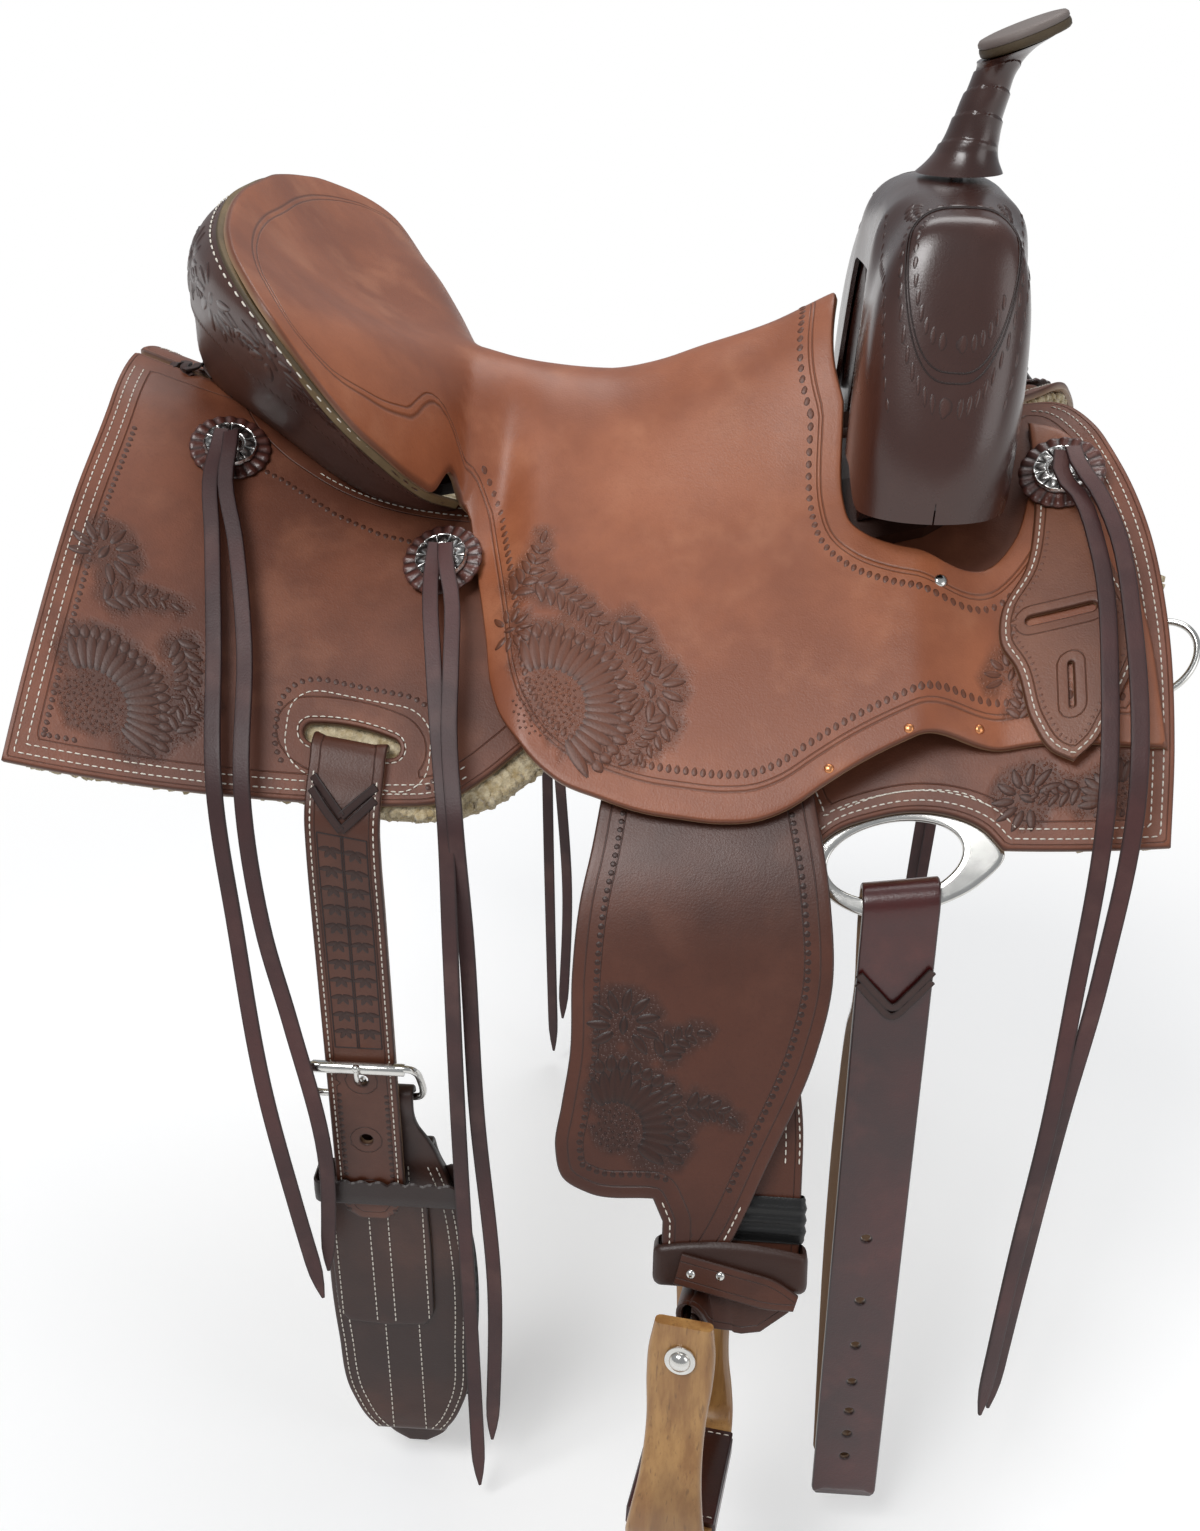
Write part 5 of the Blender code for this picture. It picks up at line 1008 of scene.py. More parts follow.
for side_word, side in SIDES:
    surface = back_skin(side)
    skirt = panel("skirt_" + side_word + "_leather", [skirt_loop, slot_loop], surface, 0.0135, SKIRT_TOP,
                  skirt_leather, values={"matte": matting(SKIRT_CARVING + FRONT_CARVING)})
    place(skirt, ROOT, "skirt_" + side_word, slot="skirt_leather")
    strokes = list(SKIRT_CARVING + FRONT_CARVING)
    inner = inset(skirt_loop, 0.0175)
    rear_edge = (inner[:, 0] < -0.295) & (inner[:, 1] > 0.07)
    front_edge = (inner[:, 0] > 0.29) & (inner[:, 1] > 0.10)
    for run in pieces_of(inner, rear_edge | front_edge):
        strokes += border_stamps(run, 0.0046, 0.0040, 0.0021, 1)
    ring = oblong(-0.184, -0.090, 0.2075, 0.2700, 0.024)
    for run in pieces_of(ring, ring[:, 1] < 0.262):
        strokes += border_stamps(run, 0.0048, 0.0042, 0.0022, -1)
    under_cantle = np.array([(-0.262, 0.050), (-0.235, 0.064), (-0.205, 0.072), (-0.170, 0.088),
                             (-0.140, 0.096), (-0.122, 0.097)])
    strokes += border_stamps(under_cantle, 0.0048, 0.0042, 0.0022, 1)
    place(carve("skirt_carving_" + side_word, strokes, surface, SKIRT_TOP, carved_chestnut), ROOT,
          slot="skirt_leather")
    rows = []
    for distance in (0.0062, 0.0118):
        line = inset(skirt_loop, distance)
        x, s = line[:, 0], line[:, 1]
        under_fender = (x > -0.07) & (x < 0.115) & (s < 0.25)
        under_seat = (x > -0.24) & (x < 0.26) & (s < 0.06)
        shown = (s > 0.02) & ~under_fender & ~under_seat
        rows += [run_on(surface, even(run, 0.002), SKIRT_TOP) for run in pieces_of(line, shown)]
    pocket = oblong(-0.180, -0.094, 0.2130, 0.2670, 0.020)
    rows += [run_on(surface, even(run, 0.002), SKIRT_TOP) for run in pieces_of(pocket, pocket[:, 1] < 0.30)]
    small = inset(slot_loop, -0.0035)
    rows += [run_on(surface, even(small, 0.002, True), SKIRT_TOP)]
    arch = np.array([(0.150, 0.2700), (0.172, 0.2640), (0.200, 0.2640), (0.222, 0.2700), (0.236, 0.2800)])
    rows.append(run_on(surface, even(spline(arch, 30), 0.002), SKIRT_TOP))
    place(stitches("skirt_stitching_" + side_word, rows, thread), ROOT, slot="skirt_leather")

    def wool(u, v, dist):
        waves = np.sin(u * 310 + 2 * np.sin(v * 190)) * np.sin(v * 270 + 2 * np.sin(u * 230))
        return 0.0011 * waves * (dist > 0.002) - 0.0012

    lining = panel("fleece_" + side_word, [round_outline(FLEECE_OUTLINE, (0, 4, 18, 19), 0.004)], surface,
                   0.0004, 0.0128, fleece, spacing=0.006, edge=0.0045, offsets=(0.0015, 0.0045), lift=wool)
    place(lining, ROOT, "fleece_lining_" + side_word, slot="fleece")
    edge_line = inset(round_outline(FLEECE_OUTLINE, (0, 4, 18, 19), 0.004), 0.0020)
    edge_line = even(edge_line, 0.0042, True)
    tufts = []
    for layer in range(3):
        for q in edge_line:
            size = 0.0028 + 0.0014 * rng.random()
            centre = on_back(q[0] + rng.normal() * 0.0008, q[1] + rng.normal() * 0.0008,
                             0.0025 + layer * 0.0037, side)
            tufts.append((centre, size))
    ball = bmesh.new()
    bmesh.ops.create_icosphere(ball, subdivisions=1, radius=1.0)
    shape = np.array([tuple(p.co) for p in ball.verts])
    tris = np.array([[p.index for p in f.verts] for f in ball.faces])
    ball.free()
    verts = np.concatenate([centre + shape * size * (0.8 + 0.35 * rng.random((len(shape), 1)))
                            for centre, size in tufts])
    faces = np.concatenate([tris + k * len(shape) for k in range(len(tufts))])
    place(make_mesh("fleece_curls_" + side_word, verts, faces, fleece), ROOT, slot="fleece")


# Seat and jockeys
JOCKEY_EDGE = [(-0.083, 0.090), (-0.066, 0.167), (-0.060, 0.198), (-0.052, 0.218), (-0.032, 0.242),
               (-0.014, 0.256), (0.011, 0.265), (0.034, 0.272), (0.058, 0.276), (0.081, 0.279),
               (0.104, 0.278), (0.121, 0.272), (0.139, 0.261), (0.155, 0.252), (0.184, 0.240),
               (0.217, 0.241), (0.262, 0.250), (0.330, 0.269), (0.328, 0.241), (0.325, 0.205),
               (0.316, 0.153), (0.301, 0.085), (0.284, 0.048), (0.266, 0.036)]
SWELL_CUT = [(0.266, 0.078), (0.261, 0.098), (0.254, 0.116), (0.238, 0.131), (0.215, 0.1375),
             (0.195, 0.1345), (0.178, 0.129), (0.164, 0.122), (0.154, 0.113), (0.150, 0.100),
             (0.149, 0.060), (0.143, 0.045)]
half = [(x, y) for y, x, _ in RIM[1:]]
half += [(x, float(on_back(x, s, jockey_offset(x), 1)[1])) for x, s in JOCKEY_EDGE] + SWELL_CUT
SEAT_OUTLINE = [(RIM[0][1], 0.0)] + half + [(0.143, 0.0)] + [(x, -y) for x, y in reversed(half)]
n_rim, n_half = len(RIM) - 1, len(half)
corners = [n_rim + 1, n_rim + 18, n_rim + 24, n_rim + 25, n_half - 1]
sharp = set(corners) | {2 * n_half + 2 - k for k in corners}
seat_loop = round_outline(SEAT_OUTLINE, sharp)


def seat_surface(u, v, off):
    return seat_point(u, v, -np.asarray(off))


def jockey_surface(side):
    """The jockey's own skin as x and distance down the back."""
    def surface(u, v, off):
        flat = on_back(u, v, jockey_offset(u), side)
        return seat_point(flat[..., 0], flat[..., 1], -np.asarray(off))
    return surface


JOCKEY_CARVING = (petals(-0.0240, 0.2130, 0.0225, 0.0290, -2.0, 0.95, 19, 0.0034)
                  + seeds(-0.0240, 0.2130, 0.0210)
                  + petals(-0.0240, 0.2130, 0.0430, 0.0110, -1.9, 0.80, 20, 0.0028)
                  + spray(-0.0500, 0.1400, -0.9, 5, 0.0145, 0.0034, bend=-0.6)
                  + spray(-0.0360, 0.1330, 0.35, 7, 0.0150, 0.0034, bend=0.6)
                  + spray(0.0150, 0.1560, 0.75, 6, 0.0150, 0.0033, bend=0.7)
                  + pod(0.0370, 0.1990, 0.9, 0.024)
                  + spray(0.0480, 0.2150, 1.9, 5, 0.0130, 0.0031, bend=0.7)
                  + pod(-0.0500, 0.1640, -0.2, 0.016))
FRONT_JOCKEY = (spray(0.2520, 0.2330, -1.5, 5, 0.0110, 0.0026, bend=0.5) + pod(0.2480, 0.2050, -1.3, 0.018)
                + petals(0.2620, 0.2300, 0.0040, 0.0140, -2.0, -0.2, 7, 0.0026))


def seat_matte(u, v, dist):
    mask = np.zeros(len(u))
    near = np.abs(v) > 0.08
    x = u[near]
    s = way_down(x, np.abs(v[near]), jockey_offset(x), 0.45, 24)
    mask[near] = matting(JOCKEY_CARVING + FRONT_JOCKEY)(x, s, dist[near])
    return mask


seat = panel("seat_leather_sheet", [seat_loop], seat_surface, -LEATHER, 0.0, seat_leather, spacing=0.0055,
             values={"matte": seat_matte})
place(seat, ROOT, "seat", slot="light_leather")
stamp_line = inset(seat_loop, 0.0178)
away = ~((stamp_line[:, 0] < -0.085) | (np.abs(stamp_line[:, 1]) < 0.012) & (stamp_line[:, 0] < 0.12))
strokes = []
for run in pieces_of(stamp_line, away):
    strokes += border_stamps(run, 0.0050, 0.0044, 0.0023, 1)
place(carve("seat_border", strokes, seat_surface, 0.0, carved_russet), ROOT, slot="light_leather")
for side_word, side in SIDES:
    place(carve("jockey_carving_" + side_word, JOCKEY_CARVING + FRONT_JOCKEY, jockey_surface(side), 0.0,
                carved_russet), ROOT, slot="light_leather")


# Cantle band
def band_grid(values, count):
    table = []
    for k, (y, x, _) in enumerate(RIM):
        rim_3d = seat_point(x, y, LEATHER + 0.0014)
        foot = on_back(BAND_FOOT[k][0], BAND_FOOT[k][1], SKIRT_TOP + 0.0008, 1)
        y0, x0, _ = RIM[max(0, k - 1)]
        y1, x1, _ = RIM[min(len(RIM) - 1, k + 1)]
        along = unit(np.array([x1 - x0, y1 - y0, 0.0]))
        out = np.array([-1.0, 0, 0]) if k == 0 else np.array([-along[1], along[0], 0])
        bulge = rim_3d + out * BAND_BULGE[k] + np.array([0, 0, -0.35 * BAND_BULGE[k]])
        table.append(np.concatenate([rim_3d, bulge, foot]))
    off = [row * np.tile([1, -1, 1], 3) for row in table[1:]]
    whole = spline(np.array(off[::-1] + table), count)
    v = np.asarray(values)[None, :, None]
    rim, bulge, foot = (whole[:, None, k:k + 3] for k in (0, 3, 6))
    return rim * (1 - v) ** 2 + bulge * 2 * v * (1 - v) + foot * v * v


BAND_V = np.linspace(0, 1, 29)
BAND_COUNT = 160
band = band_grid(BAND_V, BAND_COUNT)
du, dv = np.gradient(band, axis=0), np.gradient(band, axis=1)
band_normal = unit(np.cross(dv, du))
middle = (BAND_COUNT // 2, len(BAND_V) // 2)
inwards = np.array([0.0, 0, 0.02]) - band[middle]
if np.dot(band_normal[middle], inwards) > 0:
    band_normal = -band_normal
BAND_THICKNESS = 0.0036
BAND_DEPTH = 0.115


def band_surface(u, v, off):
    """The band's face: u is 0 at the off tip and 1 at the near tip, v is 0 at the rim and 1 at the foot."""
    u, v, off = arrays(u, v, off)
    last_i, last_j = BAND_COUNT - 1, len(BAND_V) - 1
    i, j = np.clip(u, 0, 1) * last_i, np.clip(v, 0, 1) * last_j
    i0, j0 = np.minimum(i.astype(int), last_i - 1), np.minimum(j.astype(int), last_j - 1)
    fi, fj = (i - i0)[..., None], (j - j0)[..., None]

    def read(grid):
        return ((grid[i0, j0] * (1 - fj) + grid[i0, j0 + 1] * fj) * (1 - fi)
                + (grid[i0 + 1, j0] * (1 - fj) + grid[i0 + 1, j0 + 1] * fj) * fi)
    return read(band) + read(band_normal) * off[..., None]


roll = 0.0022 * np.clip(1 - np.abs(BAND_V - 0.90) / 0.09, 0, 1) ** 0.5
dip = -0.0006 * np.exp(-((BAND_V - 0.74) / 0.02) ** 2)
outer = band + band_normal * (roll + dip)[None, :, None]
inner_face = band - band_normal * BAND_THICKNESS
rings = np.concatenate([outer, inner_face[:, ::-1]], axis=1)
cover = lofted("cantle_band", rings, band_leather)
place(cover, ROOT, "cantle_back", slot="dark_leather")
length_band = float(np.linalg.norm(np.diff(band[:, 10], axis=0), axis=1).sum())
strokes = []
for k, u in enumerate(np.linspace(0.09, 0.91, 12)):
    strokes_here = pod(0, 0, 1.2 if k % 2 else -1.2, 0.030)
    strokes_here += spray(0.026, 0.0, 0.3, 4, 0.0125, 0.0028)
    strokes_here += spray(-0.026, 0.004, 2.9, 3, 0.0110, 0.0026)
    for a, b, way, long, wide, bend, high, flutes in strokes_here:
        strokes.append((u * length_band + a, 0.043 + b, way, long, wide, bend, high, flutes))


def band_metric(u, v, off):
    return band_surface(np.asarray(u) / length_band, np.asarray(v) / BAND_DEPTH, off)


place(carve("cantle_carving", strokes, band_metric, 0.0, carved_dark), ROOT, slot="dark_leather")
line = np.stack([np.linspace(0.02, 0.98, 260) * length_band, np.full(260, 0.0105)], -1)
strokes = border_stamps(np.stack([np.linspace(0.03, 0.97, 260) * length_band, np.full(260, 0.080)], -1),
                        0.0052, 0.0042, 0.0022, -1)
place(carve("cantle_border", strokes, band_metric, 0.0, carved_dark), ROOT, slot="dark_leather")
place(stitches("cantle_stitching", [run_on(band_metric, line, 0.0004)], thread, pitch=0.0085, length=0.0048,
               radius=0.0006), ROOT, slot="dark_leather")
edge_ring = band_surface(np.linspace(0, 1, 200), np.full(200, 0.0), -0.0012)
upper = band_surface(np.linspace(0, 1, 200), np.full(200, 0.02), 0.0)
binding = strap("cantle_binding", (edge_ring + upper) / 2, unit(upper - edge_ring), 0.0062, 0.0032,
                raw_edge, rounding=0.0014)
place(binding, ROOT, slot="dark_leather")


# Swell cover
SWELL_END = 0.156
SWELL_GIRTH = 0.090


def swell_surface(angle, y, off):
    """The swell's skin: angle 0 at the rear foot, pi at the front foot."""
    angle, y, off = arrays(angle, y, off)
    far = np.abs(y)
    end = np.minimum(1, far / SWELL_END)
    half_length = (0.0440 + 0.006 * smooth(far, 0, 0.09)) * np.sqrt(np.maximum(0.0001, 1 - end ** 8))
    top = 0.1965 - 0.30 * far ** 1.5 - 0.075 * smooth(far, 0.10, SWELL_END)
    foot = 0.140 - 0.096 * smooth(far, 0.045, 0.078) - 0.021 * smooth(far, 0.105, 0.135)
    close = np.sqrt(np.maximum(0.0001, 1 - end ** 9))
    top = foot + 0.012 + (top - foot - 0.012) * close
    centre = 0.203 + 0.0020 - 0.002 * end
    c, s = np.cos(angle), np.sin(angle)
    x = centre - (half_length + off) * np.sign(c) * np.abs(c) ** 0.62
    z = foot + (top + off - foot) * np.abs(s) ** 0.62
    return np.stack([x + 0.05 * (z - 0.12), y + np.sign(y) * off * 0.4 * smooth(far, 0.1, 0.15), z], -1)


ys = np.sin(np.linspace(-np.pi / 2, np.pi / 2, 91)) * SWELL_END
angles = np.linspace(0, np.pi, 49)
angles = angles - 0.30 * np.sin(4 * angles) / 4
outer = swell_surface(angles[None, :], ys[:, None], 0.0)
inner_face = swell_surface(angles[None, ::-1], ys[:, None] * 0.985, -0.0030)
rings = np.concatenate([outer, inner_face], axis=1)
cover = lofted("swell_leather_cover", rings, swell_leather)
place(cover, ROOT, "swell_cover", slot="dark_leather")


def swell_metric(side):
    """u runs from the rear foot over the top to the front foot, v outwards from the middle, in metres."""
    def surface(u, v, off):
        return swell_surface(np.asarray(u) / SWELL_GIRTH * np.pi / 2 + np.pi / 2, np.asarray(v) * side, off)
    return surface


for side_word, side in SIDES:
    skin = swell_metric(side)
    q = full_turn(90)
    oval = np.stack([0.002 + 0.034 * np.cos(q), 0.112 + 0.031 * np.sin(q)], -1)
    strokes = border_stamps(np.concatenate([oval, oval[:1]]), 0.0052, 0.0046, 0.0024, -1)
    inner_oval = np.stack([0.002 + 0.026 * np.cos(q), 0.112 + 0.023 * np.sin(q)], -1)
    strokes += border_stamps(inner_oval[8:60], 0.0048, 0.0040, 0.0021, 1)
    for row in (-0.052, 0.050):
        edge_row = np.stack([np.full(60, row), np.linspace(0.050, 0.138, 60)], -1)
        strokes += border_stamps(edge_row, 0.0050, 0.0042, 0.0022, 1 if row > 0 else -1)
    strokes += spray(0.020, 0.062, 1.2, 4, 0.0100, 0.0028)
    strokes += spray(-0.020, 0.062, 1.9, 4, 0.0100, 0.0028, bend=-0.9)
    place(carve("swell_carving_" + side_word, strokes, skin, 0.0, carved_dark), ROOT, slot="dark_leather")
    for k, (au, av) in enumerate(((0.0295, 0.0265), (0.0315, 0.0285))):
        ring = skin(0.002 + au * np.cos(q), 0.112 + av * np.sin(q), np.full(90, 0.0002))
        place(tube("swell_line_%s_%d" % (side_word, k), ring, 0.0005, lace_leather, closed=True, sides=6,
                   count=180), ROOT, slot="dark_leather")


def path_surface(centres, across, normals, count=300):
    """A surface along a path: u across it, v along it, in metres."""
    packed = spline(np.concatenate([np.asarray(centres, float), np.asarray(across, float),
                                    np.asarray(normals, float)], 1), count)
    c, a, n = packed[:, :3], unit(packed[:, 3:6]), unit(packed[:, 6:9])
    reach = distances(c)

    def surface(u, v, off):
        u, v, off = arrays(u, v, off)
        read = [np.stack([np.interp(v, reach, grid[:, k]) for k in range(3)], -1) for grid in (c, a, n)]
        return read[0] + read[1] * u[..., None] + read[2] * off[..., None]
    return surface, float(reach[-1])


def disc(u, v, radius, count=14):
    a = full_turn(count)
    return np.stack([u + radius * np.cos(a), v + radius * np.sin(a)], -1)


def ribbon(name, surface, table, thickness, material, holes, spacing):
    """A strap cut to a width table of (v, half width), with its holes, laid on a path surface."""
    v = np.linspace(table[0][0], table[-1][0], max(12, int((table[-1][0] - table[0][0]) / 0.003)))
    w = np.interp(v, [q[0] for q in table], [q[1] for q in table])
    loop = np.concatenate([np.stack([w, v], -1), np.stack([-w, v], -1)[::-1]])
    made = panel(name, [loop] + [np.asarray(h) for h in holes], surface, -thickness / 2, thickness / 2,
                 material, spacing=spacing, edge=0.0010)
    return made


def turned(name, centre, axis, profile, material, sides=36):
    axis = unit(np.asarray(axis, float))
    side = unit(np.cross(axis, [0.31, 0.52, 0.79]))
    other = np.cross(axis, side)
    a = full_turn(sides)[:, None]
    rings = [np.asarray(centre) + axis * h + (side * np.cos(a) + other * np.sin(a)) * r for r, h in profile]
    return lofted(name, rings, material)


def flip(points, side):
    """Off-side points carried to the given side."""
    return np.asarray(points, float) * np.array([1, -side, 1])


# Fenders, stirrup leathers and what holds them
FENDER_OUTLINE = [(0.030, 0.062), (0.018, 0.110), (0.012, 0.150), (0.007, 0.190), (0.002, 0.219),
                  (-0.001, 0.260), (-0.001, 0.308), (-0.005, 0.338), (-0.008, 0.363), (-0.003, 0.381),
                  (0.012, 0.389), (0.050, 0.390), (0.056, 0.403), (0.056, 0.4365), (0.083, 0.4365),
                  (0.093, 0.419), (0.117, 0.362), (0.140, 0.301), (0.148, 0.259), (0.145, 0.213),
                  (0.137, 0.166), (0.128, 0.120), (0.112, 0.062)]
FENDER_CARVING = (petals(0.0270, 0.3500, 0.0150, 0.0235, -2.05, 0.55, 13, 0.0034)
                  + seeds(0.0270, 0.3500, 0.0140)
                  + petals(0.0270, 0.3500, 0.0340, 0.0105, -1.85, 0.40, 13, 0.0028)
                  + pod(0.0300, 0.2880, -1.5, 0.024) + spray(0.0520, 0.3060, -1.0, 4, 0.0125, 0.0036)
                  + spray(0.0680, 0.3350, -0.2, 4, 0.0120, 0.0034))
fender_loop = round_outline(FENDER_OUTLINE, (0, 11, 12, 13, 14, 22))
TURNED, DROOPED = math.radians(8), math.radians(10)
BOLT_AXIS = unit(np.array([math.sin(TURNED), math.cos(TURNED) * math.cos(DROOPED),
                           -math.cos(TURNED) * math.sin(DROOPED)]))
PLUMB = np.array([0.0, 0.0, -1.0])
FORE = unit(np.cross(BOLT_AXIS, PLUMB))
UNDER = unit(np.cross(FORE, BOLT_AXIS))

ts = np.concatenate([np.linspace(0.003, 0.430, 44), [0.440]])
centres = [hang_point(leather_x(t), t, 0.0019 + leather_rise(t)) for t in ts]
acrosses = [unit(hang_point(PIVOT_X + 0.01, t, 0.0) - hang_point(PIVOT_X, t, 0.0)) for t in ts]
alongs = [unit(hang_point(PIVOT_X, t + 0.01, 0.0) - hang_point(PIVOT_X, t - 0.01, 0.0)) for t in ts]
normals = [unit(np.cross(a, b)) for a, b in zip(acrosses, alongs)]
normals = [n if n[2] > 0 else -n for n in normals]
widths = [LEATHER_WIDTH] * len(ts)
radius = BOLT_RADIUS + 0.0008 + 0.0017
loop_start = BOLT + FORE * radius
start, start_normal = centres[-1], normals[-1]
for t in (0.25, 0.5, 0.75):
    centres.append(start * (1 - t) + (loop_start - UNDER * 0.010) * t)
    acrosses.append(unit(np.array([1.0, 0, 0]) * (1 - smooth(t, 0, 1)) - BOLT_AXIS * smooth(t, 0, 1)))
    normals.append(unit(start_normal * (1 - smooth(t, 0, 1)) + FORE * smooth(t, 0, 1)))
    widths.append(LEATHER_WIDTH * (1 - t) + 0.040 * t)
centres.append(loop_start - UNDER * 0.006)
acrosses.append(-BOLT_AXIS)
normals.append(FORE)
widths.append(0.038)
for k in range(10):
    a = math.radians(30 * k)
    out_way = FORE * math.cos(a) + UNDER * math.sin(a)
    centres.append(BOLT + out_way * radius)
    acrosses.append(-BOLT_AXIS)
    normals.append(out_way)
    widths.append(0.038)


def rounded_box(x0, x1, y0, y1, corner, step, first=0):
    """Points round a box, each with its outward direction, from the given corner on."""
    centres = ((x1 - corner, y1 - corner), (x0 + corner, y1 - corner), (x0 + corner, y0 + corner),
               (x1 - corner, y0 + corner))
    points = []
    for k in range(first, first + 4):
        x, y = centres[k % 4]
        for a in np.linspace(k * np.pi / 2, (k + 1) * np.pi / 2, 5):
            points.append((x + corner * math.cos(a), y + corner * math.sin(a), math.cos(a), math.sin(a)))
    dense = []
    for p, q in zip(points, points[1:] + points[:1]):
        n = max(1, int(math.hypot(q[0] - p[0], q[1] - p[1]) / step))
        dense += [[p[k] + (q[k] - p[k]) * j / n for k in range(4)] for j in range(n)]
    return dense


def band_loop(name, t0, t1, x0, x1, r0, r1, thickness, material, side, bow=0.0, ribs=0):
    """A closed leather band round the hanging leathers."""
    rings = []
    for x, r, ox, orr in rounded_box(x0, x1, r0, r1, 0.0026, 0.004):
        mid = (x - (x0 + x1) / 2) / (x1 - x0) * 2
        top = t0 + bow * (1 - mid * mid)
        section = []
        for f in np.linspace(0, 1, 17):
            ridge = 0.35 * math.cos(2 * math.pi * ribs * f) if ribs else 0
            bulge = thickness * (1.0 - 0.9 * abs(2 * f - 1) ** 8) * (1 + ridge)
            section.append((top + (t1 - top) * f, bulge))
        section += [(t1 - (t1 - top) * f, 0.0) for f in np.linspace(0, 1, 4)]
        rings.append([hang_point(x + ox * d, t, r + orr * d, side) for t, d in section])
    return lofted(name, rings, material, closed=True)


for side_word, side in SIDES:
    body = "fender_" + side_word

    def hanging(u, v, off):
        return hang_point(u, v, off, side)

    piece = panel("fender_%s_leather" % side_word, [fender_loop], hanging, FENDER[0], FENDER[1],
                  fender_leather, values={"matte": matting(FENDER_CARVING)})
    place(piece, body, "fender_" + side_word, slot="light_leather")
    strokes = list(FENDER_CARVING)
    inner = inset(fender_loop, 0.0125)
    for run in pieces_of(inner, (inner[:, 1] > 0.10) & (inner[:, 1] < 0.383)):
        strokes += border_stamps(run, 0.0050, 0.0042, 0.0022, 1)
    place(carve("fender_carving_" + side_word, strokes, hanging, FENDER[1], carved_fender_painted_shade), body,
          slot="light_leather")
    made = strap("stirrup_leather_%s_strap" % side_word, flip(centres, side), flip(acrosses, side), widths,
                 0.0034, strap_leather, normals=flip(normals, side), count=260)
    place(made, body, "stirrup_leather_" + side_word, slot="dark_leather")
    rows = []
    for x in (0.1235, 0.1315):
        t = np.linspace(0.300, 0.368, 40)
        low = hang_point(x + (leather_x(t) - leather_x(0.33)), t, 0.0036 + leather_rise(t), side)
        high = hang_point(x + (leather_x(t) - leather_x(0.33)), t, 0.0076 + leather_rise(t), side)
        rows.append((low, unit(high - low)))
    edge_line = inset(fender_loop, 0.0045)
    for run in pieces_of(edge_line, edge_line[:, 1] > 0.39):
        rows.append(run_on(hanging, even(run, 0.002), FENDER[1]))
    place(stitches("fender_stitching_" + side_word, rows, thread), body, slot="light_leather")
    low = STIRRUP_LEATHER[0] + LEATHER_SHIFT
    middle_x = leather_x(0.43)
    reach = LEATHER_WIDTH / 2 + 0.0018
    place(band_loop("hobble_%s_band" % side_word, 0.4165, 0.4400, 0.0540, middle_x + reach, low - 0.0012,
                    FENDER[1] + 0.0010, 0.0028, strap_leather, side, bow=-0.0045), body,
          "hobble_strap_" + side_word, slot="dark_leather")
    place(band_loop("sleeve_%s_ribbed" % side_word, 0.387, 0.4145, middle_x - reach, middle_x + reach,
                    low - 0.0012, STIRRUP_LEATHER[1] + LEATHER_SHIFT + 0.0012, 0.0014, black_leather, side,
                    ribs=4), "leather_buckle_" + side_word, "leather_buckle_" + side_word,
          slot="stainless_steel")
    tail_centres = [hang_point(x, 0.4275 + 0.004 * k, FENDER[1] + 0.0062, side)
                    for k, x in enumerate((0.066, 0.084, 0.102, 0.120, 0.134))]
    across_tail = unit(hang_point(0.1, 0.42, 0, side) - hang_point(0.1, 0.44, 0, side))
    out_tail = unit(hang_point(0.1, 0.43, 0.01, side) - hang_point(0.1, 0.43, 0, side))
    tail = strap("hobble_tail_" + side_word, tail_centres, across_tail, [0.019, 0.019, 0.019, 0.018, 0.010],
                 0.0026, strap_leather, normals=[out_tail] * 5, count=30)
    place(tail, body, slot="dark_leather")
    for x in (0.0735, 0.0905):
        place(turned("hobble_rivet_%s_%d" % (side_word, x * 1000),
                     hang_point(x, 0.430, FENDER[1] + 0.0072, side), out_tail,
                     [(0.0001, 0.0016), (0.0016, 0.0014), (0.0026, 0.0006), (0.0028, 0.0)], steel, 16),
              body, slot="stainless_steel")


# Stirrups of bent wood
def at_bolt(b, d, w=0.0):
    down = UNDER * math.cos(math.radians(1)) + FORE * math.sin(math.radians(1))
    fore = FORE * math.cos(math.radians(1)) - UNDER * math.sin(math.radians(1))
    return BOLT + BOLT_AXIS * b + down * d + fore * w


shape = [(-0.050, -0.021, 0.033), (-0.050, -0.002, 0.038), (-0.050, 0.014, 0.038), (-0.051, 0.045, 0.034),
         (-0.056, 0.078, 0.036), (-0.0595, 0.104, 0.043), (-0.0575, 0.1175, 0.047),
         (-0.0510, 0.1245, 0.049), (-0.036, 0.128, 0.050), (0.0, 0.128, 0.050)]
full = shape + [(-b, d, w) for b, d, w in reversed(shape[:-1])]
TREAD, WOOD, BOLT_REACH = 0.128, 0.0085, 0.050
BOLT_HEAD = [(0.0001, 0.0058), (0.0022, 0.0056), (0.0048, 0.0044), (0.0060, 0.0026), (0.0062, 0.0016),
             (0.0087, 0.0014), (0.0091, 0.0007), (0.0090, 0.0), (0.0045, 0.0)]
fore_way = unit(at_bolt(0, 0, 1.0) - at_bolt(0, 0, 0.0))
down_way = unit(at_bolt(0, 1.0) - at_bolt(0, 0.0))
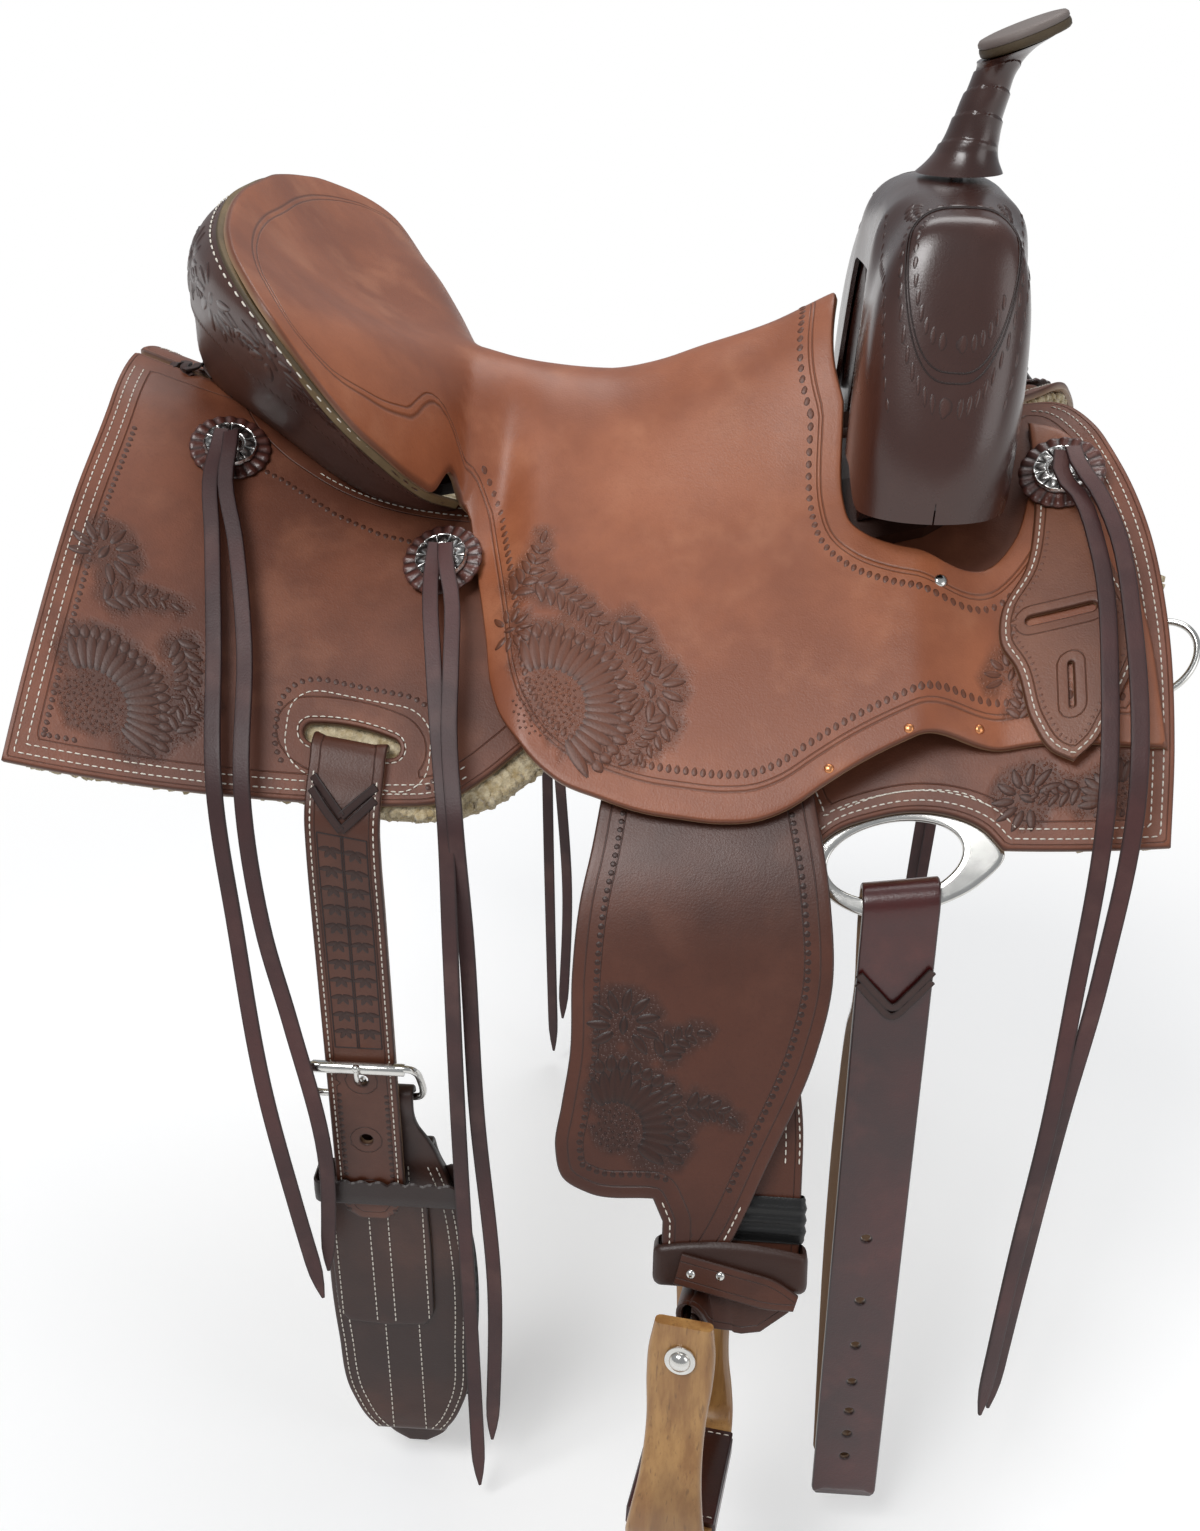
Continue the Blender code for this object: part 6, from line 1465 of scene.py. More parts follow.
for side_word, side in SIDES:
    body = "stirrup_" + side_word
    points = np.array([at_bolt(b, d) for b, d, w in full])
    normals_s = []
    for i in range(len(points)):
        along = unit(points[min(len(points) - 1, i + 1)] - points[max(0, i - 1)])
        normals_s.append(np.cross(along, fore_way))
    made = strap("stirrup_%s_bent_wood" % side_word, flip(points, side), flip(fore_way, side),
                 [w for _, _, w in full], WOOD, oak, normals=flip(normals_s, side), rounding=0.0034,
                 count=150)
    place(made, body, "stirrup_" + side_word, slot="stirrup_wood")
    tread = [at_bolt(b, TREAD - WOOD / 2 - 0.0022) for b in (-0.040, -0.02, 0.0, 0.02, 0.040)]
    made = strap("tread_%s_leather" % side_word, flip(tread, side), flip(fore_way, side), 0.0525, 0.0034,
                 latigo_leather, normals=[flip(-down_way, side)] * 5, rounding=0.0014, count=24)
    place(made, body, "tread_cover_" + side_word, slot="burgundy_leather")
    wrap_out = [at_bolt(b, TREAD + WOOD / 2 + 0.0010) for b in (-0.036, -0.018, 0.0, 0.018, 0.036)]
    made = strap("tread_under_" + side_word, flip(wrap_out, side), flip(fore_way, side), 0.0520, 0.0020,
                 latigo_leather, normals=[flip(down_way, side)] * 5, rounding=0.0009, count=24)
    place(made, body, slot="burgundy_leather")
    for sign in (-1, 1):
        lip = [at_bolt(b, TREAD, sign * 0.0258) for b in (-0.037, -0.018, 0.0, 0.018, 0.037)]
        made = strap("tread_edge_%s_%d" % (side_word, sign + 1), flip(lip, side), flip(down_way, side),
                     0.0125, 0.0020, latigo_leather, normals=[flip(fore_way * sign, side)] * 5,
                     rounding=0.0009, count=24)
        place(made, body, slot="burgundy_leather")
    rows = []
    for b in (-0.036, 0.036):
        w = np.linspace(-0.025, 0.025, 20)
        line = np.array([at_bolt(b, TREAD - WOOD / 2 - 0.0041, q) for q in w])
        rows.append((flip(line, side), np.broadcast_to(flip(-down_way, side), line.shape)))
    place(stitches("tread_stitching_" + side_word, rows, thread), body, slot="burgundy_leather")
    face = BOLT_REACH + WOOD / 2 + 0.0004
    profile = [(r, -face - h) for r, h in BOLT_HEAD] + [(r, face + h) for r, h in reversed(BOLT_HEAD)]
    place(turned("bolt_%s_turned" % side_word, flip(BOLT, side), flip(BOLT_AXIS, side), profile, steel), body,
          "stirrup_bolt_" + side_word, slot="stainless_steel")


# Rigging plates, dees and latigo keepers
PLATE_OUTLINE = [(0.1360, 0.3020), (0.1375, 0.2890), (0.1520, 0.2750), (0.1710, 0.2690), (0.1920, 0.2690),
                 (0.2200, 0.2790), (0.2380, 0.2950), (0.2450, 0.3080), (0.2310, 0.3225), (0.2080, 0.3312),
                 (0.1830, 0.3350), (0.1580, 0.3280), (0.1430, 0.3160)]
KEEPER_OUTLINE = [(0.266, 0.074), (0.264, 0.110), (0.258, 0.140), (0.243, 0.166), (0.242, 0.186),
                  (0.250, 0.203), (0.258, 0.237), (0.268, 0.256), (0.280, 0.265), (0.292, 0.256),
                  (0.300, 0.243), (0.312, 0.222), (0.319, 0.205), (0.317, 0.186), (0.305, 0.150),
                  (0.299, 0.115), (0.297, 0.074)]
plate_loop = round_outline(PLATE_OUTLINE, (), 0.0025)
a = full_turn(64)
plate_hole = np.stack([PLATE_CENTRE[0] + 0.0385 * np.cos(a), PLATE_CENTRE[1] + 0.0225 * np.sin(a)], -1)
keeper_loop = round_outline(KEEPER_OUTLINE, (0, 8, 16), 0.0025)
keeper_slot = oblong(0.256, 0.296, 0.1725, 0.1785, 0.00295, 0.0015)
keeper_slit = oblong(0.2785, 0.2815, 0.206, 0.234, 0.00145, 0.0012)
keeper_base = float(jockey_offset(0.28)) + 0.0008
keeper_leather = leather("keeper_leather", (0.20, 0.068, 0.030), (0.13, 0.040, 0.018), (0.27, 0.11, 0.06),
                         0.42, ((0.0062, 0.0006),))
for side_word, side in SIDES:
    surface = back_skin(side)
    place(panel("plate_%s_steel" % side_word, [plate_loop, plate_hole], surface, 0.0095, 0.0120, steel,
                spacing=0.005, edge=0.0015), ROOT, "rigging_plate_" + side_word, slot="stainless_steel")
    ring = [(0.3262, 0.190), (0.3262, 0.201), (0.3262, 0.212), (0.3262, 0.223), (0.3262, 0.234)]
    ring += [(0.3302 + 0.0222 * math.cos(q), 0.212 + 0.022 * math.sin(q))
             for q in np.linspace(np.pi / 2, -np.pi / 2, 13)]
    place(tube("dee_%s_wire" % side_word, on_back([p[0] for p in ring], [p[1] for p in ring], 0.0106, side),
               0.0021, steel, closed=True, count=90), ROOT, "breast_collar_dee_" + side_word,
          slot="stainless_steel")
    place(panel("keeper_%s_leather" % side_word, [keeper_loop, keeper_slot, keeper_slit], surface,
                keeper_base, keeper_base + 0.0034, keeper_leather, spacing=0.004, edge=0.001,
                offsets=(0.0006, 0.0014)), ROOT, "latigo_keeper_" + side_word, slot="skirt_leather")
    line = inset(keeper_loop, 0.0034)
    rows = [run_on(surface, even(run, 0.002), keeper_base + 0.0034)
            for run in pieces_of(line, line[:, 1] > 0.10)]
    place(stitches("keeper_stitching_" + side_word, rows, thread), ROOT, slot="skirt_leather")
    line = inset(keeper_loop, 0.0072)
    strokes = []
    for run in pieces_of(line, line[:, 1] > 0.12):
        strokes += border_stamps(run, 0.0040, 0.0028, 0.0016, 1, 2, 0.0005)
    place(carve("keeper_stamps_" + side_word, strokes, surface, keeper_base + 0.0034, carved_russet), ROOT,
          slot="skirt_leather")


# Rosettes, conchos and their frames
ROSETTE_RADIUS, CONCHO_RADIUS = 0.0255, 0.0170


def disc_frame(spot, base, side):
    """The disc's centre, its two directions and its outward normal."""
    x, s = spot
    reach, step = ROSETTE_RADIUS, 0.002
    fore = on_back(x + reach, s, base(x + reach), side)
    back = on_back(x - reach, s, base(x - reach), side)
    across = unit(fore - back)
    up = unit(on_back(x, s - step, base(x), side) - on_back(x, s + step, base(x), side))
    normal = unit(np.cross(across, up)) * (1 if side < 0 else -1)
    return (fore + back) / 2, across, np.cross(normal, across) * (1 if side < 0 else -1), normal


BASES = {"rear": lambda x: SKIRT_TOP + 0.0008,
         "mid": lambda x: SKIRT_TOP + 0.0008 + 0.242 * (x - CONCHOS["mid"][0] + ROSETTE_RADIUS),
         "front": lambda x: float(jockey_offset(x)) + 0.0052}


def relief_disc(name, placing, radii, height, edge, material, count=240, low=0.0):
    """A round plate whose face is height(r, angle) and whose rim is edge(angle)."""
    centre, across, up, normal = placing
    a = full_turn(count)
    rings, level = [], []
    for r in radii:
        rr = r * edge(a)
        h, tone = height(r, a)
        rings.append(centre + across * (rr * np.cos(a))[:, None] + up * (rr * np.sin(a))[:, None]
                     + normal * h[:, None])
        level.append(tone)
    rr = radii[-1] * edge(a)
    rings.append(centre + across * (rr * np.cos(a))[:, None] + up * (rr * np.sin(a))[:, None] + normal * low)
    level.append(np.zeros(count))
    return lofted(name, rings, material,
                  values={"level": np.concatenate(level), "dist": np.full(count * len(rings), 0.01)})


def rosette_face(r, a):
    f = r / ROSETTE_RADIUS
    wave = np.cos(20 * a)
    ridge = 0.0006 * wave * smooth(f, 0.62, 0.95) * (1 - 0.6 * smooth(f, 0.95, 1.0))
    return 0.0024 + ridge - 0.0012 * smooth(f, 0.96, 1.0), 0.35 + 0.65 * (0.5 + 0.5 * wave) * np.ones_like(a)


def concho_face(r, a):
    f = r / CONCHO_RADIUS
    petal = np.abs(np.sin(5 * a))
    in_petals = smooth(f, 0.50, 0.56) * (1 - smooth(f, 0.93, 0.99))
    scroll = np.sin(15 * f + 3.0 * np.cos(10 * a) + 4 * petal) * 0.5 + 0.5
    cut_line = np.clip(petal / 0.22, 0, 1)
    h = 0.0048 + 0.0014 * (1 - f ** 2) + in_petals * (0.0008 * cut_line - 0.00022 * scroll * cut_line)
    dome = 0.0034 * np.sqrt(np.maximum(0, 1 - (f / 0.44) ** 2)) * (f < 0.44)
    ring_line = np.exp(-((f - 0.48) / 0.025) ** 2) + np.exp(-((f - 0.95) / 0.02) ** 2)
    slot_cut = 0.0016 * (np.abs(r * np.sin(a)) < 0.0011) * (np.abs(r * np.cos(a)) < 0.0052)
    h = h + dome + 0.0005 * ring_line - slot_cut - 0.0010 * smooth(f, 0.96, 1.0)
    tone = np.clip(1 - in_petals * (1 - 0.75 * cut_line * (1 - 0.8 * scroll)) + 0 * a, 0, 1)
    return h, np.where(slot_cut > 0, 0.1, tone)


ROSETTE_RADII = np.array([0.002, 0.008, 0.0145, 0.0165, 0.0185, 0.0205, 0.0225, 0.0240, 0.0250,
                          ROSETTE_RADIUS])
CONCHO_RADII = np.concatenate([[0.0002], np.linspace(0.0008, 0.0078, 12),
                               np.linspace(0.0084, CONCHO_RADIUS, 20)])
rosette_leather = leather("rosette_leather", (0.115, 0.036, 0.026), (0.062, 0.018, 0.013),
                          (0.17, 0.065, 0.05), 0.36, carved=True, coat=0.3)
for side_word, side in SIDES:
    for word, spot in CONCHOS.items():
        placing = disc_frame(spot, BASES[word], side)
        node = word + "_" + side_word
        place(relief_disc("rosette_%s_scalloped" % node, placing, ROSETTE_RADII, rosette_face,
                          lambda a: 1 + 0.028 * np.abs(np.cos(10 * a)) - 0.012, rosette_leather), ROOT,
              "rosette_" + node, slot="dark_leather")
        place(relief_disc("concho_%s_engraved" % node, placing, CONCHO_RADII, concho_face,
                          lambda a: 1 + 0.025 * np.abs(np.sin(5 * a)) - 0.012, silver, low=0.0034), ROOT,
              "concho_" + node, slot="engraved_silver")


# Horn, wrapped
HORN_TILT = math.radians(21)
HORN = [(0.2140, 0.1985, 0.0, 0.0270, 0.0290), (0.2150, 0.2040, 0.04, 0.0230, 0.0250),
        (0.2185, 0.2160, 0.10, 0.0180, 0.0195), (0.2250, 0.2400, 0.16, 0.0145, 0.0160),
        (0.2295, 0.2540, 0.24, 0.0138, 0.0152), (0.2350, 0.2630, 0.34, 0.0175, 0.0190),
        (0.2415, 0.2690, HORN_TILT, 0.0250, 0.0252)]
table = spline(np.array([(x, 0, z, tilt, rx, ry) for x, z, tilt, rx, ry in HORN]), 90)
a = full_turn(96)
rings = []
for k, (x, _, z, tilt, rx, ry) in enumerate(table):
    f = k / 89
    phase = (f * 5.0 + 0.35 * np.sin(a) + 0.25 * np.cos(a)) % 1.0
    step_out = 0.0011 * phase * smooth(f, 0.16, 0.24) * (1 - smooth(f, 0.86, 0.96))
    fore_h = np.array([math.cos(tilt), 0, math.sin(tilt)])
    rings.append(np.array([x, 0, z]) + fore_h * ((rx - 0.0004 + step_out) * np.cos(a))[:, None]
                 + np.array([0, 1.0, 0]) * ((ry - 0.0004 + step_out) * np.sin(a))[:, None])
place(lofted("horn_neck_wrap", rings, swell_leather), ROOT, "horn_wrap", slot="dark_leather")
up_h = np.array([-math.sin(HORN_TILT), 0, math.cos(HORN_TILT)])
cap = np.array([0.2465, 0, 0.2712])
cap_grey = leather("cap_hide", (0.36, 0.30, 0.27), (0.25, 0.20, 0.18), (0.46, 0.41, 0.38), 0.55)
place(turned("horn_cap_edge", cap, up_h,
             [(0.0205, -0.0002), (0.0262, 0.0006), (0.0273, 0.0016), (0.0275, 0.0040), (0.0271, 0.0056),
              (0.0250, 0.0058)], raw_edge, 72), ROOT, "horn_wrap", slot="dark_leather")
place(turned("horn_cap_top", cap, up_h,
             [(0.0240, 0.0052), (0.0266, 0.0058), (0.0272, 0.0070), (0.0270, 0.0088), (0.0258, 0.0101),
              (0.0235, 0.0105), (0.0140, 0.0109), (0.0001, 0.0110)], cap_grey, 72), ROOT, "horn_wrap",
      slot="dark_leather")


# Off billet, doubled through the plate
offset = 0.01075
pivot = on_back(0.186, 0.3254, offset)
LOOP = 0.0112
outer_y, inner_y, tie_z, END = pivot[1] - LOOP, pivot[1] + LOOP, pivot[2] - 0.050, -0.655
close = outer_y + 0.0040
route = [(outer_y, END), (outer_y, -0.58), (outer_y, -0.50), (outer_y, -0.35), (outer_y, -0.27),
         (outer_y, tie_z), (outer_y, pivot[2] - 0.012)]
route += [(pivot[1] - LOOP * math.cos(q), pivot[2] + LOOP * math.sin(q)) for q in np.linspace(0, np.pi, 11)]
route += [(inner_y - 0.0005, pivot[2] - 0.014), (inner_y - 0.0075, pivot[2] - 0.034),
          (close + 0.0030, tie_z), (close + 0.006, tie_z - 0.020), (outer_y + 0.030, -0.270),
          (outer_y + 0.050, -0.340), (outer_y + 0.058, -0.420), (outer_y + 0.050, -0.500),
          (outer_y + 0.030, -0.570), (outer_y + 0.014, -0.620), (close + 0.003, END + 0.003)]
points = np.array([(0.186, y, z) for y, z in route])
lean = 0.15 * (1 - smooth(pivot[2] - points[:, 2], 0.02, 0.09))
across = unit(np.stack([np.ones(len(lean)), np.zeros(len(lean)), lean], -1))
normal = unit(np.cross(across, np.gradient(points, axis=0)))
billet, length = path_surface(points, across, normal, 600)
holes = [disc(-0.0015, v, 0.0032) for v in (0.040, 0.062, 0.084, 0.112, 0.146, 0.186, 0.240)]
made = ribbon("off_billet_latigo", billet,
              [(0, 0.0190), (0.004, 0.0222), (length - 0.03, 0.0222), (length, 0.012)], 0.0032,
              latigo_leather, holes, spacing=0.0045)
place(made, "off_billet", "off_billet", slot="burgundy_leather")
front_v = float(np.linalg.norm(np.diff(points[:6], axis=0), axis=1).sum())
for k, lift in enumerate((0.0, -0.0065)):
    line = [billet(u, front_v + dv + lift, 0.0036)
            for u, dv in ((-0.021, 0.010), (-0.010, -0.004), (0.0, -0.014), (0.010, -0.004), (0.021, 0.010))]
    place(strap("billet_lace_%d" % k, line, unit(np.array([0.3, 0.1, 1.0])), 0.0050, 0.0018, lace_leather,
                normals=[(0, -1, 0)] * 5, rounding=0.0005, count=40), "off_billet",
          slot="burgundy_leather")


# Flank billet, buckle and folded cinch
lead = [(0.2400, 0.0145), (0.2408, 0.0191), (0.2450, 0.0225), (0.2600, 0.0227), (0.2800, 0.0231)]
points = [on_back(FLANK_X, s, off) for s, off in lead]
bend0 = 0.55 + 0.106 * (FLANK_X + 0.33)
angle = bend0 + 0.2800 - 0.1 * bend0
for k in range(1, 4):
    turn_k = angle + (math.pi / 2 - angle) * k / 3.5
    points.append(points[-1] + np.array([0, -math.cos(turn_k), -math.sin(turn_k)]) * 0.008)
plumb_y = points[-1][1]
top_z = points[-1][2] - 0.012
points += [np.array([FLANK_X, plumb_y - 0.0008, top_z + (-0.440 - top_z) * k / 8]) for k in range(9)]
points = np.array(points)
flank_slope = 2 * 0.055 * FLANK_X / 0.30 ** 2
lean = flank_slope * (1 - smooth(points[0, 2] - points[:, 2], 0.045, 0.12))
across = unit(np.stack([np.ones(len(lean)), np.zeros(len(lean)), lean], -1))
normal = unit(np.cross(across, np.gradient(points, axis=0)))
if normal[-1][1] > 0:
    normal = -normal
flank, length = path_surface(points, across, normal, 300)
tongue_v = length - (0.440 - 0.324)
holes = [disc(0.0, tongue_v + dv, 0.0042) for dv in (0.0, 0.048, 0.092)]
flank_leather = leather("flank_leather", (0.100, 0.029, 0.013), (0.058, 0.016, 0.007), (0.15, 0.052, 0.028),
                        0.42, ((0.0062, 0.0006),))
made = ribbon("flank_billet_leather", flank,
              [(0, 0.0225), (length - 0.030, 0.0228), (length - 0.012, 0.0190), (length - 0.003, 0.0135),
               (length, 0.0080)], 0.0044, flank_leather, holes, spacing=0.0045)
FB = "flank_billet_off"
place(made, FB, "flank_billet_off", slot="light_leather")
strokes = []
for k in range(12):
    v = 0.074 + 0.0130 * k
    if v < tongue_v - 0.036:
        strokes += [(u, v, 1.57 + 0.7 * q, 0.0085, 0.0019, 0.3 * q, 0.0008, 0)
                    for q in (-1.5, -0.5, 0.5, 1.5) for u in (-0.0075, 0.0075)]
line = np.stack([np.zeros(30), np.linspace(tongue_v + 0.012, length - 0.008, 30)], -1)
for u in (-0.0135, 0.0135):
    strokes += border_stamps(line + np.array([u, 0]), 0.0048, 0.0040, 0.0021, 1 if u < 0 else -1)
place(carve("flank_billet_stamps", strokes, flank, 0.0022, carved_fender_painted_shade), FB, slot="light_leather")
rows = []
for u in (-0.0190, 0.0190):
    rows.append(run_on(flank, np.stack([np.full(160, u), np.linspace(0.030, length - 0.022, 160)], -1),
                       0.0022))
place(stitches("flank_billet_stitching", rows, thread), FB, slot="light_leather")
box_low, box_high = 0.066, tongue_v - 0.026
for k, (u, v0, v1) in enumerate(((-0.0150, box_low, box_high), (0.0150, box_low, box_high),
                                 (-0.0006, box_low, box_high), (0.0006, box_low, box_high))):
    place(tube("flank_frame_%d" % k, flank(np.full(20, u), np.linspace(v0, v1, 20), np.full(20, 0.0022)),
               0.00045, lace_leather, sides=6, count=60), FB, slot="light_leather")
for k, v in enumerate((box_low, box_high)):
    place(tube("flank_frame_end_%d" % k,
               flank(np.linspace(-0.015, 0.015, 8), np.full(8, v), np.full(8, 0.0022)), 0.00045,
               lace_leather, sides=6, count=24), FB, slot="light_leather")
lines = []
for sign in (-1, 1):
    lines.append([(0.0, 0.054), (0.010 * sign, 0.044), (0.019 * sign, 0.034)])
    lines.append([(0.0, 0.062), (0.010 * sign, 0.052), (0.019 * sign, 0.042)])
for k, line in enumerate(lines):
    pts = [flank(u, v, 0.0034) for u, v in line]
    place(strap("flank_lace_%d" % k, pts, unit(np.array([0.5, 0.2, 1.0])), 0.0052, 0.0018, lace_leather,
                normals=[(0, -1, 0.1)] * 3, rounding=0.0005, count=20), FB, slot="dark_leather")

buckle_y = plumb_y - 0.0008
HALF = 0.0345
tube_y = buckle_y - 0.0070
bar_z, bar_y = BUCKLE_Z - 0.034, buckle_y + 0.0107
wire = [(-HALF, tube_y, BUCKLE_Z), (-HALF / 3, tube_y, BUCKLE_Z), (HALF / 3, tube_y, BUCKLE_Z),
        (HALF, tube_y, BUCKLE_Z), (HALF + 0.0030, (tube_y + bar_y) / 2, BUCKLE_Z - 0.015),
        (HALF, bar_y, bar_z), (HALF / 3, bar_y, bar_z), (-HALF / 3, bar_y, bar_z), (-HALF, bar_y, bar_z),
        (-HALF - 0.003, (tube_y + bar_y) / 2, BUCKLE_Z - 0.015)]
place(tube("buckle_wire", [(FLANK_X + x, y, z) for x, y, z in wire], 0.0024, steel, closed=True, sides=16,
           count=120), FB, "buckle_frame", slot="stainless_steel")
left = HALF - 0.005
place(turned("roller_tube", (FLANK_X, tube_y, BUCKLE_Z), (1, 0, 0),
             [(0.0029, -left), (0.0038, -left), (0.0040, -left + 0.0006), (0.0040, left - 0.0006),
              (0.0038, left), (0.0029, left)], steel), "buckle_roller", "buckle_roller",
      slot="stainless_steel")
front_y = buckle_y - 0.0022
pin = [(FLANK_X, bar_y, bar_z + 0.0048), (FLANK_X, bar_y - 0.004, bar_z + 0.012),
       (FLANK_X, front_y + 0.003, BUCKLE_Z - 0.014), (FLANK_X, front_y - 0.0045, BUCKLE_Z - 0.0115),
       (FLANK_X, front_y - 0.0105, BUCKLE_Z - 0.004), (FLANK_X, front_y - 0.0112, BUCKLE_Z + 0.004)]
place(tube("tongue_pin", pin, 0.0016, steel, sides=12, count=60), FB, "buckle_tongue", slot="stainless_steel")
place(turned("tongue_ball", (FLANK_X, front_y - 0.0112, BUCKLE_Z + 0.0045), (0, 0, 1),
             [(0.0026 * math.sin(q) + 0.00001, -0.0026 * math.cos(q)) for q in np.linspace(0, np.pi, 9)],
             steel, 20), FB, slot="stainless_steel")

cinch_x = FLANK_X + 0.012
front_c = bar_y - 0.0008
ply = 0.0112
stations = [(bar_y + 0.0052 * math.cos(q), bar_z + 0.0052 * math.sin(q), 0.026, 0.0040, 0.0060)
            for q in np.linspace(0, np.pi, 9)]
stations += [(front_c + 0.0010 * (z < -0.38), z, w, 0.0040 if z > -0.38 else 0.0056, 0.0)
             for z, w in ((-0.370, 0.046), (-0.395, 0.066), (-0.425, 0.084), (-0.480, 0.096),
                          (-0.560, 0.094), (-0.620, 0.082), (-0.645, 0.060))]
stations += [(front_c + 0.001 + ply / 2 - ply / 2 * math.cos(q), -0.648 - ply / 2 * math.sin(q), 0.052,
              0.0056, 0.0) for q in np.linspace(0.5, np.pi - 0.5, 5)]
stations += [(front_c + 0.001 + ply, z, w, 0.0056, 0.0)
             for z, w in ((-0.640, 0.056), (-0.600, 0.080), (-0.500, 0.096), (-0.430, 0.084),
                          (-0.405, 0.060))]
stations += [(front_c + 0.001 + 1.5 * ply - ply / 2 * math.cos(q), -0.402 + ply / 2 * math.sin(q), 0.052,
              0.0056, 0.0) for q in np.linspace(0.5, np.pi - 0.5, 5)]
stations += [(front_c + 0.001 + 2 * ply, z, w, 0.0056, 0.0)
             for z, w in ((-0.410, 0.056), (-0.440, 0.080), (-0.520, 0.090), (-0.610, 0.070),
                          (-0.660, 0.050), (-0.682, 0.036), (-0.689, 0.016))]
fold = np.array([(cinch_x + dx, y, z) for y, z, w, t, dx in stations])
made, c, _, _, width, thick = framed_strap("cinch_folds", fold, (1.0, 0, 0), [s[2] for s in stations],
                                           [s[3] for s in stations], cinch_leather, count=420,
                                           rounding=0.0018)
place(made, FB, "flank_cinch", slot="dark_leather")
rows = []
runs = [("front", (c[:, 2] < -0.40) & (np.abs(c[:, 1] - front_c - 0.001) < 0.0012)),
        ("back", (c[:, 2] < -0.42) & (c[:, 1] > front_c + 0.001 + 1.8 * ply))]
for word, chosen in runs:
    index = np.nonzero(chosen)[0]
    way = np.array([0, -1.0, 0]) if word == "front" else np.array([0, 1.0, 0])
    for inward in (0.0042, 0.0100):
        for sign in (-1, 1):
            aside = np.array([1.0, 0, 0]) * (sign * (width[index] / 2 - inward))[:, None]
            line = c[index] + aside + way * (thick[index] / 2)[:, None]
            rows.append((line, np.broadcast_to(way, line.shape)))
    for u in (-0.012, 0.012):
        line = c[index] + np.array([u, 0, 0]) + way * (thick[index] / 2)[:, None]
        rows.append((line, np.broadcast_to(way, line.shape)))
place(stitches("cinch_stitching", rows, thread), FB, slot="dark_leather")


def overlay(u, v, off):
    u, v, off = arrays(u, v, off)
    return np.stack([cinch_x - 0.010 + u, front_c - 0.0026 - off + 0 * v, v], -1)


scallop_u = np.linspace(0.034, -0.034, 61)
shape_top = np.stack([scallop_u, -0.4275 + 0.0028 * np.abs(np.sin(scallop_u / 0.0114 * math.pi))], -1)
shape_low = np.array([(-0.035, -0.470), (-0.034, -0.530), (-0.028, -0.5415), (0.0, -0.5440),
                      (0.028, -0.5415), (0.034, -0.530), (0.035, -0.470)])
overlay_loop = even(np.concatenate([shape_top, shape_low]), 0.0024, True)
place(panel("cinch_overlay", [overlay_loop], overlay, 0.0, 0.0030, cinch_leather, spacing=0.004), FB,
      slot="dark_leather")
rows = []
for u in (-0.0305, 0.0305, -0.0065, 0.0065):
    low_end = -0.536 if abs(u) > 0.02 else -0.540
    rows.append(run_on(overlay, np.stack([np.full(60, u), np.linspace(-0.433, low_end, 60)], -1), 0.0030))
place(stitches("cinch_overlay_stitching", rows, thread), FB, slot="dark_leather")
backing = strap("cinch_felt",
                [(cinch_x + 0.004, front_c + 0.0072, z) for z in (-0.420, -0.48, -0.56, -0.62)],
                (1.0, 0, 0), [0.080, 0.098, 0.096, 0.080], 0.0034, felt, normals=[(0, 1, 0)] * 4, count=60,
                rounding=0.0012)
place(backing, FB, slot="dark_leather")

rings = []
for x, y, ox, oy in rounded_box(cinch_x - 0.048, cinch_x + 0.048, buckle_y - 0.0034, front_c + 0.0054, 0.0025,
                                0.003, first=-1):
    wave = 0.0030 * abs(math.sin((x - cinch_x) / 0.0115 * math.pi))
    section = [(-0.4235, 0.0), (-0.4250, 0.0012), (-0.4235, 0.0022), (-0.416, 0.0024),
               (-0.4085 + wave, 0.0022), (-0.4075 + wave, 0.0010), (-0.4085 + wave, 0.0)]
    rings.append([(x + ox * d, y + oy * d, z) for z, d in section])
place(lofted("cinch_sleeve", rings, cinch_leather, closed=True), FB, "cinch_keeper", slot="dark_leather")


# Small fasteners: screw, rivets and the lacing behind the cantle
for side_word, side in SIDES:
    for x, s, made_of, size in ((0.2072, 0.1442, steel, 0.0042), (0.1870, 0.2340, copper, 0.0030),
                                (0.1422, 0.2520, copper, 0.0030), (0.2287, 0.2360, copper, 0.0030)):
        where = jockey_surface(side)(x, s, 0.0)
        above = jockey_surface(side)(x, s, 0.004)
        place(turned("fastener_%s_%d" % (side_word, x * 10000), where, above - where,
                     [(0.0001, 0.0014), (size * 0.6, 0.0012), (size * 0.92, 0.0006), (size, -0.0002)],
                     made_of, 20), ROOT, slot="stainless_steel")
for k in range(4):
    line = [on_back(-0.284 + dx, s, SKIRT_TOP + 0.0010 + up, -1) * np.array([1, m, 1])
            for dx, s, m, up in ((0.012 * (k % 2) - 0.006, 0.010, 1, 0), (0.0, 0.004, 1, 0.002),
                                 (0.0, 0.0, 1, 0.0024), (0.0, 0.004, -1, 0.002),
                                 (0.006 - 0.012 * (k % 2), 0.010, -1, 0))]
    line = np.array(line) + np.array([-0.012 + 0.008 * k, 0, 0.0])
    place(strap("cantle_lacing_%d" % k, line, (1.0, 0, 0), 0.0055, 0.0018, lace_leather, rounding=0.0005,
                count=30), ROOT, slot="dark_leather")

# Carried-over nodes get their materials
for node, made in (("tree_bar_off", strap_leather), ("tree_bar_near", strap_leather),
                   ("fork", swell_leather), ("cantle_board", pine), ("ground_seat", horn_steel),
                   ("horn_core", horn_steel)):
    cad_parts[node].data.materials[0] = made

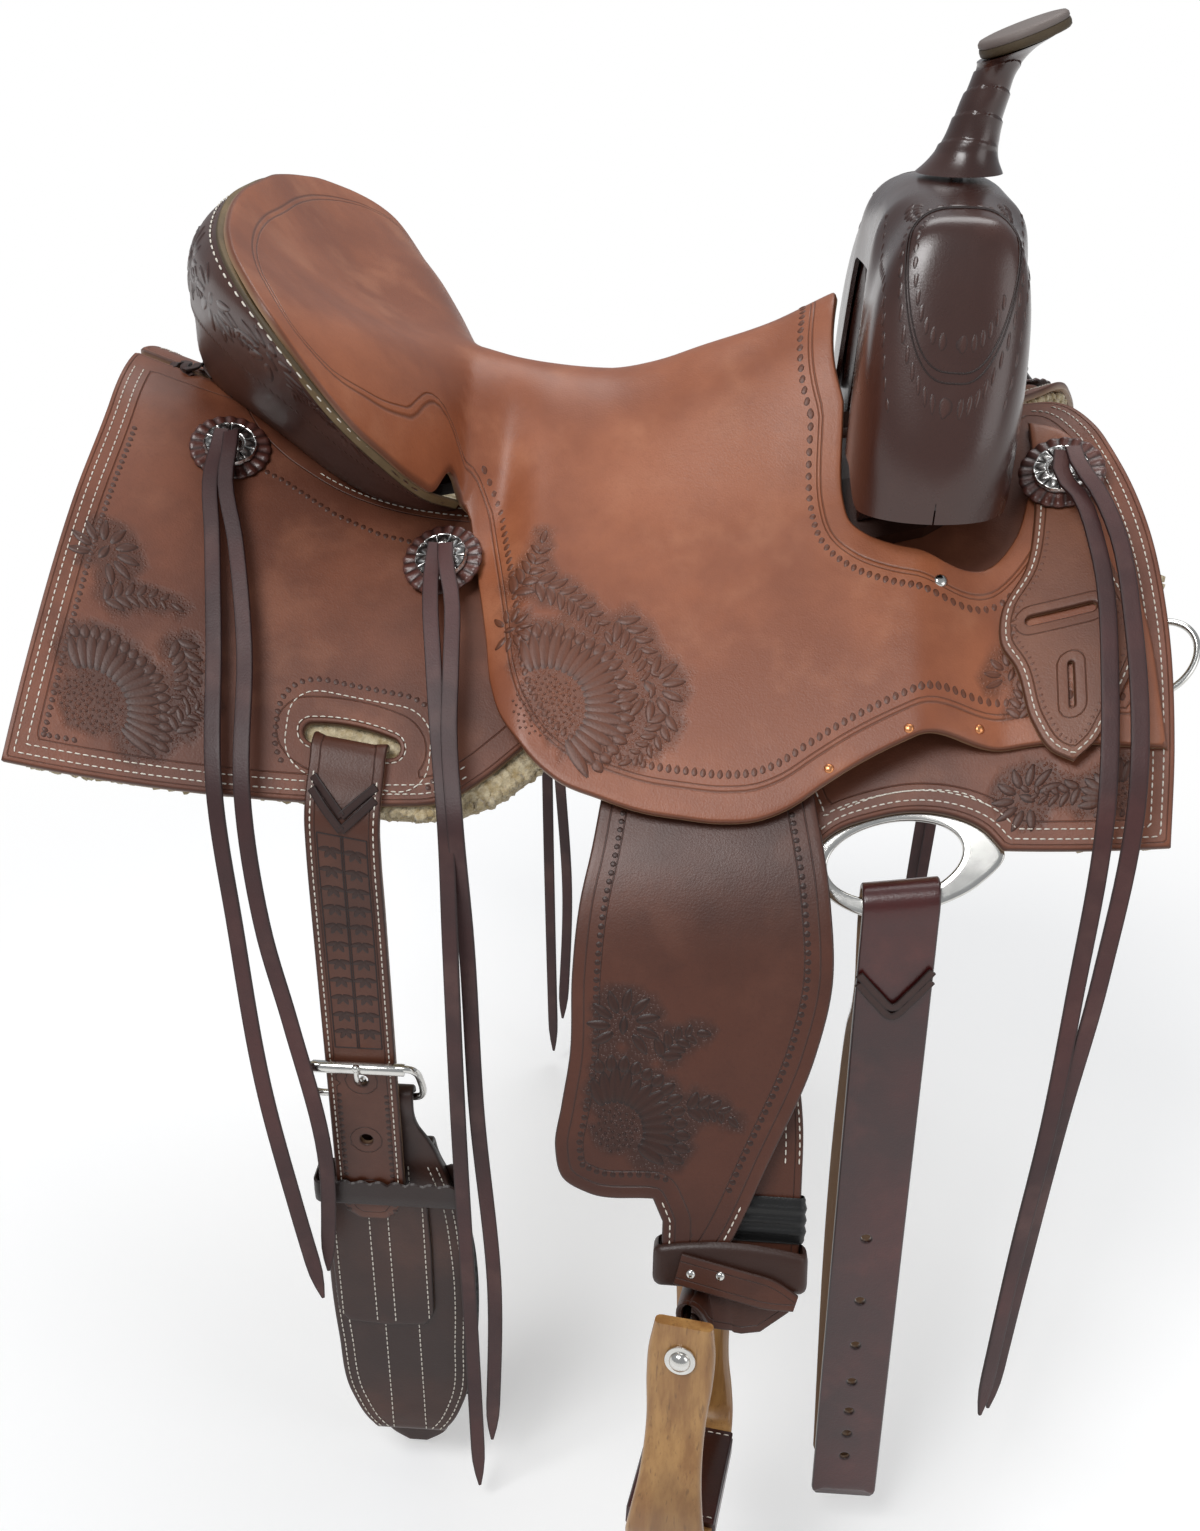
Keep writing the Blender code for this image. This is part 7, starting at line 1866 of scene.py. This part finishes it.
# Floor, backdrop and lights
g = Graph("floor", 0.9)
ray = g.add("ShaderNodeLightPath")
seen = g.math("MAXIMUM", ray.outputs["Is Camera Ray"], ray.outputs["Is Glossy Ray"])
glow = g.add("ShaderNodeEmission")
glow.inputs["Color"].default_value = (1, 1, 1, 1)
g.put(glow.inputs["Strength"], g.math("MULTIPLY", seen, 0.30))
g.finish((0.80, 0.80, 0.80))
both = g.add("ShaderNodeAddShader")
g.put(both.inputs[0], g.shader.outputs[0])
g.put(both.inputs[1], glow.outputs[0])
plain = g.add("ShaderNodeEmission")
plain.inputs["Color"].default_value = (1, 1, 1, 1)
plain.inputs["Strength"].default_value = 1.0
reach = g.add("ShaderNodeVectorMath", operation="LENGTH")
g.put(reach.inputs[0], g.place)
fade = g.add("ShaderNodeMixShader")
g.put(fade.inputs[0], g.math("MULTIPLY", seen, g.ramp(reach.outputs["Value"], 0.92, 1.45)))
g.put(fade.inputs[1], both.outputs[0])
g.put(fade.inputs[2], plain.outputs[0])
g.put(g.tree.nodes["Material Output"].inputs["Surface"], fade.outputs[0])
floor = make_mesh("floor", [(-15, -8, -0.70), (15, -8, -0.70), (15, 30, -0.70), (-15, 30, -0.70)],
                  [[0, 1, 2, 3]], g.material, flat=True)

world = bpy.data.worlds.new("studio")
bpy.context.scene.world = world
world.use_nodes = True
tree = world.node_tree
tree.nodes.clear()
ray = tree.nodes.new("ShaderNodeLightPath")
ambient = tree.nodes.new("ShaderNodeBackground")
ambient.inputs[0].default_value = (0.93, 0.96, 1.0, 1)
ambient.inputs[1].default_value = 0.40
white = tree.nodes.new("ShaderNodeBackground")
white.inputs[0].default_value = (1, 1, 1, 1)
either = tree.nodes.new("ShaderNodeMath")
either.operation = "MAXIMUM"
tree.links.new(ray.outputs["Is Camera Ray"], either.inputs[0])
tree.links.new(ray.outputs["Is Transmission Ray"], either.inputs[1])
choose = tree.nodes.new("ShaderNodeMixShader")
tree.links.new(either.outputs[0], choose.inputs[0])
tree.links.new(ambient.outputs[0], choose.inputs[1])
tree.links.new(white.outputs[0], choose.inputs[2])
out = tree.nodes.new("ShaderNodeOutputWorld")
tree.links.new(choose.outputs[0], out.inputs[0])


def lamp(name, where, target, size, power):
    light = bpy.data.lights.new(name, "AREA")
    light.shape = "RECTANGLE"
    light.size, light.size_y = size
    light.energy = power
    made = bpy.data.objects.new(name, light)
    made.location = where
    made.rotation_euler = (Vector(target) - Vector(where)).to_track_quat("-Z", "Y").to_euler()
    bpy.context.scene.collection.objects.link(made)


lamp("key", (-0.9, -1.6, 2.1), (0, -0.1, -0.05), (1.3, 1.0), 46)
lamp("top", (0.3, 0.9, 2.2), (0, 0, 0), (1.8, 1.2), 24)
lamp("fill", (1.9, -1.2, 0.7), (0, -0.1, -0.1), (1.2, 1.4), 9)
